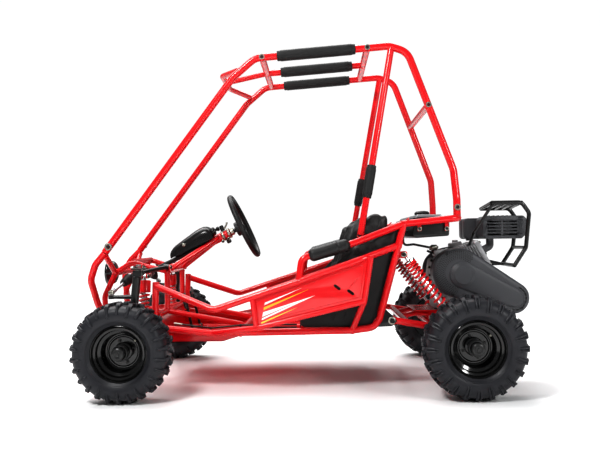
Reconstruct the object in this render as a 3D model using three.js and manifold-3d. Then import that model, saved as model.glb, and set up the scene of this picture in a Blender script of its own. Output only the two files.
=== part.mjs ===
// An off road go kart with a bolted tube cage, as separate pieces in millimetres.
// +X points to the rear, +Y to the driver's right, +Z up.
// X is counted from the front axle here; the last lines centre the kart over its footprint.
import * as THREE from "three";
import { mergeVertices } from "three/addons/utils/BufferGeometryUtils.js";
import Module from "manifold-3d";

const wasm = await Module();
wasm.setup();

// Driving sizes of the whole kart
const wheelbase = 1232;
const trackWidth = 940;
const frontTyreRadius = 177;
const rearTyreRadius = 182;
const tyreWidth = 146;
const cageTop = 1312;
const gap = 0.3;
const runningGap = 0.6;
const overrun = 3;
const weldTolerance = 1e-3;

// Tubes
const frameTube = 13;
const lightTube = 11;
const cageTube = 14;
const bendRadius = 55;

// Half widths of the frame
const floorHalf = 318;
const hipHalf = 390;
const boxHalf = 150;
const cageHalf = 260;

const axleX = wheelbase;
const wheelHalf = trackWidth / 2;
const swingReach = 269;
const pivotX = axleX - swingReach;
const pivotZ = 259;

// Places counted back from the swing arm's pivot, and from the rear axle
const behindPivot = {
  uprightFoot: -46,
  uprightEye: 22,
  uprightTop: 50,
  seatBack: -53,
  floorMid: -148,
  floorRear: -70,
  panRear: -323,
  tubFront: -341,
  hipSeat: -349,
  hipBack: -118,
  panelRear: -105,
  armrestPost: -341,
  armrestBend: -329,
  armrestEnd: -141,
  pillarFoot: -111,
  hipEnd: 18,
  shockTop: 52,
  shockLow: 227,
  railEnd: 255,
  tankFront: 84,
  tankRear: 250,
  swingCross: 62,
  enginePlate: 108,
  pillarTop: 22,
  crown: 12,
  shoulder: 82,
  midBar: 157,
  kink: 247,
};
const behindAxle = {
  crank: -1,
  coverSmall: 206,
  guardFront: 110,
  guardRear: 282,
  airFront: 64,
  airRear: 170,
  rackFront: 136,
  rackTop: 252,
  rackShoulder: 280,
  rackWaist: 265,
  rackFoot: 220,
  hoseEnd: -60,
};

// Heights above the plate that the engine stands on, and depths below the cage's top
const engineFoot = { z: 276, plate: 6, half: 118 };
const aboveFoot = {
  crank: 151,
  coverSmall: 53,
  guardBottom: 280,
  guardTop: 370,
  airTop: 366,
  rackFront: 420,
  rackTop: 410,
  rackShoulder: 379,
  rackWaist: 244,
  rackFoot: 176,
};
const belowTop = { roof: 49, crown: 14, shoulder: 38 };

const colours = {
  red: [0xd3100f, 0.28, 0.1],
  black: [0x141416, 0.4, 0.2],
  rim: [0x101113, 0.35, 0.3],
  tyre: [0x222427, 0.85, 0],
  vinyl: [0x161518, 0.45, 0],
  foam: [0x1b1c1f, 0.8, 0],
  plastic: [0x3a3c40, 0.55, 0],
  silver: [0xb4b6b8, 0.35, 0.8],
  steel: [0x8c8f92, 0.35, 0.9],
  chrome: [0xd5d7d8, 0.15, 1],
};

// A closed three.js geometry becomes a solid that can be joined and cut.
function solid(geometry, matrix) {
  const bare = geometry.clone();
  for (const name of Object.keys(bare.attributes)) {
    if (name !== "position") bare.deleteAttribute(name);
  }
  if (matrix) bare.applyMatrix4(matrix);
  const merged = mergeVertices(bare, weldTolerance);
  return new wasm.Manifold(
    new wasm.Mesh({
      numProp: 3,
      vertProperties: merged.attributes.position.array,
      triVerts: new Uint32Array(merged.index.array),
    }),
  );
}

function join(solids) {
  return solids.flat(Infinity).reduce((whole, piece) => whole.add(piece));
}

function cut(whole, cutters) {
  return [cutters].flat(Infinity).reduce((left, cutter) => left.subtract(cutter), whole);
}

const kart = new THREE.Group();

function piece(name, shape, [color, roughness, metalness]) {
  const mesh = shape.getMesh();
  const geometry = new THREE.BufferGeometry();
  geometry.setAttribute("position", new THREE.BufferAttribute(mesh.vertProperties, 3));
  geometry.setIndex(new THREE.BufferAttribute(mesh.triVerts, 1));
  geometry.computeVertexNormals();
  const material = new THREE.MeshStandardMaterial({ color, roughness, metalness, flatShading: true });
  const part = new THREE.Mesh(geometry, material);
  part.name = name;
  kart.add(part);
}

const at = (x, y, z) => new THREE.Vector3(x, y, z);
const between = (a, b, share) => a.clone().lerp(b, share);

// A path through stations, each with its own direction, so that a tube has rings only where it bends.
class StationPath extends THREE.Curve {
  constructor(stations) {
    super();
    this.stations = stations;
    this.tangents = stations.map((here, i) => {
      const back = stations[Math.max(i - 1, 0)];
      const ahead = stations[Math.min(i + 1, stations.length - 1)];
      const arriving = here.clone().sub(back).normalize();
      const leaving = ahead.clone().sub(here).normalize();
      return arriving.add(leaving).normalize();
    });
  }

  getPoint(t, target = new THREE.Vector3()) {
    const place = t * (this.stations.length - 1);
    const i = Math.min(Math.floor(place + 1e-6), this.stations.length - 2);
    return target.lerpVectors(this.stations[i], this.stations[i + 1], place - i);
  }

  getPointAt(u, target) {
    return this.getPoint(u, target);
  }

  getTangentAt(u, target = new THREE.Vector3()) {
    return target.copy(this.tangents[Math.round(u * (this.stations.length - 1))]);
  }
}

// Corners of a route rounded to a bend radius, as far as the legs beside them allow.
// A slight turn keeps its corner, and a sharper one gets more steps.
const slightTurn = 0.6;
const turnPerStep = 1;

function bend(points, radius) {
  const stations = [points[0]];
  for (let i = 1; i < points.length - 1; i++) {
    const corner = points[i];
    const toBack = points[i - 1].clone().sub(corner);
    const toAhead = points[i + 1].clone().sub(corner);
    const half = toBack.angleTo(toAhead) / 2;
    const turn = Math.PI - half * 2;
    if (turn < slightTurn) {
      stations.push(corner);
      continue;
    }
    const most = 0.48 * Math.min(toBack.length(), toAhead.length());
    const leg = Math.min(radius / Math.tan(half), most);
    const start = corner.clone().addScaledVector(toBack.normalize(), leg);
    const end = corner.clone().addScaledVector(toAhead.normalize(), leg);
    const curve = new THREE.QuadraticBezierCurve3(start, corner, end);
    stations.push(...curve.getPoints(Math.ceil(turn / turnPerStep)));
  }
  stations.push(points[points.length - 1]);
  return stations;
}

// A round section has fewer sides on a thinner bar, and its flats stand a little inside its radius.
const sectionSides = [
  { over: 40, count: 10 },
  { over: cageTube, count: 8 },
  { over: 8, count: 6 },
  { over: 0, count: 5 },
];
const sidesFor = (radius) => sectionSides.find((section) => radius > section.over).count;
const flatOf = (radius) => radius * Math.cos(Math.PI / sidesFor(radius));

function disc(radius, sides) {
  const points = Array.from({ length: sides }, (_, i) => {
    const angle = (i + 0.5) * ((2 * Math.PI) / sides);
    return new THREE.Vector2(radius * Math.cos(angle), radius * Math.sin(angle));
  });
  return new THREE.Shape(points);
}

function sweep(stations, section) {
  const extrudePath = new StationPath(stations);
  const steps = stations.length - 1;
  return solid(new THREE.ExtrudeGeometry(section, { extrudePath, steps, curveSegments: 1 }));
}

function tube(points, radius = frameTube, { bends = bendRadius } = {}) {
  return sweep(bend(points, bends), disc(radius, sidesFor(radius)));
}

// A plate whose outline lies in the X-Z plane, from one Y to another.
function plateAcross(outline, y0, y1) {
  const depth = Math.abs(y1 - y0);
  const corners = (places) => new THREE.Shape(places.map(([x, z]) => new THREE.Vector2(x, z)));
  const shape = Array.isArray(outline) ? corners(outline) : outline;
  const geometry = new THREE.ExtrudeGeometry(shape, { depth, bevelEnabled: false, curveSegments: 3 });
  const stand = new THREE.Matrix4().makeRotationX(Math.PI / 2);
  stand.setPosition(0, Math.max(y0, y1), 0);
  return solid(geometry, stand);
}

// A plate whose outline lies in the Y-Z plane, from one X to another.
function plateAlong(outline, x0, x1) {
  const depth = Math.abs(x1 - x0);
  const shape = new THREE.Shape(outline.map(([y, z]) => new THREE.Vector2(y, z)));
  const geometry = new THREE.ExtrudeGeometry(shape, { depth, bevelEnabled: false });
  const axes = new THREE.Matrix4().makeBasis(at(0, 1, 0), at(0, 0, 1), at(1, 0, 0));
  axes.setPosition(Math.min(x0, x1), 0, 0);
  return solid(geometry, axes);
}

// A plate whose outline lies flat, from one Z to another.
function plateFlat(outline, z0, z1) {
  const shape = new THREE.Shape(outline.map(([x, y]) => new THREE.Vector2(x, y)));
  const geometry = new THREE.ExtrudeGeometry(shape, { depth: z1 - z0, bevelEnabled: false });
  return solid(geometry, new THREE.Matrix4().makeTranslation(0, 0, z0));
}

// A turned piece: a closed profile of [radius, place along the axis] pairs about a line.
function turned(profile, centre, axis, segments = 16) {
  const points = profile.map(([r, along]) => new THREE.Vector2(Math.max(r, 0), along));
  const closed = profile[0][0] > 0 ? [...points, points[0].clone()] : points;
  const geometry = new THREE.LatheGeometry(closed, segments);
  const turn = new THREE.Quaternion().setFromUnitVectors(at(0, 1, 0), axis.clone().normalize());
  const made = solid(geometry, new THREE.Matrix4().compose(centre, turn, at(1, 1, 1)));
  if (made.volume() > 0) return made;
  return turned([...profile].reverse(), centre, axis, segments);
}

function rod(a, b, radius, sides = sidesFor(radius)) {
  return sweep([a, b], disc(radius, sides));
}

// A round cutter whose flats stay outside the radius
function hole(a, b, radius, sides = 6) {
  return rod(a, b, radius / Math.cos(Math.PI / sides), sides);
}

const sides = [
  ["left", -1],
  ["right", 1],
];

// Steering column line: every piece on it is placed by its distance below the wheel.
const column = {
  wheelX: 383,
  wheelZ: 624,
  tilt: THREE.MathUtils.degToRad(25),
  rackDistance: 478,
};
const columnDown = at(-Math.cos(column.tilt), 0, -Math.sin(column.tilt));
const onColumn = (distance) => at(column.wheelX, 0, column.wheelZ).addScaledVector(columnDown, distance);
const rackCentre = onColumn(column.rackDistance);

// Front suspension: both arms turn about lines along X, and stay parallel.
const suspension = {
  pivotHalf: 172,
  outerHalf: 352,
  kingHalf: 372,
  upperZ: 463,
  lowerZ: 225,
  drop: 15,
  lean: 0.105,
  kingX: 0,
  upperPivots: [-18, 92],
  lowerPivots: [-58, 44],
  bush: 11,
  bushLength: 22,
  pin: 5,
  ear: 4,
  armTube: 8.5,
};
const kingXAt = (z) => suspension.kingX + (z - frontTyreRadius) * suspension.lean;
const outerEnd = (z) => ({ x: kingXAt(z), z });
const upperOuter = outerEnd(suspension.upperZ - suspension.drop);
const lowerOuter = outerEnd(suspension.lowerZ - suspension.drop);

// Front box of the frame, which carries the suspension, the rack and the column
const box = {
  footX: -152,
  footZ: 255,
  kneeX: -163,
  kneeZ: 345,
  browX: -118,
  browZ: 440,
  topX: -48,
  topZ: 484,
  railX: 0,
  railZ: 466,
  postX: 90,
  postZ: 446,
  lowerPostZ: 288,
  tailX: 385,
  tailZ: 232,
};
const bumper = {
  topX: -124,
  topZ: 524,
  topHalf: 258,
  browX: -168,
  browZ: 478,
  browHalf: 245,
  noseX: -190,
  noseZ: 418,
  noseHalf: 236,
  chinX: -172,
  chinZ: 322,
  chinHalf: 205,
};
const floor = {
  frontX: 78,
  frontZ: 243,
  dipX: 287,
  dipZ: 219,
  crossX: 400,
  midX: pivotX + behindPivot.floorMid,
  midZ: 224,
  rearX: pivotX + behindPivot.floorRear,
  rearZ: 234,
  panDepth: 34,
  panSheet: 3,
  panFront: 62,
  panRear: pivotX + behindPivot.panRear,
  panHalf: 296,
  rampX: 330,
  toeZ: 282,
};
const upright = {
  footX: pivotX + behindPivot.uprightFoot,
  footZ: 262,
  eyeX: pivotX + behindPivot.uprightEye,
  eyeZ: 500,
  topX: pivotX + behindPivot.uprightTop,
  topZ: 617,
};
const uprightXAt = (z) =>
  upright.footX + ((z - upright.footZ) / (upright.topZ - upright.footZ)) * (upright.topX - upright.footX);
const supportHalf = 150;

const rearShock = {
  half: 280,
  topX: pivotX + behindPivot.shockTop,
  topZ: 502,
  lowX: pivotX + behindPivot.shockLow,
  lowZ: 270,
  width: 13,
};
const frontShock = { x: 22, topHalf: 235, topZ: 430, lowHalf: 262, lowZ: 240, width: 12 };

// Two ears beside a bush that turns about a line along X, with the pin through it.
function ears(side, { x, half, z, carrierZ, width, faces = [-1, 1] }) {
  const { pin } = suspension;
  const reach = pin * 2;
  const outline = [
    [side * boxHalf, carrierZ - reach],
    [side * boxHalf, carrierZ + reach],
    [side * (half + reach), z + reach],
    [side * (half + reach), z - reach],
  ];
  const inner = width / 2 + runningGap;
  const outer = inner + suspension.ear;
  const start = faces.length > 1 ? outer : inner;
  return [
    faces.map((face) => plateAlong(outline, x + face * inner, x + face * outer)),
    rod(at(x - start, side * half, z), at(x + outer, side * half, z), pin),
  ];
}

function boxSide(side) {
  const y = side * boxHalf;
  const lowerRail = [
    at(box.footX, y, box.footZ),
    at(box.postX, y, box.lowerPostZ),
    at(box.tailX, y, box.tailZ),
    at(floor.crossX, y, floor.dipZ),
  ];
  const hoop = [
    at(box.footX, y, box.footZ),
    at(box.kneeX, y, box.kneeZ),
    at(box.browX, y, box.browZ),
    at(box.topX, y, box.topZ),
    at(box.railX, y, box.railZ),
    at(box.postX, y, box.postZ),
  ];
  const lampSide = [
    at(bumper.topX, side * bumper.topHalf, bumper.topZ),
    at(bumper.browX, side * bumper.browHalf, bumper.browZ),
    at(bumper.noseX, side * bumper.noseHalf, bumper.noseZ),
    at(bumper.chinX, side * bumper.chinHalf, bumper.chinZ),
    at(box.footX, y, box.footZ),
  ];
  const brace = [
    at(bumper.topX, side * bumper.topHalf, bumper.topZ - frameTube),
    at(box.browX, y, box.browZ),
  ];
  const pivot = { half: suspension.pivotHalf, width: suspension.bushLength, faces: [1] };
  const upperPivots = suspension.upperPivots.map((x) => {
    const carrierZ = x < box.railX ? box.railZ + lightTube / 2 : box.postZ;
    return ears(side, { ...pivot, x, z: suspension.upperZ, carrierZ });
  });
  const lowerPivots = suspension.lowerPivots.map((x) => {
    const carrierZ = THREE.MathUtils.mapLinear(x, box.footX, box.postX, box.footZ, box.lowerPostZ);
    return ears(side, { ...pivot, x, z: suspension.lowerZ, carrierZ });
  });
  const shockEars = ears(side, {
    x: frontShock.x,
    half: frontShock.topHalf,
    z: frontShock.topZ,
    carrierZ: box.railZ - lightTube,
    width: frontShock.width + runningGap,
  });
  return [
    tube(lowerRail, lightTube),
    tube(hoop, lightTube),
    tube(lampSide, frameTube),
    tube(brace, lightTube),
    rod(at(box.postX, y, box.lowerPostZ), at(box.postX, y, box.postZ), lightTube),
    upperPivots,
    lowerPivots,
    shockEars,
  ];
}

// The column's bush on its two legs
const bush = { upper: 62, lower: 160, outer: 18.5, legHalf: 24, legTopShare: 0.75 };
const shaft = { radius: 9, top: 14 };

const cowl = {
  half: 74,
  wall: 3,
  baseFront: 322,
  baseRear: 132,
  baseLift: 20,
  noseLift: 46,
  crownLift: 58,
};
const columnUp = at(-Math.sin(column.tilt), 0, Math.cos(column.tilt));
const aboveColumn = (distance, lift) => onColumn(distance).addScaledVector(columnUp, lift);

function columnSupport() {
  const legs = sides.map(([, side]) => [
    tube(
      [
        at(box.postX, side * boxHalf, box.postZ),
        onColumn(bush.lower * bush.legTopShare).setY(side * bush.legHalf),
      ],
      lightTube,
    ),
  ]);
  const carrier = [
    [cowl.baseFront - cowl.wall, cowl.baseLift - gap - cowl.wall],
    [cowl.baseFront - cowl.wall, cowl.baseLift - gap],
    [bush.upper, cowl.baseLift - gap],
    [bush.upper, cowl.baseLift - gap - cowl.wall],
  ].map(([distance, lift]) => {
    const place = aboveColumn(distance, lift);
    return [place.x, place.z];
  });
  const housing = rod(onColumn(bush.upper), onColumn(bush.lower), bush.outer);
  const bore = hole(
    onColumn(bush.upper - overrun),
    onColumn(bush.lower + overrun),
    shaft.radius + runningGap,
  );
  return cut(join([legs, housing, plateAcross(carrier, -cowl.half, cowl.half)]), [bore]);
}

const lampCentre = { x: -150, z: 436 };
const lamp = { radius: 51, depth: 44, neck: 10, rim: 6 };

const rack = {
  radius: 15,
  half: 142,
  boot: 17,
  bootLength: 62,
  folds: 3,
  bar: 7,
  ball: 9,
  ballHalf: 185,
  tabHalf: 90,
  tab: 12,
};

// The welded middle of the frame: front box, bumper, column, floor and rear cross members
function centreFrame() {
  const crossEnd = floorHalf - flatOf(frameTube) - gap;
  const cross = (x, z, half = crossEnd, radius = frameTube) =>
    rod(at(x, -half, z), at(x, half, z), radius);
  const rackTop = rackCentre.z + rack.radius + gap;
  const rackTabs = sides.map(([, side]) =>
    plateAcross(
      [
        [rackCentre.x - rack.tab, rackTop],
        [rackCentre.x + rack.tab, rackTop],
        [box.topX + rack.tab, box.topZ],
        [box.topX - rack.tab, box.topZ],
      ],
      side * rack.tabHalf,
      side * (rack.tabHalf + suspension.ear),
    ),
  );
  const panBottom = floor.dipZ - floor.panDepth;
  const panTop = floor.dipZ - frameTube + floor.panSheet;
  const pan = plateAcross(
    [
      [floor.panFront, floor.toeZ],
      [floor.panFront + floor.panDepth / 2, panBottom],
      [floor.rampX, panBottom],
      [floor.crossX, panTop - floor.panSheet],
      [floor.panRear, panTop - floor.panSheet],
      [floor.panRear, panTop],
      [floor.crossX - floor.panSheet, panTop],
      [floor.rampX - floor.panSheet, panBottom + floor.panSheet],
      [floor.panFront + floor.panDepth / 2 + floor.panSheet, panBottom + floor.panSheet],
      [floor.panFront + floor.panSheet, floor.toeZ],
    ],
    -floor.panHalf,
    floor.panHalf,
  );
  const pansides = sides.map(([, side]) =>
    plateAcross(
      [
        [floor.panFront + floor.panDepth / 2, panBottom],
        [floor.rampX, panBottom],
        [floor.crossX, panTop],
        [floor.crossX, floor.dipZ],
        [floor.panFront + floor.panDepth / 4, floor.frontZ],
      ],
      side * floor.panHalf,
      side * (floor.panHalf - floor.panSheet),
    ),
  );
  const supportFoot = uprightXAt(upright.footZ);
  const supports = sides.map(([, side]) =>
    rod(
      at(supportFoot, side * supportHalf, upright.footZ),
      at(upright.eyeX, side * supportHalf, upright.eyeZ),
      lightTube,
    ),
  );
  const spine = sides.map(([, side]) =>
    tube(
      [
        at(floor.crossX, side * supportHalf, floor.dipZ),
        at(floor.rearX + lightTube, side * supportHalf, floor.dipZ),
        at(supportFoot, side * supportHalf, upright.footZ),
      ],
      lightTube,
      { bends: lightTube },
    ),
  );
  const shockEars = sides.map(([, side]) => {
    const inner = rearShock.width / 2 + runningGap;
    const half = frameTube;
    const outline = [
      [upright.eyeX, upright.eyeZ - half],
      [rearShock.topX + half, rearShock.topZ - half],
      [rearShock.topX + half, rearShock.topZ + half],
      [upright.eyeX, upright.eyeZ + half],
    ];
    const ear = (y) => plateAcross(outline, side * y, side * (y + suspension.ear));
    return [
      ear(rearShock.half + inner),
      ear(rearShock.half - inner - suspension.ear),
      rod(
        at(rearShock.topX, side * (rearShock.half - inner), rearShock.topZ),
        at(rearShock.topX, side * (rearShock.half + inner), rearShock.topZ),
        suspension.pin,
      ),
    ];
  });
  return join([
    sides.map(([, side]) => boxSide(side)),
    cross(box.footX, box.footZ, boxHalf),
    cross(box.browX, box.browZ, boxHalf, lightTube),
    cross(box.topX, box.topZ, boxHalf, lightTube),
    cross(box.postX, box.postZ, boxHalf, lightTube),
    cross(box.postX, box.lowerPostZ, crossEnd, lightTube),
    cross(floor.crossX, floor.dipZ),
    cross(floor.midX, floor.midZ),
    cross(supportFoot, upright.footZ),
    cross(upright.eyeX, upright.eyeZ),
    columnSupport(),
    rackTabs,
    pan,
    pansides,
    supports,
    spine,
    shockEars,
    sides.map(([, side]) => pedalStand(side)),
  ]);
}

// Side frame: everything welded in the plane of the driver's hip
const hip = {
  postTopZ: 412,
  lowX: 310,
  lowZ: 312,
  seatX: pivotX + behindPivot.hipSeat,
  seatZ: 410,
  backX: pivotX + behindPivot.hipBack,
  backZ: 487,
  endX: pivotX + behindPivot.hipEnd,
  endZ: 533,
  lowerStartX: 292,
  lowerStartZ: 219,
  lowerMidX: 454,
  lowerMidZ: 243,
  panelRearX: pivotX + behindPivot.panelRear,
  panelRearZ: 337,
};
const armrest = {
  postX: pivotX + behindPivot.armrestPost,
  topX: pivotX + behindPivot.armrestBend,
  topZ: 496,
  half: 374,
  endX: pivotX + behindPivot.armrestEnd,
  endZ: 547,
  endHalf: 350,
  bends: 34,
};
const rearRail = { endX: pivotX + behindPivot.railEnd, endZ: 636, stubZ: 664, boltHalf: 280 };
const panel = {
  sheet: 3,
  frontShare: 0.26,
  slotLength: 27,
  slotWidth: 9,
  slotTilt: THREE.MathUtils.degToRad(37),
};

const hipRailAt = (x) => {
  if (x < hip.seatX) return THREE.MathUtils.mapLinear(x, hip.lowX, hip.seatX, hip.lowZ, hip.seatZ);
  return THREE.MathUtils.mapLinear(x, hip.seatX, hip.backX, hip.seatZ, hip.backZ);
};
const lowerRailAt = (x) =>
  THREE.MathUtils.mapLinear(x, hip.lowerMidX, hip.panelRearX, hip.lowerMidZ, hip.panelRearZ);

const tank = {
  half: 298,
  frontX: pivotX + behindPivot.tankFront,
  rearX: pivotX + behindPivot.tankRear,
  bottomZ: 563,
  topZ: 640,
  lid: 12,
  inset: 14,
  capShare: 0.42,
  capSideShare: -0.25,
};
const swingPlate = { reach: 26, thick: 6, pin: 8 };
const slotShares = [
  [0.76, 0.52],
  [0.88, 0.3],
];

function sideFrame(side) {
  const y = side * floorHalf;
  const post = rod(
    at(floor.frontX, y, floor.frontZ),
    at(floor.frontX + frameTube / 2, y, hip.postTopZ),
    frameTube,
  );
  const topRail = tube([
    at(floor.frontX, y, hip.postTopZ - frameTube),
    at(hip.lowX, side * hipHalf, hip.lowZ),
    at(hip.seatX, side * hipHalf, hip.seatZ),
    at(hip.backX, side * hipHalf, hip.backZ),
    at(hip.endX, y, hip.endZ),
  ]);
  const bottomRail = tube([
    at(floor.frontX, y, floor.frontZ),
    at(floor.dipX, y, floor.dipZ),
    at(floor.midX, y, floor.midZ),
    at(floor.rearX, y, floor.rearZ),
    at(upright.footX, y, upright.footZ),
    at(upright.topX, y, upright.topZ),
  ]);
  const lowerEnd = at(hip.panelRearX, side * hipHalf, lowerRailAt(hip.panelRearX));
  const lowerTube = tube(
    [
      at(hip.lowerStartX, y, hip.lowerStartZ),
      at(hip.lowerMidX, side * hipHalf, hip.lowerMidZ),
      lowerEnd,
    ],
    lightTube,
  );
  const frontPostX = THREE.MathUtils.lerp(hip.lowX, hip.panelRearX, panel.frontShare);
  const panelFront = rod(
    at(frontPostX, side * hipHalf, hipRailAt(frontPostX)),
    at(hip.lowerMidX + frameTube, side * hipHalf, hip.lowerMidZ),
    lightTube,
  );
  const panelRear = tube(
    [
      at(hip.panelRearX + frameTube * 2, side * hipHalf, hipRailAt(hip.panelRearX + frameTube * 2)),
      lowerEnd,
      at(floor.midX, y, floor.midZ),
    ],
    lightTube,
  );
  const corner = (x, share) => [x, THREE.MathUtils.lerp(lowerRailAt(x), hipRailAt(x), share)];
  const sheetOutline = [
    corner(hip.lowerMidX, 0),
    corner(hip.panelRearX, 0),
    [hip.panelRearX + frameTube * 2, hipRailAt(hip.panelRearX + frameTube * 2)],
    corner(hip.seatX, 1),
    corner(frontPostX, 1),
  ];
  const sheet = plateAcross(
    sheetOutline,
    side * (hipHalf - panel.sheet / 2),
    side * (hipHalf + panel.sheet / 2),
  );
  const slotLine = at(Math.cos(panel.slotTilt), 0, -Math.sin(panel.slotTilt));
  const slope = slotLine.multiplyScalar(panel.slotLength / 2);
  const slots = slotShares.map(([alongShare, upShare]) => {
    const [x, z] = corner(THREE.MathUtils.lerp(frontPostX, hip.panelRearX, alongShare), upShare);
    const outline = [
      [x - slope.x - panel.slotWidth / 3, z - slope.z - panel.slotWidth / 4],
      [x - slope.x / 2 + panel.slotWidth / 3, z - slope.z / 2 + panel.slotWidth / 2],
      [x + slope.x + panel.slotWidth / 3, z + slope.z + panel.slotWidth / 4],
      [x + slope.x / 2 - panel.slotWidth / 3, z + slope.z / 2 - panel.slotWidth / 2],
    ];
    return plateAcross(outline, side * (hipHalf - overrun), side * (hipHalf + overrun));
  });
  const arm = tube([
    at(armrest.postX, side * hipHalf, hipRailAt(armrest.postX)),
    at(armrest.topX, side * armrest.half, armrest.topZ),
    at(armrest.endX, side * armrest.endHalf, armrest.endZ),
    at(upright.topX, y, upright.topZ),
    at(rearRail.endX, y, rearRail.endZ),
    at(rearRail.endX, side * gap / 2, rearRail.endZ),
  ], frameTube, { bends: armrest.bends });
  const stub = rod(
    at(rearRail.endX, side * rearRail.boltHalf, rearRail.endZ),
    at(rearRail.endX, side * rearRail.boltHalf, rearRail.stubZ),
    cageTube,
  );
  const railZAt = (x) => THREE.MathUtils.mapLinear(
    x,
    upright.topX,
    rearRail.endX,
    upright.topZ,
    rearRail.endZ,
  );
  const tabX = [tank.frontX + frameTube * 2, tank.rearX - frameTube * 3];
  const tabs = tabX.map((x) =>
    plateAcross(
      [
        [x - frameTube / 2, tank.bottomZ + frameTube * 2],
        [x + frameTube / 2, tank.bottomZ + frameTube * 2],
        [x + frameTube / 2, railZAt(x)],
        [x - frameTube / 2, railZAt(x)],
      ],
      side * (tank.half + gap),
      side * (tank.half + gap + panel.sheet * 3),
    ),
  );
  const plateOutline = [
    [upright.footX - swingPlate.reach / 2, upright.footZ - swingPlate.reach],
    [pivotX, pivotZ - swingPlate.reach * 0.8],
    [pivotX + swingPlate.reach * 0.8, pivotZ],
    [pivotX, pivotZ + swingPlate.reach * 0.8],
    [uprightXAt(pivotZ + swingPlate.reach * 2), pivotZ + swingPlate.reach * 2],
  ];
  const pivotPlate = plateAcross(plateOutline, y, side * (floorHalf + swingPlate.thick));
  const pivotPin = rod(
    at(pivotX, y, pivotZ),
    at(pivotX, side * swingHalf.inner, pivotZ),
    swingPlate.pin,
  );
  const tubes = [post, topRail, bottomRail, lowerTube, panelFront, panelRear, arm, stub];
  return cut(join([tubes, sheet, tabs, pivotPlate, pivotPin]), [slots]);
}

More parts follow.
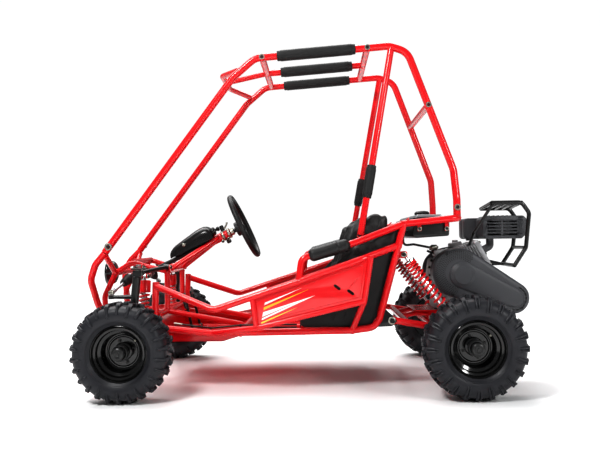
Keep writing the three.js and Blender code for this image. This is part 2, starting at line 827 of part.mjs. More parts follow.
// Swing arm, which carries the rear axle and the engine
const swingHalf = { inner: 278, tube: 296, carrier: 236 };
const swing = {
  bushOuter: 18,
  carrierOuter: 31,
  carrierWidth: 26,
  crossX: pivotX + behindPivot.swingCross,
  plateX: pivotX + behindPivot.enginePlate,
  plateLength: 236,
  sagShare: 0.3,
  railShare: 0.7,
};
const axle = {
  radius: 12.5,
  half: 536,
  sprocketHalf: 112,
  sprocketRadius: 74,
  teeth: 10,
  discHalf: 100,
  discRadius: 66,
  sheet: 5,
};
function swingArm() {
  const axleZ = rearTyreRadius;
  const sagZ = THREE.MathUtils.lerp(pivotZ, axleZ, swing.sagShare);
  const parts = sides.map(([, side]) => {
    const bushInner = swingHalf.inner + overrun;
    const bushOuter = floorHalf - gap;
    const carrierA = side * (swingHalf.carrier - swing.carrierWidth / 2);
    const carrierB = side * (swingHalf.carrier + swing.carrierWidth / 2);
    const sideTube = tube([
      at(pivotX + swing.bushOuter * 0.6, side * swingHalf.tube, pivotZ - overrun),
      at(pivotX + swingReach / 2, side * swingHalf.tube, sagZ),
      at(axleX - swing.carrierOuter, side * swingHalf.carrier, axleZ + swing.carrierOuter / 2),
    ]);
    const inner = rearShock.width / 2 + runningGap;
    const earOutline = [
      [rearShock.lowX - frameTube * 2, axleZ + swing.carrierOuter],
      [rearShock.lowX + frameTube, axleZ + swing.carrierOuter],
      [rearShock.lowX + frameTube * 0.8, rearShock.lowZ + frameTube * 0.8],
      [rearShock.lowX - frameTube * 0.8, rearShock.lowZ + frameTube * 0.8],
    ];
    const ear = (y) => plateAcross(earOutline, side * y, side * (y + suspension.ear));
    const shelfTop = axleZ + swing.carrierOuter + frameTube;
    const shelf = plateAcross(
      [
        [rearShock.lowX - frameTube * 2, axleZ + frameTube],
        [rearShock.lowX + frameTube, axleZ + frameTube],
        [rearShock.lowX + frameTube, shelfTop],
        [rearShock.lowX - frameTube * 2, shelfTop],
      ],
      side * (swingHalf.carrier - frameTube),
      side * (rearShock.half + inner + suspension.ear),
    );
    return [
      rod(at(pivotX, side * bushInner, pivotZ), at(pivotX, side * bushOuter, pivotZ), swing.bushOuter),
      sideTube,
      rod(at(axleX, carrierA, axleZ), at(axleX, carrierB, axleZ), swing.carrierOuter),
      ear(rearShock.half + inner),
      ear(rearShock.half - inner - suspension.ear),
      shelf,
      rod(
        at(rearShock.lowX, side * (rearShock.half - inner - suspension.ear / 2), rearShock.lowZ),
        at(rearShock.lowX, side * (rearShock.half + inner + suspension.ear / 2), rearShock.lowZ),
        suspension.pin,
      ),
    ];
  });
  const cross = (x, z, half) => rod(at(x, -half, z), at(x, half, z), frameTube);
  const crossZ = pivotZ - frameTube;
  const plateEnd = swing.plateX + swing.plateLength;
  const rail = sides.map(([, side]) =>
    tube(
      [
        at(swing.crossX, side * engineFoot.half * swing.railShare, crossZ),
        at(
          swing.plateX,
          side * engineFoot.half * swing.railShare,
          engineFoot.z - frameTube - engineFoot.plate / 2,
        ),
        at(
          plateEnd,
          side * engineFoot.half * swing.railShare,
          engineFoot.z - frameTube - engineFoot.plate / 2,
        ),
      ],
      lightTube,
    ),
  );
  const enginePlate = plateFlat(
    [
      [swing.plateX, -engineFoot.half],
      [plateEnd, -engineFoot.half],
      [plateEnd, engineFoot.half],
      [swing.plateX, engineFoot.half],
    ],
    engineFoot.z - engineFoot.plate,
    engineFoot.z,
  );
  const carrierInner = swingHalf.carrier - swing.carrierWidth / 2;
  const tieX = axleX - axle.sprocketRadius - frameTube * 1.6;
  const tieShare = (tieX - pivotX - swingReach / 2) / (swingReach / 2 - swing.carrierOuter);
  const rearTie = cross(
    tieX,
    THREE.MathUtils.lerp(sagZ, axleZ + swing.carrierOuter / 2, tieShare),
    THREE.MathUtils.lerp(swingHalf.tube, swingHalf.carrier, tieShare),
  );
  const bores = sides.map(([, side]) => [
    hole(
      at(pivotX, side * swingHalf.inner, pivotZ),
      at(pivotX, side * (floorHalf + overrun), pivotZ),
      swingPlate.pin + runningGap,
    ),
    hole(
      at(axleX, side * (carrierInner - overrun), axleZ),
      at(axleX, side * (swingHalf.carrier + swing.carrierWidth), axleZ),
      axle.radius + runningGap,
    ),
  ]);
  const caliper = plateAcross(
    [
      [axleX - axle.discRadius, axleZ + axle.discRadius * 0.35],
      [axleX - axle.discRadius * 0.45, axleZ + axle.discRadius * 0.35],
      [axleX - axle.discRadius * 0.45, engineFoot.z - engineFoot.plate / 2],
      [axleX - axle.discRadius, engineFoot.z - engineFoot.plate / 2],
    ],
    axle.discHalf - axle.sheet * 3,
    axle.discHalf + axle.sheet * 4,
  );
  const caliperSlot = plateAcross(
    [
      [axleX - axle.discRadius * 1.2, axleZ],
      [axleX, axleZ],
      [axleX, axleZ + axle.discRadius + runningGap * 2],
      [axleX - axle.discRadius * 1.2, axleZ + axle.discRadius + runningGap * 2],
    ],
    axle.discHalf - runningGap,
    axle.discHalf + axle.sheet + runningGap,
  );
  const body = join(
    [parts, cross(swing.crossX, crossZ, swingHalf.tube), rearTie, rail, enginePlate, caliper],
  );
  return cut(body, [bores, caliperSlot]);
}

// Wheels: the disc sits well inside the rim, and a long hub reaches out to the nut.
const rim = {
  lip: 100,
  seat: 87,
  well: 72,
  wall: 3,
  lipHalf: 58,
  seatHalf: 48,
  wellHalf: 26,
  discInset: 12,
  hub: 23,
  hubOut: 62,
  nut: 14,
  nutOut: 76,
};
const wheelSegments = 10;

function rimProfile(bore) {
  const t = rim.wall;
  return [
    [bore, -rim.discInset - rim.wellHalf],
    [rim.hub, -rim.discInset - rim.wellHalf],
    [rim.hub, -rim.discInset - t],
    [rim.well - t, -rim.discInset - t],
    [rim.well - t, -rim.wellHalf],
    [rim.lip - t, -rim.lipHalf],
    [rim.lip, -rim.lipHalf],
    [rim.well, -rim.wellHalf],
    [rim.well, rim.wellHalf],
    [rim.lip, rim.lipHalf],
    [rim.lip - t, rim.lipHalf],
    [rim.well - t, rim.wellHalf],
    [rim.well - t, -rim.discInset],
    [rim.hub, -rim.discInset],
    [rim.hub, rim.hubOut],
    [rim.nut, rim.hubOut + t],
    [rim.nut, rim.nutOut],
    [bore, rim.nutOut],
  ];
}

const tread = {
  carcass: 12,
  width: 36,
  topShare: 0.72,
  edgeShare: 0.9,
  lugShare: 0.7,
  crownShare: 0.78,
  shoulderShare: 0.55,
  innerShare: 0.5,
  beadShare: 0.6,
  slant: 0.22,
};

// Carcass in section, from bead to bead and hollow towards the rim, with a slanted lug on each facet
function tyre(centre, radius) {
  const half = tyreWidth / 2;
  const bead = THREE.MathUtils.lerp(rim.well, rim.lip, tread.beadShare) + gap * 2;
  const beadHalf = THREE.MathUtils.lerp(rim.wellHalf, rim.lipHalf, tread.beadShare);
  const crown = radius - tread.carcass;
  const shoulder = THREE.MathUtils.lerp(rim.lip, crown, tread.shoulderShare);
  const profile = [
    [bead, -beadHalf],
    [rim.lip + tread.carcass / 2, -rim.lipHalf - gap],
    [shoulder, -half],
    [crown, -half * tread.crownShare],
    [crown, half * tread.crownShare],
    [shoulder, half],
    [rim.lip + tread.carcass / 2, rim.lipHalf + gap],
    [bead, beadHalf],
    [shoulder, half * tread.innerShare],
    [shoulder, -half * tread.innerShare],
  ];
  const carcass = turned(profile, centre, at(0, 1, 0), wheelSegments);
  const lugs = Array.from({ length: wheelSegments }, (_, i) => {
    const height = radius - crown * Math.cos(Math.PI / wheelSegments) + overrun;
    const block = new THREE.BoxGeometry(tread.width, tyreWidth * tread.lugShare, height);
    const position = block.attributes.position;
    for (let k = 0; k < position.count; k++) {
      if (position.getZ(k) > 0) position.setX(k, position.getX(k) * tread.topShare);
      if (position.getZ(k) > 0) position.setY(k, position.getY(k) * tread.edgeShare);
    }
    const place = new THREE.Matrix4().makeTranslation(centre);
    place.multiply(new THREE.Matrix4().makeRotationY((i + 0.5) * ((2 * Math.PI) / wheelSegments)));
    place.multiply(new THREE.Matrix4().makeTranslation(0, 0, radius - height / 2));
    place.multiply(new THREE.Matrix4().makeRotationZ(i % 2 ? tread.slant : -tread.slant));
    return solid(block, place);
  });
  return join([carcass, lugs]);
}

// Coil spring of one unbroken wire, whose ends stand square on their seats
const curlSteps = 6;
const wireSides = 5;
let leastCurlGap = Infinity;

function spring(from, to, radius, wire, curls) {
  const axis = to.clone().sub(from);
  const length = axis.length();
  const lead = wire * 2;
  const count = curls * curlSteps;
  const points = [at(radius, 0, 0), at(radius, 0, lead / 2)];
  for (let i = 0; i <= count; i++) {
    const angle = (i / curlSteps) * 2 * Math.PI;
    const z = THREE.MathUtils.lerp(lead, length - lead, i / count);
    points.push(at(radius * Math.cos(angle), radius * Math.sin(angle), z));
  }
  points.push(at(radius, 0, length - lead / 2), at(radius, 0, length));
  for (let i = 0; i < points.length; i++) {
    for (let j = i + curlSteps - 1; j < points.length; j++) {
      leastCurlGap = Math.min(leastCurlGap, points[i].distanceTo(points[j]) - 2 * wire);
    }
  }
  const turn = new THREE.Quaternion().setFromUnitVectors(at(0, 0, 1), axis.clone().normalize());
  const stations = points.map((point) => point.applyQuaternion(turn).add(from));
  return sweep(stations, disc(wire, wireSides));
}

// Damper: a rod with its eye and upper seat, a tube with its eye and lower seat, and a spring between
const damperSegments = 6;

function damper(prefix, name, top, low, across, size) {
  const axis = low.clone().sub(top);
  const length = axis.length();
  const down = axis.clone().normalize();
  const on = (distance) => top.clone().addScaledVector(down, distance);
  const halfEye = across.clone().multiplyScalar(size.eyeWidth / 2);
  const eye = (centre) => rod(centre.clone().sub(halfEye), centre.clone().add(halfEye), size.eye, 8);
  const bore = (centre) =>
    hole(
      centre.clone().sub(halfEye).addScaledVector(across, -overrun),
      centre.clone().add(halfEye).addScaledVector(across, overrun),
      size.bore,
    );
  const neck = size.eyeWidth / 2 - runningGap;
  const seatTop = size.eye + size.neck;
  const seatLow = length - size.eye - size.neck;
  const rodEnd = length * size.rodShare;
  const tubeTop = length * size.tubeShare;
  const boreEnd = rodEnd + size.stroke;
  const inside = (size.rod + runningGap) / Math.cos(Math.PI / damperSegments);
  const rodProfile = [
    [0, 0],
    [neck, 0],
    [neck, seatTop - size.cup * 2],
    [size.seat, seatTop - size.cup],
    [size.seat, seatTop],
    [size.rod, seatTop],
    [size.rod, rodEnd],
    [0, rodEnd],
  ];
  const tubeProfile = [
    [0, boreEnd],
    [inside, boreEnd],
    [inside, tubeTop],
    [size.tube, tubeTop],
    [size.tube, seatLow],
    [size.seat, seatLow],
    [size.seat, seatLow + size.cup],
    [neck, seatLow + size.cup * 2],
    [neck, length],
    [0, length],
  ];
  const rodPart = cut(join([eye(on(0)), turned(rodProfile, top, down, damperSegments)]), [bore(on(0))]);
  const tubePart = cut(
    join([eye(on(length)), turned(tubeProfile, top, down, damperSegments)]),
    [bore(on(length))],
  );
  const coil = spring(on(seatTop + gap), on(seatLow - gap), size.coil, size.wire, size.curls);
  piece(`${prefix}_damper_rod_${name}`, rodPart, colours.chrome);
  piece(`${prefix}_damper_tube_${name}`, tubePart, colours.black);
  piece(`${prefix}_spring_${name}`, coil, colours.red);
}

const rearDamper = {
  eye: 13, eyeWidth: rearShock.width, bore: 6.4, neck: 22, seat: 23, cup: 3, rod: 5, rodShare: 0.55,
  tube: 13, tubeShare: 0.36, stroke: 32, coil: 19.2, wire: 3.6, curls: 8,
};
const frontDamper = {
  eye: 11, eyeWidth: frontShock.width, bore: 6.4, neck: 12, seat: 21, cup: 3, rod: 4, rodShare: 0.5,
  tube: 11, tubeShare: 0.38, stroke: 20, coil: 17.5, wire: 3.2, curls: 6,
};

// Arms, upright and knuckle of one front corner
function frontCorner(name, side) {
  const s = suspension;
  const bushAt = (x, half, z) => rod(
    at(x - s.bushLength / 2, side * half, z),
    at(x + s.bushLength / 2, side * half, z),
    s.bush,
  );
  const boreAt = (x, half, z) =>
    hole(at(x - s.bushLength, side * half, z), at(x + s.bushLength, side * half, z), s.pin + runningGap);
  const arm = (pivots, pivotZ, outer, extra = [], cuts = []) =>
    cut(
      join([
        pivots.map((x) => [
          bushAt(x, s.pivotHalf, pivotZ),
          rod(
            at(x, side * (s.pivotHalf + s.bush * 0.7), pivotZ),
            at(outer.x, side * s.outerHalf, outer.z),
            s.armTube,
          ),
        ]),
        bushAt(outer.x, s.outerHalf, outer.z),
        extra,
      ]),
      [pivots.map((x) => boreAt(x, s.pivotHalf, pivotZ)), boreAt(outer.x, s.outerHalf, outer.z), cuts],
    );
  const tieHalf = (frontShock.lowHalf - s.pivotHalf) / (s.outerHalf - s.pivotHalf);
  const tieX = (x) => THREE.MathUtils.lerp(x, lowerOuter.x, tieHalf);
  const tieZ = s.lowerZ - s.drop * tieHalf;
  const tie = rod(
    at(tieX(s.lowerPivots[0]), side * frontShock.lowHalf, tieZ),
    at(tieX(s.lowerPivots[1]), side * frontShock.lowHalf, tieZ),
    s.armTube,
  );
  const lugInner = frontShock.width / 2 + runningGap;
  const lugOutline = [
    [side * (frontShock.lowHalf - s.bush), tieZ],
    [side * (frontShock.lowHalf + s.bush), tieZ],
    [side * (frontShock.lowHalf + s.pin * 2), frontShock.lowZ + s.pin * 2],
    [side * (frontShock.lowHalf - s.pin * 2), frontShock.lowZ + s.pin * 2],
  ];
  const lug = [
    plateAlong(lugOutline, frontShock.x + lugInner, frontShock.x + lugInner + s.ear),
    plateAlong(lugOutline, frontShock.x - lugInner - s.ear, frontShock.x - lugInner),
    rod(
      at(frontShock.x - lugInner - s.ear, side * frontShock.lowHalf, frontShock.lowZ),
      at(frontShock.x + lugInner + s.ear, side * frontShock.lowHalf, frontShock.lowZ),
      s.pin,
    ),
  ];
  piece(`lower_arm_${name}`, arm(s.lowerPivots, s.lowerZ, lowerOuter, [tie, lug]), colours.red);
  piece(`upper_arm_${name}`, arm(s.upperPivots, s.upperZ, upperOuter), colours.black);

  // Upright: the kingpin bolt with a forked block at each end
  const king = (z) => at(kingXAt(z), side * s.kingHalf, z);
  const kingTop = upperOuter.z;
  const kingLow = lowerOuter.z;
  const block = { ...fork, half: s.bushLength / 2 + runningGap };
  const forkAt = (outer) => {
    const outline = [
      [side * (s.outerHalf - block.inboard), outer.z - block.reach],
      [side * (s.kingHalf + block.outboard), outer.z - block.reach],
      [side * (s.kingHalf + block.outboard), outer.z + block.reach],
      [side * (s.outerHalf - block.inboard), outer.z + block.reach],
    ];
    const whole = plateAlong(outline, outer.x - block.half - s.ear, outer.x + block.half + s.ear);
    const pocket = [
      [side * (s.outerHalf - block.reach * 2), outer.z - block.reach - overrun],
      [side * (s.outerHalf + s.bush + runningGap), outer.z - block.reach - overrun],
      [side * (s.outerHalf + s.bush + runningGap), outer.z + block.reach + overrun],
      [side * (s.outerHalf - block.reach * 2), outer.z + block.reach + overrun],
    ];
    const hollow = plateAlong(pocket, outer.x - block.half, outer.x + block.half);
    const pin = rod(
      at(outer.x - block.half - s.ear, side * s.outerHalf, outer.z),
      at(outer.x + block.half + s.ear, side * s.outerHalf, outer.z),
      s.pin,
    );
    return [cut(whole, [hollow]), pin];
  };
  const bolt = rod(king(kingLow), king(kingTop), kingpin.bolt);
  piece(`kingpin_${name}`, join([forkAt(upperOuter), forkAt(lowerOuter), bolt]), colours.black);

  // Knuckle: the tube that turns on the kingpin, its steering arm and the dropped spindle
  const tubeLow = kingLow + block.reach + runningGap * 3;
  const tubeTop = kingTop - block.reach - runningGap * 3;
  const armZ = kingpin.armZ;
  const plateHalf = s.kingHalf + flatOf(kingpin.tube) - gap + s.ear;
  const spindleStart = at(suspension.kingX, side * plateHalf, frontTyreRadius);
  const plate = plateAcross(
    [
      [s.kingX - kingpin.plate, frontTyreRadius - kingpin.plate],
      [s.kingX + kingpin.plate, frontTyreRadius - kingpin.plate],
      [kingXAt(tubeLow + kingpin.plate * 3) + kingpin.plate, tubeLow + kingpin.plate * 3],
      [kingXAt(tubeLow + kingpin.plate * 3) - kingpin.plate, tubeLow + kingpin.plate * 3],
    ],
    side * (plateHalf - suspension.ear),
    side * (plateHalf + suspension.ear),
  );
  const tieEnd = at(tieRod.outerX, side * s.kingHalf, armZ);
  const steeringArm = [
    rod(king(armZ), tieEnd, kingpin.arm),
    rod(
      at(tieEnd.x, tieEnd.y, armZ - kingpin.arm),
      at(tieEnd.x, tieEnd.y, armZ + kingpin.arm),
      kingpin.arm * 1.6,
    ),
  ];
  const spindle = rod(
    spindleStart,
    at(s.kingX, side * (wheelHalf + rim.hubOut), frontTyreRadius),
    kingpin.spindle,
  );
  const knuckle = cut(
    join([rod(king(tubeLow), king(tubeTop), kingpin.tube), plate, steeringArm]),
    [hole(king(tubeLow - overrun), king(tubeTop + overrun), kingpin.bolt + runningGap)],
  );
  piece(`knuckle_${name}`, join([knuckle, spindle]), colours.black);

  const centre = at(s.kingX, side * wheelHalf, frontTyreRadius);
  piece(
    `front_rim_${name}`,
    turned(rimProfile(kingpin.spindle + runningGap), centre, at(0, side, 0), wheelSegments),
    colours.rim,
  );
  piece(`front_tyre_${name}`, tyre(centre, frontTyreRadius), colours.tyre);

  damper(
    "front",
    name,
    at(frontShock.x, side * frontShock.topHalf, frontShock.topZ),
    at(frontShock.x, side * frontShock.lowHalf, frontShock.lowZ),
    at(1, 0, 0),
    frontDamper,
  );

  // Tie rod: it reaches from the ball on the rack bar to just above the steering arm
  const inner = at(rackCentre.x, side * rack.ballHalf, rackCentre.z);
  const outer = at(
    tieRod.outerX,
    side * s.kingHalf,
    armZ + kingpin.arm + tieRod.clearance + tieRod.end / 2,
  );
  const direction = outer.clone().sub(inner).normalize();
  const socket = inner.clone().addScaledVector(direction, rack.ball + runningGap);
  const fold = rack.bootLength / (rack.folds * 2);
  const bellows = Array.from(
    { length: rack.folds * 2 + 1 },
    (_, i) => [i % 2 ? rack.boot : rack.boot * 0.78, i * fold],
  );
  const reach = outer.distanceTo(socket);
  const profile = [
    [0, 0],
    ...bellows,
    [tieRod.radius, rack.bootLength],
    [tieRod.radius, reach],
    [0, reach],
  ];
  const seatZ = outer.z - tieRod.end / 2;
  const rodEnd = rod(
    outer.clone().setZ(seatZ),
    outer.clone().setZ(seatZ + tieRod.end * 1.5),
    tieRod.end,
  );
  piece(
    `tie_rod_${name}`,
    join([turned(profile, socket, direction, damperSegments), rodEnd]),
    colours.steel,
  );
}

// Fork blocks at the kingpin's ends: half height, reach inboard of the arm's bush, reach outboard of the bolt
const fork = { reach: 11, inboard: 7, outboard: 7.6 };
const kingpin = { bolt: 7, tube: 15, plate: 17, spindle: 9, arm: 7, armZ: 362 };
const tieRod = { outerX: -68, radius: 5.5, end: 12, clearance: 1.8 };

// Rack: the housing under the front hoops with a bellows boot at each end, and the bar inside it
function rackHousing() {
  const across = (half, radius) => rod(
    rackCentre.clone().setY(-half),
    rackCentre.clone().setY(half),
    radius,
  );
  const pinionTop = onColumn(column.rackDistance - rack.radius * 1.6);
  const pinion = rod(pinionTop, onColumn(column.rackDistance + rack.radius), rack.radius);
  const bore = hole(
    rackCentre.clone().setY(-rack.half - overrun),
    rackCentre.clone().setY(rack.half + overrun),
    rack.bar + runningGap,
  );
  const shaftBore = hole(
    onColumn(column.rackDistance - rack.radius * 2),
    onColumn(column.rackDistance - rack.radius / 2),
    shaft.radius + runningGap,
  );
  return cut(join([across(rack.half, rack.radius), pinion]), [bore, shaftBore]);
}

function rackBar() {
  const ends = sides.map(([, side]) => {
    const shape = new THREE.SphereGeometry(rack.ball, 8, 5);
    return solid(
      shape,
      new THREE.Matrix4().makeTranslation(rackCentre.x, side * rack.ballHalf, rackCentre.z),
    );
  });
  const bar = rod(
    rackCentre.clone().setY(-rack.ballHalf),
    rackCentre.clone().setY(rack.ballHalf),
    rack.bar,
  );
  const flat = plateAlong(
    [
      [-rack.half / 2, rackCentre.z + rack.bar * 0.3],
      [rack.half / 2, rackCentre.z + rack.bar * 0.3],
      [rack.half / 2, rackCentre.z + rack.bar * 2],
      [-rack.half / 2, rackCentre.z + rack.bar * 2],
    ],
    rackCentre.x - rack.bar * 2,
    rackCentre.x + rack.bar * 2,
  );
  return join([cut(bar, [flat]), ends]);
}

// Steering wheel with its shaft, down to the pinion
const wheel = { radius: 131, grip: 11.5, hub: 30, hubDepth: 16, spoke: 24, spokeThick: 5, dish: 20 };

function steeringWheel() {
  const facing = columnDown.clone().negate();
  const turn = new THREE.Quaternion().setFromUnitVectors(at(0, 0, 1), facing);
  const centre = onColumn(0);
  const grip = solid(
    new THREE.TorusGeometry(wheel.radius, wheel.grip, 5, 14),
    new THREE.Matrix4().compose(centre, turn, at(1, 1, 1)),
  );
  const hub = rod(
    onColumn(wheel.dish + wheel.hubDepth),
    onColumn(wheel.dish - wheel.spokeThick),
    wheel.hub,
  );
  const across = at(0, 1, 0);
  const upward = facing.clone().cross(across).normalize();
  const spokeAngles = [0, 180, 270].map(THREE.MathUtils.degToRad);
  const spokes = spokeAngles.map((angle) => {
    const out = across.clone().multiplyScalar(Math.cos(angle)).addScaledVector(upward, Math.sin(angle));
    const matrix = new THREE.Matrix4().makeBasis(out, facing.clone().cross(out), facing);
    const shape = new THREE.Shape([
      new THREE.Vector2(wheel.hub * 0.6, -wheel.spoke * 0.6),
      new THREE.Vector2(wheel.radius - wheel.dish, -wheel.spoke / 2),
      new THREE.Vector2(wheel.radius, -wheel.spoke / 2),
      new THREE.Vector2(wheel.radius, wheel.spoke / 2),
      new THREE.Vector2(wheel.radius - wheel.dish, wheel.spoke / 2),
      new THREE.Vector2(wheel.hub * 0.6, wheel.spoke * 0.6),
    ]);
    const geometry = new THREE.ExtrudeGeometry(shape, { depth: wheel.spokeThick, bevelEnabled: false });
    const slope = new THREE.Matrix4().makeRotationY(
      -Math.atan2(wheel.dish - wheel.grip / 2, wheel.radius),
    );
    matrix.setPosition(onColumn(wheel.dish));
    return solid(geometry, matrix.multiply(slope));
  });
  const stem = rod(
    onColumn(wheel.dish),
    onColumn(column.rackDistance - rack.radius / 2 - runningGap),
    shaft.radius,
  );
  const collar = rod(
    onColumn(bush.upper - gap * 2),
    onColumn(bush.upper - shaft.top),
    shaft.radius * 1.7,
  );
  return join([grip, hub, spokes, stem, collar]);
}

// Cover over the column: a shell with a round rear end, open underneath
function dashCowl() {
  const outline = (inset, dropped) => {
    const places = [
      [cowl.baseFront - inset, cowl.baseLift - dropped],
      [cowl.baseFront - inset * 1.5, cowl.noseLift - inset],
      [THREE.MathUtils.lerp(cowl.baseFront, cowl.baseRear, 0.55), cowl.noseLift + overrun - inset],
      [cowl.baseRear + cowl.crownLift * 0.35, cowl.crownLift + overrun - inset],
      [cowl.baseRear + inset, cowl.crownLift - inset * 2],
      [cowl.baseRear + inset, cowl.baseLift - dropped],
    ];
    return places.map(([distance, lift]) => {
      const place = aboveColumn(distance, lift);
      return [place.x, place.z];
    });
  };
  const shell = plateAcross(outline(0, 0), -cowl.half, cowl.half);
  const hollow = plateAcross(outline(cowl.wall, overrun), cowl.wall - cowl.half, cowl.half - cowl.wall);
  return cut(shell, [hollow]);
}

function headlight() {
  const centre = at(lampCentre.x, 0, lampCentre.z);
  const bowl = turned(
    [
      [0, 0],
      [lamp.radius * 0.96, 0],
      [lamp.radius, lamp.rim],
      [lamp.radius * 0.9, lamp.depth * 0.5],
      [lamp.radius * 0.55, lamp.depth * 0.9],
      [lamp.neck, lamp.depth],
      [0, lamp.depth],
    ],
    centre.clone().setX(centre.x - lamp.depth),
    at(1, 0, 0),
    10,
  );
  const stem = rod(
    centre.clone().setX(centre.x - overrun),
    at(box.browX - lightTube - gap, 0, lampCentre.z),
    lamp.neck,
  );
  return join([bowl, stem]);
}

// Cage of bolted hoops
const cage = {
  footX: -116,
  footZ: 537,
  browX: 376,
  browZ: 1190,
  roofX: 462,
  roofZ: cageTop - belowTop.roof,
  crownX: pivotX + behindPivot.crown,
  crownZ: cageTop - belowTop.crown,
  shoulderX: pivotX + behindPivot.shoulder,
  shoulderZ: cageTop - belowTop.shoulder,
  kinkX: pivotX + behindPivot.kink,
  kinkZ: 820,
  // How far the rear legs lean out for each millimetre down to the kink
  splay: 7 / 454,
  boltX: rearRail.endX,
  pillarFootX: pivotX + behindPivot.pillarFoot,
  pillarTopX: pivotX + behindPivot.pillarTop,
  frontBarX: 489,
  rearBarX: 892,
  visorX: 316,
  visorZ: 1229,
  visorHalf: 118,
  midBarX: pivotX + behindPivot.midBar,
};
const kinkHalf = cageHalf + (cage.shoulderZ - cage.kinkZ) * cage.splay;
const roofZAt = (x) => THREE.MathUtils.mapLinear(x, cage.roofX, cage.crownX, cage.roofZ, cage.crownZ);
const armrestRailAt = (x) =>
  THREE.MathUtils.mapLinear(x, armrest.endX, upright.topX, armrest.endZ, upright.topZ);

function cageHoop(side) {
  const y = side * cageHalf;
  const hoop = tube(
    [
      at(cage.footX, y, cage.footZ),
      at(cage.browX, y, cage.browZ),
      at(cage.roofX, y, cage.roofZ),
      at(cage.crownX, y, cage.crownZ),
      at(cage.shoulderX, y, cage.shoulderZ),
      at(cage.kinkX, side * kinkHalf, cage.kinkZ),
      at(cage.boltX, side * rearRail.boltHalf, rearRail.stubZ + cageTube * 3),
      at(cage.boltX, side * rearRail.boltHalf, rearRail.stubZ + gap),
    ],
    cageTube,
  );
  const foot = at(cage.pillarFootX, side * floorHalf, armrestRailAt(cage.pillarFootX) + frameTube * 1.5);
  const pillar = rod(foot, at(cage.pillarTopX, y, cage.crownZ), pillarTube);
  return join([hoop, pillar]);
}

function crossbar(x, z, hoopHalf = cageHalf, radius = frameTube) {
  const half = hoopHalf - flatOf(cageTube) - gap;
  return rod(at(x, -half, z), at(x, half, z), radius);
}

function roofFrame() {
  const frontZ = roofZAt(cage.frontBarX);
  const rearZ = roofZAt(cage.rearBarX);
  const half = cageHalf - flatOf(cageTube) - gap * 3;
  const visorRoute = [
    at(cage.browX + cageTube, -half, cage.browZ + cageTube * 2),
    at(cage.visorX, -cage.visorHalf, cage.visorZ),
    at(cage.visorX, cage.visorHalf, cage.visorZ),
    at(cage.browX + cageTube, half, cage.browZ + cageTube * 2),
  ];
  const visor = tube(visorRoute, lightTube);
  const middle = rod(at(cage.visorX, 0, cage.visorZ), at(cage.frontBarX, 0, frontZ), lightTube);
  const ridge = rod(at(cage.frontBarX, 0, frontZ), at(cage.rearBarX, 0, rearZ), frameTube);
  return join([crossbar(cage.frontBarX, frontZ), crossbar(cage.rearBarX, rearZ), visor, middle, ridge]);
}

// Foam sleeve round a tube, with rounded ends
function foamSleeve(a, b, outer, tubeRadius, segments = 8) {
  const axis = b.clone().sub(a);
  const inner = (tubeRadius + gap) / Math.cos(Math.PI / segments);
  const length = axis.length();
  const round = (outer - inner) * 0.6;
  const profile = [
    [inner, 0],
    [outer - round, 0],
    [outer, round],
    [outer, length - round],
    [inner, length],
  ];
  return turned(profile, a, axis, segments);
}

// Roof pads run from one X to another, grips from one height to another, arm pads over shares of their tube
const roofPad = { outer: 21.5, from: 547, to: 846 };
const grip = { outer: 19, from: 716, to: 838 };
const armPad = { outer: 24.5, fromShare: 0.14, toShare: 0.93 };
const pillarTube = cageTube - overrun / 2;

// A cushion: a rounded block whose faces crown, whose sides draw in and whose top has sewn channels
function cushion({ length, width, thick, crown, drawShare, cornerShare, channels, channelDepth }, matrix) {
  const across = 3;
  const along = channels * 3;
  const geometry = new THREE.BoxGeometry(1, 1, 1, along, across, 2);
  const position = geometry.attributes.position;
  const v = new THREE.Vector3();
  for (let i = 0; i < position.count; i++) {
    v.fromBufferAttribute(position, i);
    const u = v.x * 2;
    const w = v.y * 2;
    const dome = (1 - u ** 4) * (1 - w ** 4);
    const pulled = 1 - drawShare * (1 - Math.abs(v.z * 2)) * Math.max(Math.abs(u), Math.abs(w)) ** 6;
    const corner = 1 - cornerShare * (u * u) * (w * w);
    const seam = Math.abs(Math.cos(Math.PI * channels * (v.x + 0.5))) ** 8;
    const groove = v.z > 0 ? channelDepth * seam * (1 - w ** 6) : 0;
    position.setXYZ(
      i,
      v.x * length * pulled * corner,
      v.y * width * pulled * corner,
      v.z * thick + (v.z > 0 ? dome * crown - groove : 0),
    );
  }
  return solid(geometry, matrix);
}

const seat = {
  half: 240,
  baseLength: 222,
  baseThick: 70,
  backThick: 78,
  backLength: 372,
  backX: pivotX + behindPivot.seatBack - frameTube,
  backZ: 452,
  recline: THREE.MathUtils.degToRad(75),
  wing: 46,
  crown: 14,
  channel: 9,
};

const tub = {
  half: floorHalf - flatOf(frameTube) - gap,
  wall: 4,
  frontX: pivotX + behindPivot.tubFront,
  bottomZ: floor.midZ + flatOf(frameTube) + gap,
};
seat.baseX = tub.frontX + frameTube + tub.wall + seat.baseLength / 2;

function tubOutline(inset, open) {
  const back = (z) => uprightXAt(z) - frameTube - gap * 2 - inset;
  return [
    [tub.frontX + inset, tub.bottomZ + inset + frameTube - open],
    [tub.frontX + frameTube + inset, tub.bottomZ + inset],
    [back(tub.bottomZ) - frameTube, tub.bottomZ + inset],
    [back(upright.footZ + frameTube), upright.footZ + frameTube],
    [back(upright.topZ) + open, upright.topZ - frameTube + open * 2],
    [hip.backX - frameTube, armrest.endZ - frameTube / 2 + open * 2],
    [hip.seatX + seat.baseLength / 1.6, hip.backZ - frameTube * 2 + open * 3],
    [tub.frontX + inset, hip.lowZ + frameTube + open],
  ];
}

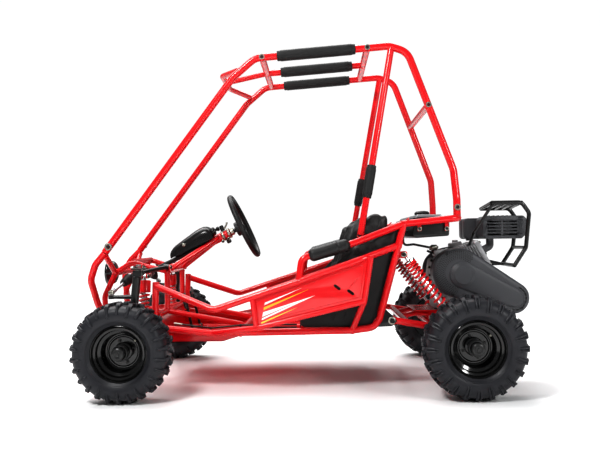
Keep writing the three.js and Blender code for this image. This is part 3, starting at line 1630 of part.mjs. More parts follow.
function seatTub() {
  const whole = plateAcross(tubOutline(0, 0), -tub.half, tub.half);
  const hollow = plateAcross(
    tubOutline(tub.wall, overrun * 2),
    tub.wall - tub.half,
    tub.half - tub.wall,
  );
  const frontOpening = plateAcross(
    [
      [tub.frontX - frameTube, tub.bottomZ + frameTube * 3],
      [tub.frontX + frameTube, tub.bottomZ + frameTube * 3],
      [tub.frontX + frameTube, hip.seatZ],
      [tub.frontX - frameTube, hip.seatZ],
    ],
    -seat.half,
    seat.half,
  );
  return cut(whole, [hollow, frontOpening]);
}

function seatCushions() {
  const baseZ = tub.bottomZ + tub.wall + gap * 3 + seat.baseThick / 2;
  const base = new THREE.Matrix4().makeTranslation(seat.baseX, 0, baseZ);
  const back = new THREE.Matrix4().makeRotationY(-seat.recline);
  back.setPosition(seat.backX, 0, seat.backZ);
  const common = { crown: seat.crown, drawShare: 0.05, cornerShare: 0.06, channelDepth: seat.channel };
  const baseCushion = cushion(
    { ...common, length: seat.baseLength, width: seat.half * 2, thick: seat.baseThick, channels: 3 },
    base,
  );
  const backCushion = cushion(
    {
      ...common,
      length: seat.backLength,
      width: seat.half * 2 + seat.wing,
      thick: seat.backThick,
      channels: 5,
    },
    back,
  );
  const wings = sides.map(([, side]) => {
    const shape = new THREE.Shape();
    shape.moveTo(hip.seatX + seat.wing * 2, hip.lowZ);
    shape.quadraticCurveTo(
      hip.seatX + seat.wing * 2.2,
      hip.backZ,
      hip.backX - seat.wing * 1.6,
      armrest.endZ + seat.wing * 0.7,
    );
    shape.quadraticCurveTo(
      hip.backX - seat.wing,
      upright.topZ,
      hip.backX + seat.wing * 0.3,
      upright.topZ - frameTube,
    );
    shape.lineTo(uprightXAt(hip.lowZ) - seat.backThick, hip.lowZ);
    const bevel = seat.wing / 5;
    const geometry = new THREE.ExtrudeGeometry(shape, {
      depth: seat.wing - bevel * 2,
      bevelThickness: bevel,
      bevelSize: bevel,
      bevelOffset: -bevel,
      bevelSegments: 1,
      curveSegments: 2,
    });
    const stand = new THREE.Matrix4().makeRotationX(Math.PI / 2);
    const skin = tub.half - tub.wall - gap * 3 - bevel;
    const outerY = side > 0 ? skin : seat.wing - bevel * 2 - skin;
    stand.setPosition(0, outerY, 0);
    return solid(geometry, stand);
  });
  return join([baseCushion, backCushion, wings]);
}

// Fuel tank hung between the rear rails, with its cap and a lighter lid
function fuelTank() {
  const half = tank.half;
  const side = [
    [tank.frontX, tank.bottomZ + tank.inset / 2],
    [tank.frontX + tank.inset, tank.bottomZ],
    [tank.rearX - tank.inset * 2, tank.bottomZ + tank.inset / 2],
    [tank.rearX - frameTube * 2 - gap, tank.bottomZ + tank.inset * 3],
    [tank.rearX - frameTube * 2 - gap, tank.topZ],
    [tank.frontX + tank.inset / 2, tank.topZ],
  ];
  const lid = [
    [tank.frontX + tank.inset, tank.topZ],
    [tank.rearX - frameTube * 3, tank.topZ],
    [tank.rearX - frameTube * 3 - tank.inset, tank.topZ + tank.lid],
    [tank.frontX + tank.inset * 1.6, tank.topZ + tank.lid],
  ];
  const capX = THREE.MathUtils.lerp(tank.frontX, tank.rearX, tank.capShare);
  const capY = half * tank.capSideShare;
  const cap = turned(
    [
      [0, 0],
      [tankCap.neck, 0],
      [tankCap.neck, tank.lid],
      [tankCap.radius, tank.lid],
      [tankCap.radius, tank.lid + tankCap.height],
      [tankCap.radius * 0.8, tank.lid + tankCap.height * 1.3],
      [0, tank.lid + tankCap.height * 1.3],
    ],
    at(capX, capY, tank.topZ),
    at(0, 0, 1),
    8,
  );
  return join([
    plateAcross(side, -half, half),
    plateAcross(lid, tank.inset * 2 - half, half - tank.inset * 2),
    cap,
    fuelHose(),
  ]);
}
const tankCap = { neck: 20, radius: 29, height: 16 };

// Engine: crankcase on its feet, a finned cylinder leaning back, head, exhaust neck and recoil housing
const engine = {
  crankX: axleX + behindAxle.crank,
  crankZ: engineFoot.z + aboveFoot.crank,
  caseRadius: 68,
  nearY: -150,
  farY: 104,
  lean: THREE.MathUtils.degToRad(28),
  fins: 6,
  finPitch: 14,
  finThick: 4.5,
  finFrom: 50,
  finHalf: 76,
  finWidth: 64,
  core: 44,
  head: 20,
  recoil: 88,
  recoilDepth: 44,
  centreY: -30,
};

function engineBlock() {
  const crank = at(engine.crankX, 0, engine.crankZ);
  const r = engine.caseRadius;
  const lobes = 12;
  const profile = Array.from({ length: lobes }, (_, i) => {
    const angle = (i / lobes) * 2 * Math.PI;
    return [crank.x + r * Math.cos(angle), crank.z + r * Math.sin(angle)];
  });
  const crankcase = plateAcross(profile, engine.nearY, engine.farY);
  const foot = plateAcross(
    [
      [crank.x - r * 0.95, engineFoot.z + gap],
      [crank.x + r * 0.95, engineFoot.z + gap],
      [crank.x + r * 0.95, engineFoot.z + gap + frameTube],
      [crank.x + r * 0.7, crank.z],
      [crank.x - r * 0.7, crank.z],
      [crank.x - r * 0.95, engineFoot.z + gap + frameTube],
    ],
    engine.nearY * 0.72,
    engine.farY * 0.9,
  );
  const axisDir = at(Math.cos(engine.lean), 0, Math.sin(engine.lean));
  const upDir = at(-Math.sin(engine.lean), 0, Math.cos(engine.lean));
  const placed = (distance) => {
    const matrix = new THREE.Matrix4().makeBasis(upDir, at(0, -1, 0), axisDir);
    return matrix.setPosition(crank.clone().addScaledVector(axisDir, distance).setY(engine.centreY));
  };
  const plate = (halfUp, halfWide, from, depth) => {
    const corners = [
      [halfUp, halfWide],
      [-halfUp, halfWide],
      [-halfUp, -halfWide],
      [halfUp, -halfWide],
    ];
    const shape = new THREE.Shape(corners.map(([u, w]) => new THREE.Vector2(u, w)));
    return solid(new THREE.ExtrudeGeometry(shape, { depth, bevelEnabled: false }), placed(from));
  };
  const fins = Array.from({ length: engine.fins }, (_, i) =>
    plate(
      engine.finHalf - i * 2,
      engine.finWidth,
      engine.finFrom + i * engine.finPitch,
      engine.finThick,
    ),
  );
  const reach = engine.fins * engine.finPitch;
  const core = plate(engine.core, engine.core, 0, engine.finFrom + reach + engine.head / 2);
  const head = plate(engine.finHalf * 0.8, engine.finWidth * 0.9, engine.finFrom + reach, engine.head);
  const recoil = turned(
    [
      [0, 0],
      [engine.recoil, 0],
      [engine.recoil, engine.recoilDepth * 0.6],
      [engine.recoil * 0.75, engine.recoilDepth],
      [engine.recoil * 0.3, engine.recoilDepth],
      [engine.recoil * 0.25, engine.recoilDepth * 1.15],
      [0, engine.recoilDepth * 1.15],
    ],
    crank.clone().setY(engine.farY),
    at(0, 1, 0),
    10,
  );
  return join([crankcase, foot, core, fins, head, recoil]);
}

// Belt drive cover: two rounded ends joined by straight edges, with a domed cap and a ridge
const cover = {
  bigRadius: 97,
  smallX: axleX + behindAxle.coverSmall,
  smallZ: engineFoot.z + aboveFoot.coverSmall,
  smallRadius: 61,
  nearY: -232,
  farY: engine.nearY,
  bevel: 10,
  cap: 42,
  capDepth: 16,
  ridge: 9,
  slotCount: 5,
  slotReach: 9,
  slotTurns: [-1.5, 1.1],
};

function coverOutline(inset) {
  const big = new THREE.Vector2(engine.crankX, engine.crankZ);
  const small = new THREE.Vector2(cover.smallX, cover.smallZ);
  const line = small.clone().sub(big);
  const heading = line.angle();
  const spread = Math.acos((cover.bigRadius - cover.smallRadius) / line.length());
  const arc = (centre, radius, from, to, steps) =>
    Array.from({ length: steps + 1 }, (_, i) => {
      const angle = THREE.MathUtils.lerp(from, to, i / steps);
      return new THREE.Vector2(Math.cos(angle), Math.sin(angle)).multiplyScalar(radius - inset).add(centre);
    });
  return new THREE.Shape([
    ...arc(big, cover.bigRadius, heading + spread, heading + 2 * Math.PI - spread, 9),
    ...arc(small, cover.smallRadius, heading - spread, heading + spread, 6),
  ]);
}

function beltCover() {
  const base = plateAcross(coverOutline(0), cover.nearY + cover.bevel, cover.farY - gap);
  const face = plateAcross(coverOutline(cover.bevel), cover.nearY, cover.farY - cover.bevel);
  const cap = turned(
    [
      [0, 0],
      [cover.cap * 1.25, 0],
      [cover.cap, cover.capDepth * 0.6],
      [cover.cap * 0.8, cover.capDepth],
      [0, cover.capDepth],
    ],
    at(engine.crankX, cover.nearY + gap, engine.crankZ),
    at(0, -1, 0),
    10,
  );
  const small = at(cover.smallX, 0, cover.smallZ);
  const slots = Array.from({ length: cover.slotCount }, (_, i) => {
    const angle = THREE.MathUtils.lerp(...cover.slotTurns, i / (cover.slotCount - 1));
    const out = at(Math.cos(angle), 0, Math.sin(angle));
    const along = at(-Math.sin(angle), 0, Math.cos(angle)).multiplyScalar(cover.slotReach);
    const corner = (radius, sign) => {
      const place = small.clone().addScaledVector(out, radius).addScaledVector(along, sign);
      return [place.x, place.z];
    };
    const inner = cover.smallRadius - cover.bevel - cover.slotReach;
    const outer = cover.smallRadius - cover.bevel - cover.slotReach / 3;
    return plateAcross(
      [corner(inner, -1), corner(outer, -1), corner(outer, 1), corner(inner, 1)],
      cover.nearY - overrun,
      cover.nearY + cover.bevel,
    );
  });
  return cut(join([base, face, cap]), [slots]);
}

// Louvred guard round the muffler
const guard = {
  leftX: axleX + behindAxle.guardFront,
  rightX: axleX + behindAxle.guardRear,
  bottomZ: engineFoot.z + aboveFoot.guardBottom,
  topZ: engineFoot.z + aboveFoot.guardTop,
  nearY: -160,
  farY: -34,
  wall: 3,
  chamfer: 14,
  rows: 4,
  slotLength: 50,
  slotHeight: 6,
  slotPitch: 15,
  topSlots: 6,
  silencerShare: 0.4,
};

function mufflerGuard() {
  const g = guard;
  const outline = (inset) => [
    [g.leftX + inset, g.bottomZ + g.chamfer],
    [g.leftX + g.chamfer, g.bottomZ + inset],
    [g.rightX - g.chamfer * 1.6, g.bottomZ + inset],
    [g.rightX - inset - g.chamfer / 2, g.bottomZ + g.chamfer],
    [g.rightX - inset, g.topZ - g.chamfer],
    [g.rightX - g.chamfer, g.topZ - inset],
    [g.leftX + g.chamfer, g.topZ - inset],
    [g.leftX + inset, g.topZ - g.chamfer],
  ];
  const shell = plateAcross(outline(0), g.nearY, g.farY);
  const hollow = plateAcross(outline(g.wall), g.nearY + g.wall, g.farY - g.wall);
  const block = (x0, x1, y0, y1, z0, z1) => plateAcross(
    [[x0, z0], [x1, z0], [x1, z1], [x0, z1]],
    y0,
    y1,
  );
  const middle = (g.leftX + g.rightX) / 2;
  const louvres = [-1, 1].flatMap((column) =>
    Array.from({ length: g.rows }, (_, row) => {
      const x = middle + column * g.slotLength * 0.62;
      const z = g.bottomZ + g.chamfer * 1.5 + row * g.slotPitch;
      return block(
        x - g.slotLength / 2,
        x + g.slotLength / 2,
        g.nearY - overrun,
        g.nearY + g.wall + overrun,
        z,
        z + g.slotHeight,
      );
    }),
  );
  const vents = Array.from({ length: g.topSlots }, (_, i) => {
    const x = g.leftX + g.chamfer * 2 + i * g.slotPitch;
    return block(
      x,
      x + g.slotHeight,
      g.nearY + g.chamfer,
      g.nearY + g.chamfer + g.slotLength,
      g.topZ - g.wall - overrun,
      g.topZ + overrun,
    );
  });
  const centreZ = (g.bottomZ + g.topZ) / 2;
  const silencer = rod(
    at(middle, g.nearY + g.chamfer * 2, centreZ),
    at(middle, g.farY, centreZ),
    (g.topZ - g.bottomZ) * g.silencerShare,
  );
  return join([cut(shell, [hollow, louvres, vents]), silencer, mufflerNeck()]);
}

// Exhaust pipe from the head's end face up into the guard
function mufflerNeck() {
  const face = engine.finFrom + engine.fins * engine.finPitch + engine.head + gap;
  const along = at(Math.cos(engine.lean), 0, Math.sin(engine.lean));
  const upward = at(-Math.sin(engine.lean), 0, Math.cos(engine.lean));
  const start = at(engine.crankX, engine.nearY / 2, engine.crankZ)
    .addScaledVector(along, face)
    .addScaledVector(upward, guard.chamfer);
  const turning = start.clone().addScaledVector(along, guard.chamfer * 2.2);
  return tube(
    [start, turning, turning.clone().setZ(guard.bottomZ + overrun * 2)],
    guard.chamfer * 0.8,
    { bends: guard.chamfer },
  );
}

// Air cleaner beside the guard, on its intake neck
const air = {
  leftX: axleX + behindAxle.airFront,
  rightX: axleX + behindAxle.airRear,
  bottomZ: guard.bottomZ,
  topZ: engineFoot.z + aboveFoot.airTop,
  nearY: -28,
  farY: 88,
  bevel: 10,
  neck: 12,
};

function airCleaner() {
  const shape = new THREE.Shape(
    [
      [air.leftX + air.bevel, air.bottomZ + air.bevel],
      [air.rightX - air.bevel, air.bottomZ + air.bevel],
      [air.rightX - air.bevel, air.topZ - air.bevel],
      [air.leftX + air.bevel, air.topZ - air.bevel],
    ].map(([x, z]) => new THREE.Vector2(x, z)),
  );
  const geometry = new THREE.ExtrudeGeometry(shape, {
    depth: air.farY - air.nearY - air.bevel * 2,
    bevelThickness: air.bevel,
    bevelSize: air.bevel,
    bevelSegments: 1,
  });
  const stand = new THREE.Matrix4().makeRotationX(Math.PI / 2);
  stand.setPosition(0, air.farY - air.bevel, 0);
  const neckY = (air.nearY + engine.centreY + engine.finWidth) / 2;
  const neckX = air.leftX + air.neck * 2;
  const headTop = (engine.finHalf * 0.8) / Math.cos(engine.lean);
  const neckFoot = engine.crankZ + (neckX + air.neck - engine.crankX) * Math.tan(engine.lean) + headTop + gap;
  return join(
    [
      solid(geometry, stand),
      rod(at(neckX, neckY, neckFoot), at(neckX, neckY, air.bottomZ + air.bevel), air.neck),
    ],
  );
}

// Tube guard round the muffler: two hoops with slats across the top
const rackGuard = {
  tube: 8,
  nearY: -196,
  farY: -14,
  leftX: axleX + behindAxle.rackFront,
  topX: axleX + behindAxle.rackTop,
  shoulderX: axleX + behindAxle.rackShoulder,
  waistX: axleX + behindAxle.rackWaist,
  footX: axleX + behindAxle.rackFoot,
  leftZ: engineFoot.z + aboveFoot.rackFront,
  topZ: engineFoot.z + aboveFoot.rackTop,
  shoulderZ: engineFoot.z + aboveFoot.rackShoulder,
  waistZ: engineFoot.z + aboveFoot.rackWaist,
  footZ: engineFoot.z + aboveFoot.rackFoot,
  farDrop: 16,
  slats: 3,
};

function engineRack() {
  const k = rackGuard;
  const hoop = (y, drop) =>
    tube(
      [
        at(k.leftX, y, k.leftZ - drop),
        at(k.topX, y, k.topZ - drop),
        at(k.shoulderX, y, k.shoulderZ - drop),
        at(k.waistX, y, k.waistZ),
        at(k.footX, y, k.footZ),
      ],
      k.tube,
      { bends: bendRadius / 2 },
    );
  const slats = Array.from({ length: k.slats }, (_, i) => {
    const share = i / (k.slats - 1);
    const x = THREE.MathUtils.lerp(k.leftX, k.topX, share);
    const z = THREE.MathUtils.lerp(k.leftZ, k.topZ, share);
    return rod(at(x, k.nearY, z), at(x, k.farY, z - k.farDrop), k.tube * 0.85);
  });
  const foot = rod(at(k.footX, k.nearY, k.footZ), at(k.footX, k.farY, k.footZ), k.tube);
  const face = engine.finFrom + engine.fins * engine.finPitch + engine.head + gap;
  const onFace = (up) => [
    engine.crankX + Math.cos(engine.lean) * face - Math.sin(engine.lean) * up,
    engine.crankZ + Math.sin(engine.lean) * face + Math.cos(engine.lean) * up,
  ];
  const bracket = plateAcross(
    [
      onFace(-engine.finHalf * 0.78),
      [k.footX, k.footZ - k.tube / 2],
      [k.footX, k.footZ + k.tube / 2],
      onFace(-engine.finHalf * 0.4),
    ],
    engine.centreY - k.tube * 3,
    engine.centreY - k.tube * 2,
  );
  const waist = rod(at(k.waistX, k.nearY, k.waistZ), at(k.waistX, k.farY, k.waistZ), k.tube * 0.85);
  return join([hoop(k.nearY, 0), hoop(k.farY, k.farDrop), slats, foot, waist, bracket]);
}

// Rear axle with its wheels' rims, the chain sprocket and the brake disc, which all turn as one
function rearAxle() {
  const z = rearTyreRadius;
  const rims = sides.map(([, side]) =>
    turned(
      rimProfile(axle.radius - overrun),
      at(axleX, side * wheelHalf, z),
      at(0, side, 0),
      wheelSegments,
    ),
  );
  const sprocketOutline = Array.from({ length: axle.teeth * 2 }, (_, i) => {
    const angle = (i / axle.teeth) * Math.PI;
    const radius = axle.sprocketRadius - (i % 2) * axle.sheet;
    return [axleX + radius * Math.cos(angle), z + radius * Math.sin(angle)];
  });
  const sprocketY = -axle.sprocketHalf;
  return join([
    rod(at(axleX, -axle.half, z), at(axleX, axle.half, z), axle.radius, 8),
    rims,
    plateAcross(sprocketOutline, sprocketY, sprocketY + axle.sheet),
    rod(
      at(axleX, sprocketY - axle.sheet * 3, z),
      at(axleX, sprocketY + axle.sheet * 3, z),
      axle.sprocketRadius / 3,
      6,
    ),
    rod(at(axleX, axle.discHalf, z), at(axleX, axle.discHalf + axle.sheet, z), axle.discRadius),
    rod(
      at(axleX, axle.discHalf - axle.sheet * 3, z),
      at(axleX, axle.discHalf + axle.sheet * 3, z),
      axle.sprocketRadius / 3,
      6,
    ),
  ]);
}

// Pedals turn on pins between small stands on the floor pan, and lean forward when pressed
const pedal = {
  pivotX: 178,
  half: 86,
  width: 58,
  pad: 62,
  tilt: 34,
  topZ: 352,
  arm: 6,
  rise: 12,
  hub: 9,
  pin: 4,
};
const pedalPivot = (side) =>
  at(pedal.pivotX, side * pedal.half, floor.dipZ - floor.panDepth + floor.panSheet + pedal.rise);

function pedalStand(side) {
  const pivot = pedalPivot(side);
  const inner = pedal.width / 3 + runningGap;
  const outer = inner + suspension.ear;
  const foot = pivot.z - pedal.rise - floor.panSheet / 2;
  const outline = [
    [pivot.x - pedal.hub, foot],
    [pivot.x + pedal.hub, foot],
    [pivot.x + pedal.pin * 2, pivot.z + pedal.pin * 2],
    [pivot.x - pedal.pin * 2, pivot.z + pedal.pin * 2],
  ];
  return [
    [-1, 1].map((face) => plateAcross(outline, pivot.y + face * inner, pivot.y + face * outer)),
    rod(pivot.clone().setY(pivot.y - outer), pivot.clone().setY(pivot.y + outer), pedal.pin),
  ];
}

function pedalPart(side) {
  const pivot = pedalPivot(side);
  const top = at(pedal.pivotX - pedal.tilt, side * pedal.half, pedal.topZ);
  const low = between(pivot, top, 0.6);
  const pad = plateAcross(
    [
      [low.x, low.z],
      [top.x, top.z],
      [top.x - pedal.arm, top.z],
      [low.x - pedal.arm, low.z],
    ],
    side * pedal.half - pedal.width / 2,
    side * pedal.half + pedal.width / 2,
  );
  const hub = rod(
    pivot.clone().setY(side * pedal.half - pedal.width / 3),
    pivot.clone().setY(side * pedal.half + pedal.width / 3),
    pedal.hub,
  );
  const bore = hole(
    pivot.clone().setY(pivot.y - pedal.width / 2),
    pivot.clone().setY(pivot.y + pedal.width / 2),
    pedal.pin + runningGap,
  );
  return cut(join([hub, rod(pivot, between(pivot, top, 0.9), pedal.arm), pad]), [bore]);
}

// Throttle and brake cables, clipped together along the floor rail
const cable = { radius: 3.2, spread: 10, inside: 8, clip: 5 };

function controlCables() {
  const y = -(floor.panHalf - floor.panSheet - cable.inside);
  const restZ = floor.dipZ + flatOf(frameTube) + cable.radius + gap * 2;
  const routes = [0, 1].map((i) => {
    const lift = cable.spread * i;
    return [
      at(pedal.pivotX - pedal.tilt, y, floor.frontZ + lift),
      at(floor.dipX, y, floor.dipZ + lift + cable.clip),
      at(floor.crossX, y, restZ + lift),
      at(tub.frontX - frameTube, y, restZ + lift),
    ];
  });
  const runs = routes.map((points) => tube(points, cable.radius));
  const clips = [1, 2].map((i) => {
    const place = routes[0][i];
    return rod(place.clone(), place.clone().setZ(place.z + cable.spread), cable.radius * 0.9);
  });
  return join([runs, clips]);
}

// Fuel hose from the tank's outlet to the filter beside the engine
const hose = {
  radius: 4.5,
  y: -120,
  dropZ: 534,
  endX: axleX + behindAxle.hoseEnd,
  filter: 11,
  filterLength: 34,
};

function fuelHose() {
  const points = [
    at(tank.frontX + tank.inset, hose.y, tank.bottomZ + tank.inset * 2),
    at(tank.frontX - hose.radius * 3, hose.y, tank.bottomZ + tank.inset * 2),
    at(tank.frontX - hose.radius * 3, hose.y, hose.dropZ),
    at(tank.frontX + hose.radius * 6, hose.y, hose.dropZ + hose.radius),
    at(hose.endX - hose.filterLength, hose.y, hose.dropZ - hose.radius * 2),
    at(hose.endX, hose.y, hose.dropZ - hose.radius * 2),
  ];
  const last = points[points.length - 1];
  const filter = rod(last.clone().setX(last.x - hose.filterLength * 0.6), last, hose.filter);
  return join([tube(points, hose.radius, { bends: bendRadius / 2 }), filter]);
}

// Assembly
piece("main_frame", centreFrame(), colours.red);
for (const [name, side] of sides) {
  piece(`side_frame_${name}`, sideFrame(side), colours.red);
  piece(`cage_hoop_${name}`, cageHoop(side), colours.red);
  frontCorner(name, side);

  const roofY = side * cageHalf;
  piece(
    `roof_pad_${name}`,
    foamSleeve(
      at(roofPad.from, roofY, roofZAt(roofPad.from)),
      at(roofPad.to, roofY, roofZAt(roofPad.to)),
      roofPad.outer,
      cageTube,
    ),
    colours.foam,
  );
  const foot = at(cage.pillarFootX, side * floorHalf, armrestRailAt(cage.pillarFootX) + frameTube * 1.5);
  const head = at(cage.pillarTopX, roofY, cage.crownZ);
  const onPillar = (z) => between(foot, head, (z - foot.z) / (head.z - foot.z));
  piece(
    `pillar_grip_${name}`,
    foamSleeve(onPillar(grip.from), onPillar(grip.to), grip.outer, pillarTube),
    colours.foam,
  );
  const armFront = at(armrest.topX, side * armrest.half, armrest.topZ);
  const armRear = at(armrest.endX, side * armrest.endHalf, armrest.endZ);
  piece(
    `armrest_pad_${name}`,
    foamSleeve(
      between(armFront, armRear, armPad.fromShare),
      between(armFront, armRear, armPad.toShare),
      armPad.outer,
      frameTube,
    ),
    colours.vinyl,
  );

  const rearCentre = at(axleX, side * wheelHalf, rearTyreRadius);
  piece(`rear_tyre_${name}`, tyre(rearCentre, rearTyreRadius), colours.tyre);
  damper(
    "rear",
    name,
    at(rearShock.topX, side * rearShock.half, rearShock.topZ),
    at(rearShock.lowX, side * rearShock.half, rearShock.lowZ),
    at(0, 1, 0),
    rearDamper,
  );
}
piece(
  "roof_pad_centre",
  foamSleeve(
    at(roofPad.from, 0, roofZAt(roofPad.from)),
    at(roofPad.to, 0, roofZAt(roofPad.to)),
    roofPad.outer,
    frameTube,
  ),
  colours.foam,
);
piece("roof_frame", roofFrame(), colours.red);
const midShare = (cage.midBarX - cage.shoulderX) / (cage.kinkX - cage.shoulderX);
const midBarZ = THREE.MathUtils.lerp(cage.shoulderZ, cage.kinkZ, midShare);
const midBarHalf = THREE.MathUtils.lerp(cageHalf, kinkHalf, midShare);
piece("rear_crossbar", crossbar(cage.midBarX, midBarZ, midBarHalf), colours.red);
piece("seat_tub", seatTub(), colours.vinyl);
piece("seat", seatCushions(), colours.vinyl);
piece("dash_cowl", dashCowl(), colours.plastic);
piece("headlight", headlight(), colours.black);
piece("steering_wheel", steeringWheel(), colours.black);
piece("rack_housing", rackHousing(), colours.black);
piece("rack_bar", rackBar(), colours.steel);
piece("throttle_pedal", pedalPart(1), colours.black);
piece("brake_pedal", pedalPart(-1), colours.black);
piece("control_cables", controlCables(), colours.black);
piece("fuel_tank", fuelTank(), colours.black);
piece("swing_arm", swingArm(), colours.red);
piece("rear_axle", rearAxle(), colours.rim);
piece("engine", engineBlock(), colours.silver);
piece("belt_cover", beltCover(), colours.plastic);
piece("muffler_guard", mufflerGuard(), colours.plastic);
piece("air_cleaner", airCleaner(), colours.black);
piece("engine_rack", engineRack(), colours.black);

console.log(`least gap between spring curls: ${leastCurlGap.toFixed(2)} mm`);

// The kart stands centred over its footprint, with the tyres on the ground.
const extent = new THREE.Box3().setFromObject(kart);
const middle = extent.getCenter(new THREE.Vector3());
kart.position.set(-middle.x, -middle.y, -extent.min.z);

export default kart;
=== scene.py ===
from math import acos, atan2, ceil, cos, exp, hypot, pi, radians, sin, sqrt, tan

import bmesh
import bpy
import numpy as np
from mathutils import Matrix, Vector
from mathutils.geometry import tessellate_polygon


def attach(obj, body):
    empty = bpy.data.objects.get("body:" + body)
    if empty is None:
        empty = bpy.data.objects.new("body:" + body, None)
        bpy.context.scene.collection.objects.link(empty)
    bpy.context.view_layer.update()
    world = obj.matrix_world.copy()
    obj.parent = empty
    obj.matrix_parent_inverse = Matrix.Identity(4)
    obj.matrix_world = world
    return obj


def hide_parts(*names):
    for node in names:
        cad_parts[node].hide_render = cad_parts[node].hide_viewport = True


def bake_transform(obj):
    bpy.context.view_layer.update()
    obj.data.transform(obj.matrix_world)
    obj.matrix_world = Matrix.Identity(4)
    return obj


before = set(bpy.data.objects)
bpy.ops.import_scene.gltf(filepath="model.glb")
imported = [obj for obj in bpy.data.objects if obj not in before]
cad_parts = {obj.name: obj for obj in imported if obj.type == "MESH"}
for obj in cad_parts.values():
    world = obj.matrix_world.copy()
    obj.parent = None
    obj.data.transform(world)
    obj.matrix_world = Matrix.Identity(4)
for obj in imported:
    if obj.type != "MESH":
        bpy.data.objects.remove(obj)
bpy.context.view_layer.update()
print("stage: frame loaded")

# The kart is laid out in millimetres from the front axle, X to the rear, Y to the driver's right.
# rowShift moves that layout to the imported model's frame.
layout = {
    "rowShift": (-657.704, 0.0, -1.653),
    "frameTube": 13.0,
    "lightTube": 11.0,
    "cageTube": 14.0,
    "pillarTube": 12.5,
    "bushTube": 8.5,
    "running": 0.6,
    "seated": 0.3,
    "bendRadius": 55.0,
    "floorHalf": 318.0,
    "hipHalf": 390.0,
    "boxHalf": 150.0,
    "cageHalf": 260.0,
    "axleX": 1232.0,
    "wheelHalf": 470.0,
    "pivotX": 963.0,
    "pivotZ": 259.0,
    "pivotInner": 278.0,
    "pivotPin": 8.0,
    "frontTyre": 177.0,
    "rearTyre": 182.0,
}
sides = (("Left", "left", -1), ("Right", "right", 1))
xAxis, yAxis, zAxis = Vector((1, 0, 0)), Vector((0, 1, 0)), Vector((0, 0, 1))
rowShift, floorHalf, hipHalf, boxHalf, cageHalf, wheelHalf = (
    layout[size] for size in ("rowShift", "floorHalf", "hipHalf", "boxHalf", "cageHalf", "wheelHalf")
)
heavy, light, cageTube, pillarTube, bushTube, running, seated = (
    layout[size] for size in ("frameTube", "lightTube", "cageTube", "pillarTube", "bushTube", "running", "seated")
)
axleX, pivotX, pivotZ, frontTyre, rearTyre = (
    layout[size] for size in ("axleX", "pivotX", "pivotZ", "frontTyre", "rearTyre")
)


def at(x, y, z):
    return Vector((x, y, z))


def spoke(across, other, angle):
    return across * cos(angle) + other * sin(angle)


def turnsOf(count):
    return [2 * pi * k / count for k in range(count)]


def blendTo(a, b, share):
    return a + (b - a) * share


def onSide(point, y):
    # a point of the side view, at a distance from the middle plane
    return at(point[0], y, point[1])


def onLine(x, a, b):
    # height of the line through two points of the side view
    return a[1] + (x - a[0]) / (b[0] - a[0]) * (b[1] - a[1])


def roundRoute(points, radius=None, fine=0.17):
    # corners become smooth bends, as far as the legs beside them allow
    radius = layout["bendRadius"] if radius is None else radius
    route = [points[0]]
    for back, corner, ahead in zip(points, points[1:], points[2:]):
        toBack, toAhead = back - corner, ahead - corner
        half = toBack.angle(toAhead) / 2
        turn = pi - 2 * half
        if turn < 0.02:
            route.append(corner)
            continue
        reach = min(radius / tan(half), 0.48 * min(toBack.length, toAhead.length))
        start = corner + toBack.normalized() * reach
        end = corner + toAhead.normalized() * reach
        count = max(2, ceil(turn / fine))
        for i in range(count + 1):
            t = i / count
            route.append(start.lerp(corner, t).lerp(corner.lerp(end, t), t))
    route.append(points[-1])
    return route


def insetOutline(outline, distance):
    # each corner moves inward along its mitre
    area = sum(a[0] * b[1] - b[0] * a[1] for a, b in zip(outline, outline[1:] + outline[:1]))
    sign = 1 if area > 0 else -1
    moved = []
    count = len(outline)
    for i in range(count):
        before, here, after = (Vector(outline[(i + k) % count]) for k in (-1, 0, 1))
        a, b = (here - before).normalized(), (after - here).normalized()
        na, nb = Vector((-a.y, a.x)) * sign, Vector((-b.y, b.x)) * sign
        mitre = na + nb
        if mitre.length < 1e-6:
            mitre = na
        mitre.normalize()
        reach = min(distance / max(mitre.dot(na), 0.35), distance * 2)
        moved.append(tuple(here + mitre * reach))
    return moved


def roundOutline(outline, radius, fine=0.4):
    # a closed outline with its corners rounded
    made = []
    count = len(outline)
    for i in range(count):
        before, corner, after = (Vector(outline[(i + k) % count]) for k in (-1, 0, 1))
        a, b = before - corner, after - corner
        half = a.angle(b) / 2
        turn = pi - 2 * half
        if turn < 0.05:
            made.append(tuple(corner))
            continue
        reach = min(radius / tan(half), 0.45 * min(a.length, b.length))
        start, end = corner + a.normalized() * reach, corner + b.normalized() * reach
        steps = max(2, ceil(turn / fine))
        for k in range(steps + 1):
            t = k / steps
            made.append(tuple(start.lerp(corner, t).lerp(corner.lerp(end, t), t)))
    return made


def sheetOutline(line, thick):
    # a bent line given the thickness of its sheet, on its upper side
    lifted = []
    for i, q in enumerate(line):
        way = (line[min(i + 1, len(line) - 1)] - line[max(i - 1, 0)]).normalized()
        lifted.append((q.x - way.z * thick, q.z + way.x * thick))
    return [(q.x, q.z) for q in line] + lifted[::-1]


def oblong(a0, b0, a1, b1):
    return [(a0, b0), (a1, b0), (a1, b1), (a0, b1)]


def ringOf(centre, radius, count):
    return [(centre[0] + radius * cos(a), centre[1] + radius * sin(a)) for a in turnsOf(count)]


def bushing(bore, outer, low, high, edge=1):
    # the section of a plain bush or collar whose outer edges are broken
    return [
        (bore, low), (outer - edge, low), (outer, low + edge), (outer, high - edge), (outer - edge, high),
        (bore, high),
    ]


def mirrored(line):
    # a section that comes back on itself past its last point, across the middle plane
    return line + [(r, -y) for r, y in reversed(line[:-1])]


def putXz(a, b, w):
    return at(a, w, b)


def putYz(a, b, w):
    return at(w, a, b)


def putXy(a, b, w):
    return at(a, b, w)


def addObject(name, data):
    made = bpy.data.objects.new(name, data)
    bpy.context.scene.collection.objects.link(made)
    return made


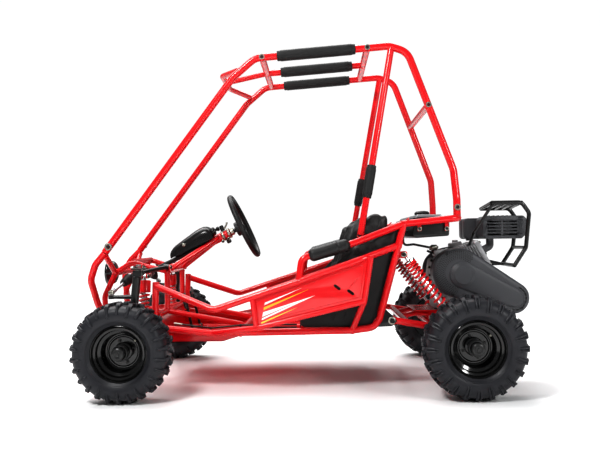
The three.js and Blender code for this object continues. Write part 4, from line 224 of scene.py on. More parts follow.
class Form:
    # the shells of one piece, each face with the number of its finish

    def __init__(self):
        self.points = []
        self.faces = []
        self.finishes = []

    def add(self, points, faces, finish=0):
        base = len(self.points)
        self.points.extend(tuple(p) for p in points)
        self.faces.extend(tuple(base + i for i in face) for face in faces)
        self.finishes.extend([finish] * len(faces))

    def rings(self, rings, closed=False, capped=True, finish=0):
        count, sideCount = len(rings), len(rings[0])
        faces = []
        for i in range(count if closed else count - 1):
            j = (i + 1) % count
            for k in range(sideCount):
                m = (k + 1) % sideCount
                faces.append((i * sideCount + k, i * sideCount + m, j * sideCount + m, j * sideCount + k))
        if capped and not closed:
            faces.append(tuple(reversed(range(sideCount))))
            faces.append(tuple((count - 1) * sideCount + k for k in range(sideCount)))
        self.add([p for ring in rings for p in ring], faces, finish)

    def sweep(self, route, radius, sideCount=14, closed=False, finish=0, capped=True):
        count = len(route)
        radii = radius if isinstance(radius, (list, tuple)) else [radius] * count
        tangents = []
        for i in range(count):
            if closed:
                back, ahead = route[i - 1], route[(i + 1) % count]
            else:
                back, ahead = route[max(i - 1, 0)], route[min(i + 1, count - 1)]
            arriving = route[i] - back
            leaving = ahead - route[i]
            heading = Vector((0, 0, 0))
            if arriving.length > 1e-9:
                heading += arriving.normalized()
            if leaving.length > 1e-9:
                heading += leaving.normalized()
            tangents.append(heading.normalized())
        across = tangents[0].orthogonal().normalized()
        rings = []
        for place, tangent, r in zip(route, tangents, radii):
            across = (across - tangent * across.dot(tangent)).normalized()
            other = tangent.cross(across)
            rings.append([place + spoke(across, other, angle) * r for angle in turnsOf(sideCount)])
        self.rings(rings, closed, capped, finish)

    def tube(self, points, radius=None, bends=None, sideCount=14, finish=0):
        radius = layout["frameTube"] if radius is None else radius
        self.sweep(roundRoute(points, bends), radius, sideCount, finish=finish)

    def rod(self, a, b, radius, sideCount=16, finish=0, edge=0.0):
        # a straight bar whose end edges are broken by a small chamfer
        if edge <= 0:
            self.sweep([a, b], radius, sideCount, finish=finish)
            return
        way = (b - a).normalized() * edge
        self.sweep(
            [a, a + way, b - way, b], [radius - edge, radius, radius, radius - edge], sideCount, finish=finish
        )

    def across(self, x, z, start, end, radius, sideCount=16, finish=0, edge=0.0):
        # a bar straight across the kart
        self.rod(at(x, start, z), at(x, end, z), radius, sideCount, finish, edge)

    def pair(self, outline, middle, inner, thick, put=putXz, faces=(-1, 1)):
        # two like plates, one on each side of a gap
        for face in faces:
            self.slab(outline, middle + face * inner, middle + face * (inner + thick), put, 0.8)

    def lathe(self, profile, centre, axis, segments=40, closed=False, finish=0):
        axis = axis.normalized()
        across = axis.orthogonal().normalized()
        other = axis.cross(across)
        rings, faces, points = [], [], []
        for r, along in profile:
            place = centre + axis * along
            if r < 1e-6:
                rings.append([len(points)])
                points.append(place)
                continue
            rings.append(list(range(len(points), len(points) + segments)))
            points.extend(place + spoke(across, other, angle) * r for angle in turnsOf(segments))
        pairs = list(zip(rings, rings[1:]))
        if closed:
            pairs.append((rings[-1], rings[0]))
        for a, b in pairs:
            for k in range(segments):
                m = (k + 1) % segments
                if len(a) == 1 and len(b) == 1:
                    continue
                if len(a) == 1:
                    faces.append((a[0], b[m], b[k]))
                elif len(b) == 1:
                    faces.append((a[k], a[m], b[0]))
                else:
                    faces.append((a[k], a[m], b[m], b[k]))
        if not closed:
            for ring, turn in ((rings[0], True), (rings[-1], False)):
                if len(ring) > 1:
                    faces.append(tuple(reversed(ring)) if turn else tuple(ring))
        self.add(points, faces, finish)

    def slab(self, outline, near, far, put=putXz, bevel=0.0, holes=(), finish=0):
        # a plate of any outline, with holes, between two depths, its edges rounded by the bevel
        if near > far:
            near, far = far, near
        levels = [(0.0, near), (0.0, far)]
        if bevel > 0:
            levels = [
                (bevel, near),
                (bevel * 0.3, near + bevel * 0.3),
                (0.0, near + bevel),
                (0.0, far - bevel),
                (bevel * 0.3, far - bevel * 0.3),
                (bevel, far),
            ]
        points, faces = [], []
        loops = []
        for number, loop in enumerate([list(outline), *[list(hole) for hole in holes]]):
            rows = []
            for inset, depth in levels:
                # a hole's edge opens at the faces, where the outer edge draws in
                drawn = insetOutline(loop, inset if number == 0 else -inset) if inset > 0 else loop
                rows.append(list(range(len(points), len(points) + len(drawn))))
                points.extend(put(a, b, depth) for a, b in drawn)
            loops.append((rows, loop))
            size = len(loop)
            for lower, upper in zip(rows, rows[1:]):
                for k in range(size):
                    m = (k + 1) % size
                    faces.append((lower[k], lower[m], upper[m], upper[k]))
        flat = [[Vector((a, b, 0)) for a, b in loop] for _, loop in loops]
        numbered = [i for _, loop in loops for i in range(len(loop))]
        owner = [n for n, (_, loop) in enumerate(loops) for _ in loop]
        for row in (0, -1):
            for face in tessellate_polygon(flat):
                faces.append(tuple(loops[owner[i]][0][row][numbered[i]] for i in face))
        self.add(points, faces, finish)

    def weld(self, start, toward, radius, otherA, otherB, otherRadius, size=2.0, finish=0):
        # a rippled bead where the end of one tube meets the side of another
        way = (toward - start).normalized()
        spine = (otherB - otherA).normalized()
        across = way.orthogonal().normalized()
        other = way.cross(across)
        route, radii = [], []
        for k, angle in enumerate(turnsOf(30)):
            place = start + spoke(across, other, angle) * radius
            off = place - otherA
            off = off - spine * off.dot(spine)
            move = way - spine * way.dot(spine)
            a, b, c = move.dot(move), 2 * off.dot(move), off.dot(off) - otherRadius ** 2
            under = b * b - 4 * a * c
            if a < 1e-6:
                continue
            reach = (-b + sqrt(max(under, 0))) / (2 * a)
            route.append(place + way * reach)
            radii.append(size * (1.0 if k % 2 else 0.74))
        if len(route) > 6:
            self.sweep(route, radii, 6, closed=True, finish=finish)

    def bolt(self, place, axis, head=7.5, washer=11.0, rise=5.0, pale=1, dark=2):
        # a flat washer with a hexagon head on it, standing out along the axis
        self.lathe(
            [(0, 0), (washer, 0), (washer, 1.4), (washer - 0.8, 2.0), (0, 2.0)], place, axis, 24, finish=pale
        )
        self.lathe(
            [(0, 1.8), (head, 1.8), (head, 1.8 + rise), (head * 0.82, 2.4 + rise), (0, 2.4 + rise)],
            place, axis, 6, finish=dark,
        )

    def make(self, name, body, finishes, replaces=(), slot=None, smooth=38.0, subdivide=0):
        sx, sy, sz = rowShift
        points = [((x + sx) / 1000, (y + sy) / 1000, (z + sz) / 1000) for x, y, z in self.points]
        mesh = bpy.data.meshes.new(name)
        mesh.from_pydata(points, [], self.faces)
        for finish in finishes.split():
            mesh.materials.append(paint[finish])
        for polygon, finish in zip(mesh.polygons, self.finishes):
            polygon.material_index = min(finish, len(mesh.materials) - 1)
        work = bmesh.new()
        work.from_mesh(mesh)
        bmesh.ops.recalc_face_normals(work, faces=work.faces)
        work.to_mesh(mesh)
        work.free()
        mesh.polygons.foreach_set("use_smooth", [True] * len(mesh.polygons))
        mesh.set_sharp_from_angle(angle=radians(smooth))
        piece = addObject(name, mesh)
        if subdivide:
            levels = piece.modifiers.new("Smoother", "SUBSURF")
            levels.levels = levels.render_levels = subdivide
        if isinstance(body, tuple):
            # two bodies and the points of the piece's two ends; the piece is only baked where it stands
            a, b, start, end = body
            start, end = ([(v + d) / 1000 for v, d in zip(q, rowShift)] for q in (start, end))
            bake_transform(piece)
        else:
            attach(piece, body)
        if replaces:
            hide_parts(*replaces)
        return piece


class Flow:
    # a shader socket that can be reckoned with

    def __init__(self, tree, socket):
        self.tree = tree
        self.socket = socket

    def maths(self, operation, first, second=None):
        node = self.tree.nodes.new("ShaderNodeMath")
        node.operation = operation
        for place, value in enumerate((first, second)):
            if isinstance(value, Flow):
                self.tree.links.new(value.socket, node.inputs[place])
            elif value is not None:
                node.inputs[place].default_value = value
        return Flow(self.tree, node.outputs[0])

    def __add__(self, other):
        return self.maths("ADD", self, other)

    def __radd__(self, other):
        return self.maths("ADD", other, self)

    def __sub__(self, other):
        return self.maths("SUBTRACT", self, other)

    def __rsub__(self, other):
        return self.maths("SUBTRACT", other, self)

    def __mul__(self, other):
        return self.maths("MULTIPLY", self, other)

    def __rmul__(self, other):
        return self.maths("MULTIPLY", other, self)

    def __truediv__(self, other):
        return self.maths("DIVIDE", self, other)

    def __gt__(self, other):
        return self.maths("GREATER_THAN", self, other)

    def __lt__(self, other):
        return self.maths("LESS_THAN", self, other)


class Finish:
    # one material: constants go on the shader, and what varies is fed to it

    def __init__(self, name, constants):
        self.material = bpy.data.materials.new(name)
        self.material.use_nodes = True
        self.tree = self.material.node_tree
        self.shader = next(n for n in self.tree.nodes if n.type == "BSDF_PRINCIPLED")
        for socket, value in constants.items():
            self.shader.inputs[socket].default_value = value
        colour = constants.get("Base Color")
        if colour:
            self.material.diffuse_color = colour
        self.place = self.node("ShaderNodeTexCoord", out="Object")

    def node(self, kind, settings=None, sockets=None, out=0):
        made = self.tree.nodes.new(kind)
        for key, value in (settings or {}).items():
            if key == "stops":
                ramp = made.color_ramp
                while len(ramp.elements) < len(value):
                    ramp.elements.new(0.5)
                for element, (position, colour) in zip(ramp.elements, value):
                    element.position = position
                    element.color = colour
            else:
                setattr(made, key, value)
        for key, value in (sockets or {}).items():
            if isinstance(value, Flow):
                self.tree.links.new(value.socket, made.inputs[key])
            else:
                made.inputs[key].default_value = value
        return Flow(self.tree, made.outputs[out])

    def noise(self, scale, detail=3.0, roughness=0.5):
        sockets = {"Vector": self.place, "Scale": scale, "Detail": detail, "Roughness": roughness}
        return self.node("ShaderNodeTexNoise", sockets=sockets)

    def cells(self, scale):
        sockets = {"Vector": self.place, "Scale": scale}
        return self.node("ShaderNodeTexVoronoi", {"feature": "F1"}, sockets, out="Distance")

    def mix(self, share, a, b):
        return self.node("ShaderNodeMix", {"data_type": "RGBA"}, {0: share, 6: a, 7: b}, out=2)

    def feed(self, socket, flow):
        self.tree.links.new(flow.socket, self.shader.inputs[socket])

    def bump(self, height, strength, distance):
        self.feed(
            "Normal",
            self.node("ShaderNodeBump", sockets={"Strength": strength, "Distance": distance, "Height": height}),
        )


def grey(value, lift=0.0):
    return (value, value, value + lift, 1.0)


def makePaint(name, colour, darker, gloss=0.2, coat=0.5, metal=0.0, grain=700, depth=0.00006):
    # sprayed or powder coated paint with slight orange peel, and cloudy patches of a darker tone at random
    finish = Finish(
        name,
        {
            "Base Color": colour, "Metallic": metal, "Coat Weight": coat, "Coat Roughness": 0.06,
            "Specular IOR Level": 0.35,
        },
    )
    cloud = finish.noise(6, 4)
    shade = finish.mix(cloud, darker, colour)
    finish.feed("Base Color", shade)
    finish.feed("Roughness", gloss + finish.noise(40, 3) * 0.12)
    finish.bump(finish.noise(grain, 2), 0.25, depth)
    return finish.material


def makeRubber(name, colour, pale, roughness=0.62, grain=900, depth=0.00015):
    finish = Finish(name, {"Base Color": colour, "Specular IOR Level": 0.42})
    dust = finish.noise(28, 6, 0.65)
    finish.feed("Base Color", finish.mix(dust, colour, pale))
    finish.feed("Roughness", roughness + finish.noise(90, 4) * 0.25)
    finish.bump(finish.noise(grain, 4, 0.7), 0.5, depth)
    return finish.material


def makeVinyl(name, colour, pale):
    # leatherette: small pebbles with fine creases between them
    finish = Finish(
        name, {"Base Color": colour, "Specular IOR Level": 0.4, "Coat Weight": 0.1, "Coat Roughness": 0.3}
    )
    pebbles = finish.cells(620)
    creases = finish.noise(55, 5, 0.6)
    finish.feed("Base Color", finish.mix(creases, colour, pale))
    finish.feed("Roughness", 0.3 + pebbles * 0.25 + creases * 0.12)
    finish.bump(pebbles * 0.7 + creases * 0.8, 0.45, 0.0004)
    return finish.material


def makeMetal(name, colour, dull, roughness=0.25, spread=0.2, metal=1.0, grain=300, depth=0.00008):
    finish = Finish(name, {"Base Color": colour, "Metallic": metal})
    cloud = finish.noise(35, 5, 0.6)
    finish.feed("Base Color", finish.mix(cloud, dull, colour))
    finish.feed("Roughness", roughness + finish.noise(120, 4, 0.6) * spread)
    finish.bump(finish.noise(grain, 3, 0.6), 0.35, depth)
    return finish.material


def makePlastic(name, colour, pale, roughness=0.42, grain=520, depth=0.00018):
    # moulded plastic with a fine spark-eroded grain
    finish = Finish(name, {"Base Color": colour, "Specular IOR Level": 0.38})
    finish.feed("Base Color", finish.mix(finish.noise(14, 4), colour, pale))
    finish.feed("Roughness", roughness + finish.noise(70, 4) * 0.16)
    finish.bump(finish.cells(grain) + finish.noise(grain, 2) * 0.5, 0.4, depth)
    return finish.material


redPaint = {"bright": (0.70, 0.006, 0.011, 1), "dark": (0.58, 0.004, 0.008, 1)}
paint = {
    "red": makePaint("redPowderCoat", redPaint["bright"], redPaint["dark"], 0.18, 0.3),
    "black": makePaint("blackPowderCoat", grey(0.008), grey(0.004), 0.24, 0.25),
    "rim": makePaint("blackWheelEnamel", grey(0.005), grey(0.003), 0.1, 0.5, grain=420),
    "hub": makePaint("blackHubCap", grey(0.022), grey(0.014), 0.3, 0.15),
    "tank": makePaint("blackTankPaint", grey(0.008), grey(0.005), 0.3, 0.2),
    "tyre": makeRubber("tyreRubber", (0.0075, 0.0078, 0.0105, 1), (0.019, 0.0195, 0.025, 1), 0.34),
    "boot": makeRubber("bellowsRubber", grey(0.006), grey(0.012), 0.36, 700),
    "foam": makeRubber("foamSleeve", grey(0.006), grey(0.012), 0.5, 480, 0.0004),
    "cable": makeRubber("cableJacket", grey(0.010), grey(0.018), 0.35, 900, 0.00008),
    "vinyl": makeVinyl("seatVinyl", grey(0.006), grey(0.012)),
    "roll": makeVinyl("armrestVinyl", grey(0.006), grey(0.011)),
    "cover": makePlastic("drivenCoverPlastic", (0.050, 0.051, 0.056, 1), (0.066, 0.067, 0.073, 1), 0.36),
    "guard": makePlastic("louvredGuardPlastic", (0.042, 0.043, 0.047, 1), (0.056, 0.057, 0.062, 1), 0.4),
    "cowl": makePlastic("columnCowlPlastic", grey(0.006), grey(0.010), 0.16, 420, 0.00004),
    "tub": makePlastic("seatTubSheet", grey(0.005), grey(0.009), 0.5),
    "cast": makeMetal("castAluminium", (0.62, 0.62, 0.63, 1), (0.26, 0.26, 0.27, 1), 0.34, 0.3, 0.35, 260, 0.0004),
    "castDark": makeMetal(
        "castShadowed", (0.16, 0.16, 0.165, 1), (0.05, 0.05, 0.052, 1), 0.45, 0.3, 0.7, 260, 0.0004
    ),
    "chrome": makeMetal("chromeRod", (0.78, 0.79, 0.80, 1), (0.62, 0.63, 0.64, 1), 0.07, 0.12),
    "zinc": makeMetal("zincPlate", (0.46, 0.45, 0.40, 1), (0.24, 0.23, 0.19, 1), 0.26, 0.2),
    "steel": makeMetal("brightSteel", (0.55, 0.56, 0.57, 1), (0.34, 0.34, 0.35, 1), 0.26, 0.22),
    "blackBolt": makeMetal("blackOxideBolt", grey(0.05), grey(0.02), 0.35, 0.25, 0.8),
    "lid": makePaint("silverTankTop", (0.36, 0.37, 0.38, 1), (0.28, 0.28, 0.29, 1), 0.3, 0.2, 0.5),
}


def makeLens():
    # ribbed lamp glass seen over its bright bowl
    finish = Finish(
        "lampGlass", {"Base Color": (0.55, 0.57, 0.58, 1), "Metallic": 0.3, "Roughness": 0.08, "Coat Weight": 1.0}
    )
    wave = finish.node(
        "ShaderNodeTexWave", {"wave_type": "BANDS", "bands_direction": "Y"},
        {"Vector": finish.place, "Scale": 40.0, "Distortion": 0.0},
    )
    finish.feed("Base Color", finish.mix(wave, (0.34, 0.36, 0.37, 1), (0.78, 0.80, 0.80, 1)))
    finish.bump(wave, 0.6, 0.0008)
    return finish.material


def makePanelPaint():
    # red sheet with a plain graphic of three tapering bars in white, yellow and grey
    finish = Finish("panelGraphic", {"Coat Weight": 0.35, "Coat Roughness": 0.06})
    cloud = finish.noise(6, 4)
    shade = finish.mix(cloud, redPaint["dark"], redPaint["bright"])
    axes = finish.tree.nodes.new("ShaderNodeSeparateXYZ")
    finish.tree.links.new(finish.place.socket, axes.inputs[0])
    x, z = Flow(finish.tree, axes.outputs["X"]), Flow(finish.tree, axes.outputs["Z"])
    slope = panelGraphic["slope"]
    along = (x - panelGraphic["startX"]) * cos(slope) + (z - panelGraphic["startZ"]) * sin(slope)
    up = (z - panelGraphic["startZ"]) * cos(slope) - (x - panelGraphic["startX"]) * sin(slope)
    for low, high, length, colour in panelGraphic["bars"]:
        # each bar leans forward and narrows to a point at its rear end
        run = (along - up * panelGraphic["lean"]) / length
        top = high - (high - low) * run
        inside = (up > low) * (up < top) * (run > 0.0) * (run < 1.0)
        shade = finish.mix(inside, shade, colour)
    finish.feed("Base Color", shade)
    finish.feed("Roughness", 0.16 + finish.noise(40, 3) * 0.12)
    finish.bump(finish.noise(700, 2), 0.25, 0.00006)
    return finish.material


panelGraphic = {
    "startX": -0.172,
    "startZ": 0.272,
    "slope": 0.42,
    "lean": 0.7,
    "bars": (
        (0.000, 0.024, 0.215, (0.80, 0.80, 0.78, 1)),
        (0.030, 0.039, 0.185, (0.86, 0.45, 0.02, 1)),
        (0.045, 0.053, 0.150, (0.78, 0.78, 0.76, 1)),
        (-0.012, -0.006, 0.150, (0.80, 0.66, 0.05, 1)),
        (0.006, 0.010, 0.140, (0.36, 0.04, 0.04, 1)),
    ),
}
paint["lens"] = makeLens()
paint["panel"] = makePanelPaint()
print("stage: finishes made")

# Camera, floor and lamps come first, so that any piece can be looked at while it is made
view = {
    "focalPixels": 694.0,
    "widthPixels": 600.0,
    "sensor": 36.0,
    "place": (701.0, -2906.0, 562.0),
    "yaw": radians(-1.63),
    "pitch": radians(1.24),
    "roll": radians(-0.82),
}


def addCamera():
    yaw, pitch, roll = view["yaw"], view["pitch"], view["roll"]
    forward = at(sin(yaw) * cos(pitch), cos(yaw) * cos(pitch), sin(pitch))
    level = at(cos(yaw), -sin(yaw), 0)
    upright = level.cross(forward)
    right = level * cos(roll) + upright * sin(roll)
    up = upright * cos(roll) - level * sin(roll)
    camera = addObject("viewCamera", bpy.data.cameras.new("viewCamera"))
    camera.data.sensor_width = view["sensor"]
    camera.data.lens = view["sensor"] * view["focalPixels"] / view["widthPixels"]
    turn = Matrix((right, up, -forward)).transposed().to_4x4()
    x, y, z = (a + b for a, b in zip(view["place"], rowShift))
    camera.matrix_world = Matrix.Translation((x / 1000, y / 1000, z / 1000)) @ turn
    bpy.context.scene.camera = camera


studio = {
    "floorSize": 60.0,
    "sky": (0.97, 0.985, 1.0, 1.0),
    "gamma": 0.8,
    "skyStrength": 0.34,
    "sunTilt": (0.42, 0.30),
    "sunWidth": 0.9,
    "sunStrength": 3.3,
    "backdrop": 1.0,
    "drumRadius": 28.0,
    "drumSides": 24,
    "drumLow": -2,
    "drumHigh": 40,
    "floorGrey": (0.93, 0.92, 0.94),
    "lamps": (
        # place, aim, size, watts
        ((-1.4, -2.4, 3.0), (0.0, 0.0, 0.5), 0.8, 95),
        ((2.4, -2.6, 1.7), (0.4, 0.0, 0.4), 0.6, 40),
        ((0.2, 2.6, 3.2), (0.0, 0.0, 0.6), 1.6, 26),
    ),
}


def addStage():
    mesh = bpy.data.meshes.new("paleFloor")
    half = studio["floorSize"] / 2
    mesh.from_pydata([(x, y, 0) for x, y in oblong(-half, -half, half, half)], [], [(0, 1, 2, 3)])
    even, low, high = (grey(value) for value in studio["floorGrey"])
    finish = Finish("paleFloor", {"Base Color": even, "Roughness": 0.8, "Specular IOR Level": 0.1})
    finish.feed("Base Color", finish.mix(finish.noise(0.8, 2), low, high))
    mesh.materials.append(finish.material)
    floor = addObject("paleFloor", mesh)
    # a white drum far round the kart, which only the camera sees
    cardMesh = bpy.data.meshes.new("whiteCard")
    far, count = studio["drumRadius"], studio["drumSides"]
    ringPlaces = [(*q, z) for z in (studio["drumLow"], studio["drumHigh"]) for q in ringOf((0, 0), far, count)]
    walls = [(k, (k + 1) % count, count + (k + 1) % count, count + k) for k in range(count)]
    cardMesh.from_pydata(ringPlaces, [], walls + [tuple(range(count, 2 * count))])
    white = Finish(
        "whiteCard", {"Base Color": grey(0), "Emission Color": grey(1), "Emission Strength": studio["backdrop"]}
    )
    cardMesh.materials.append(white.material)
    card = addObject("whiteCard", cardMesh)
    card.visible_diffuse = card.visible_glossy = card.visible_shadow = card.visible_transmission = False
    sun = addObject("wideSun", bpy.data.lights.new("wideSun", "SUN"))
    sun.data.energy = studio["sunStrength"]
    sun.data.angle = studio["sunWidth"]
    sun.rotation_euler = (-studio["sunTilt"][0], -studio["sunTilt"][1], 0)
    world = bpy.data.worlds.new("softSky")
    bpy.context.scene.world = world
    world.use_nodes = True
    back = world.node_tree.nodes["Background"]
    back.inputs["Color"].default_value = studio["sky"]
    back.inputs["Strength"].default_value = studio["skyStrength"]
    for number, (place, aim, size, watts) in enumerate(studio["lamps"]):
        lamp = addObject(f"softLamp{number}", bpy.data.lights.new(f"softLamp{number}", "AREA"))
        lamp.data.shape = "DISK"
        lamp.data.size = size
        lamp.data.energy = watts
        lamp.location = place
        lamp.rotation_mode = "QUATERNION"
        lamp.rotation_quaternion = (Vector(aim) - Vector(place)).to_track_quat("-Z", "Y")
    bpy.context.scene.view_settings.view_transform = "Standard"
    bpy.context.scene.view_settings.gamma = studio["gamma"]


addCamera()
addStage()
print("stage: camera, floor and lamps")

# Front box of the frame, with the bumper and the column
box = {
    "foot": (-152, 255), "knee": (-163, 345), "brow": (-118, 440), "top": (-48, 484), "rail": (0, 466),
    "post": (90, 446), "postLow": 288, "tail": (385, 232), "tab": (90, 94),
}
bumper = {"top": (-124, 258, 524), "brow": (-168, 245, 478), "nose": (-190, 236, 418), "chin": (-172, 205, 322)}
column = {"wheel": (383, 624), "tilt": radians(25), "rack": 478}
columnDown = at(-cos(column["tilt"]), 0, -sin(column["tilt"]))
columnUp = at(-sin(column["tilt"]), 0, cos(column["tilt"]))
sleeve = {"upper": 62, "lower": 160, "bore": 9.6, "outer": 18.5, "legHalf": 24, "legShare": 0.75}
suspension = {
    "pivotHalf": 172, "outerHalf": 352, "kingHalf": 372, "upperZ": 463, "lowerZ": 225, "drop": 15, "lean": 0.105,
    "upperPivots": (-18, 92), "lowerPivots": (-58, 44), "bush": 11, "bushLength": 22, "pin": 5, "ear": 4,
}
floorPan = {
    "frontX": 78, "frontZ": 243, "dipX": 287, "dipZ": 219, "crossX": 400, "midX": 815, "midZ": 224, "rearX": 893,
    "rearZ": 234, "depth": 34, "sheet": 3, "front": 62, "rear": 640, "half": 296, "rampX": 330, "toeZ": 282,
}
hip = {
    "postTop": 412, "low": (310, 312), "seat": (614, 410), "back": (845, 487), "end": (981, 533),
    "lowerStart": (292, 219), "lowerMid": (454, 243), "panelRear": (858, 337),
}
upright = {"foot": (917, 262), "eye": (985, 500), "top": (1013, 617), "half": 150}
frontShock = {"x": 22, "topHalf": 235, "topZ": 430, "lowHalf": 262, "lowZ": 240, "width": 12}
rearShock = {"half": 280, "top": (1015, 502), "low": (1190, 270), "width": 13}


def onColumn(distance):
    return onSide(column["wheel"], 0) + columnDown * distance


rackCentre = onColumn(column["rack"])


def uprightX(z):
    return onLine(z, upright["foot"][::-1], upright["top"][::-1])


def addEars(form, side, x, half, z, carrierHalf, carrierZ, width, pin, faces=(-1, 1)):
    reach = pin * 2
    outline = [
        (side * carrierHalf, carrierZ - reach), (side * carrierHalf, carrierZ + reach),
        (side * (half + reach), z + reach), (side * (half + reach), z - reach),
    ]
    inner = width / 2 + running
    outer = inner + suspension["ear"]
    form.pair(roundOutline(outline, 7), x, inner, suspension["ear"], putYz, faces)
    start = outer if len(faces) > 1 else inner
    form.rod(at(x - start, side * half, z), at(x + outer, side * half, z), pin)
    form.bolt(at(x + outer, side * half, z), xAxis, 7, 9, 4)


def makeFrame():
    form = Form()
    crossEnd = floorHalf - heavy - seated
    for _, _, side in sides:
        y = side * boxHalf
        form.tube(
            [onSide(box["foot"], y), at(box["post"][0], y, box["postLow"]),
             onSide(box["tail"], y), at(floorPan["crossX"], y, floorPan["dipZ"])], light,
        )
        form.tube(
            [at(x, y, z) for x, z in (box[k] for k in ("foot", "knee", "brow", "top", "rail", "post"))], light
        )
        bumperRoute = [at(x, side * half, z) for x, half, z in bumper.values()]
        form.tube([*bumperRoute, onSide(box["foot"], y)])
        top = bumperRoute[0] - at(0, 0, heavy)
        brow = onSide(box["brow"], y)
        form.tube([top, brow], light)
        form.weld(brow, top, light, brow - at(20, 0, 42), brow + at(20, 0, 42), light)
        postLow, postHigh = at(box["post"][0], y, box["postLow"]), onSide(box["post"], y)
        form.rod(postLow, postHigh, light)
        form.weld(postLow, postHigh, light, postLow, postLow + at(100, 0, 0), light)
        form.weld(postHigh, postLow, light, postHigh, postHigh + at(100, 0, -20), light)
        for x in suspension["upperPivots"]:
            carrier = box["rail"][1] + light / 2 if x < box["rail"][0] else box["post"][1]
            addEars(form, side, x, suspension["pivotHalf"], suspension["upperZ"], boxHalf, carrier,
                    suspension["bushLength"], suspension["pin"], (1,))
        for x in suspension["lowerPivots"]:
            carrier = onLine(x, box["foot"], (box["post"][0], box["postLow"]))
            addEars(form, side, x, suspension["pivotHalf"], suspension["lowerZ"], boxHalf, carrier,
                    suspension["bushLength"], suspension["pin"], (1,))
        addEars(form, side, frontShock["x"], frontShock["topHalf"], frontShock["topZ"], boxHalf,
                box["rail"][1] - light, frontShock["width"] + running, suspension["pin"])
        # legs of the steering column
        legTop = onColumn(sleeve["lower"] * sleeve["legShare"])
        legTop.y = side * sleeve["legHalf"]
        form.tube([postHigh, legTop], light)
        form.weld(postHigh, legTop, light, postHigh, postHigh + yAxis, light)
        # struts that carry the seat's cross tubes
        form.rod(at(uprightX(upright["foot"][1]), side * upright["half"], upright["foot"][1]),
                 onSide(upright["eye"], side * upright["half"]), light)
        form.tube(
            [at(floorPan["crossX"], side * upright["half"], floorPan["dipZ"]),
             at(floorPan["rearX"] + light, side * upright["half"], floorPan["dipZ"]),
             at(uprightX(upright["foot"][1]), side * upright["half"], upright["foot"][1])], light, light,
        )
        # ears of the rear spring unit
        inner = rearShock["width"] / 2 + running
        topX, topZ = rearShock["top"]
        eyeX, eyeZ = upright["eye"]
        outline = roundOutline(
            [
                (eyeX, eyeZ - heavy), (topX + heavy, topZ - heavy), (topX + heavy, topZ + heavy),
                (eyeX, eyeZ + heavy),
            ],
            9,
        )
        form.pair(outline, side * rearShock["half"], inner, suspension["ear"])
        form.across(topX, topZ, side * (rearShock["half"] - inner), side * (rearShock["half"] + inner), 5)
        form.bolt(at(topX, side * (rearShock["half"] + inner + suspension["ear"]), topZ), yAxis * side, 8, 10.5, 5)
    for x, z, half, radius in (
        (*box["foot"], boxHalf, heavy), (*box["brow"], boxHalf, light), (*box["top"], boxHalf, light),
        (*box["post"], boxHalf, light), (box["post"][0], box["postLow"], crossEnd, light),
        (floorPan["crossX"], floorPan["dipZ"], crossEnd, heavy),
        (floorPan["midX"], floorPan["midZ"], crossEnd, heavy),
        (uprightX(upright["foot"][1]), upright["foot"][1], crossEnd, heavy), (*upright["eye"], crossEnd, heavy),
    ):
        form.across(x, z, -half, half, radius)
        if half == crossEnd:
            for side in (-1, 1):
                end = at(x, side * floorHalf, z)
                form.weld(at(x, side * (half - 20), z), end, radius, end, end + at(1, 0, 0.05), 1)
    # column sleeve
    upper, lower = onColumn(sleeve["upper"]), onColumn(sleeve["lower"])
    form.lathe(
        bushing(sleeve["bore"], sleeve["outer"], 0, (lower - upper).length), upper, columnDown, 32, closed=True
    )
    # rack tabs
    for side in (-1, 1):
        form.slab(
            [(rackCentre.x - 12, rackCentre.z + 15.3), (rackCentre.x + 12, rackCentre.z + 15.3),
             (box["top"][0] + 12, box["top"][1]), (box["top"][0] - 12, box["top"][1])],
            side * box["tab"][0], side * box["tab"][1], putXz, 0.6,
        )
    return form


def addPan(form):
    # pressed floor pan: a sheet with its toe board, side walls and ribs
    p = floorPan
    bottom = p["dipZ"] - p["depth"]
    top = p["dipZ"] - heavy + p["sheet"]
    line = [
        (p["front"], p["toeZ"]), (p["front"] + p["depth"] / 2, bottom), (p["rampX"], bottom),
        (p["crossX"], top - p["sheet"]), (p["rear"], top - p["sheet"]),
    ]
    under = [at(x, 0, z) for x, z in line]
    form.slab(sheetOutline(roundRoute(under, 22, 0.3), p["sheet"]), -p["half"], p["half"])
    for side in (-1, 1):
        wall = [
            (p["front"] + p["depth"] / 2, bottom), (p["rampX"], bottom), (p["crossX"], top),
            (p["crossX"], p["dipZ"]), (p["front"] + p["depth"] / 4, p["frontZ"]),
        ]
        form.slab(wall, side * (p["half"] - p["sheet"]), side * p["half"], putXz, 0.8)
    for k in range(5):
        y = (k - 2) * 96
        start, end = p["front"] + 60, p["rampX"] - 24
        form.slab(roundOutline(oblong(start, y - 9, end, y + 9), 9),
                  bottom + p["sheet"] - 0.5, bottom + p["sheet"] + 3, putXy, 2.0)


def pedalHingeZ():
    return floorPan["dipZ"] - floorPan["depth"] + floorPan["sheet"] + pedal["rise"]


def addPedalStands(form):
    hingeZ = pedalHingeZ()
    for side in (-1, 1):
        y = side * pedal["half"]
        inner = pedal["width"] / 3 + running
        outline = roundOutline(
            [(pedal["x"] - 9, hingeZ - pedal["rise"] - 1.5), (pedal["x"] + 9, hingeZ - pedal["rise"] - 1.5),
             (pedal["x"] + 8, hingeZ + 8), (pedal["x"] - 8, hingeZ + 8)], 5)
        for face in (-1, 1):
            form.slab(outline, y + face * inner, y + face * (inner + 4), putXz, 0.6)
        form.across(pedal["x"], hingeZ, y - inner - 4, y + inner + 4, 4)


pedal = {"x": 178, "half": 86, "width": 58, "tilt": 34, "topZ": 352, "arm": 6, "rise": 12, "hub": 9}
frameForm = makeFrame()
addPan(frameForm)
addPedalStands(frameForm)
frameForm.make("mainFrame", "frame", "red zinc blackBolt", ["main_frame"], "red_paint")
print("stage: main frame")

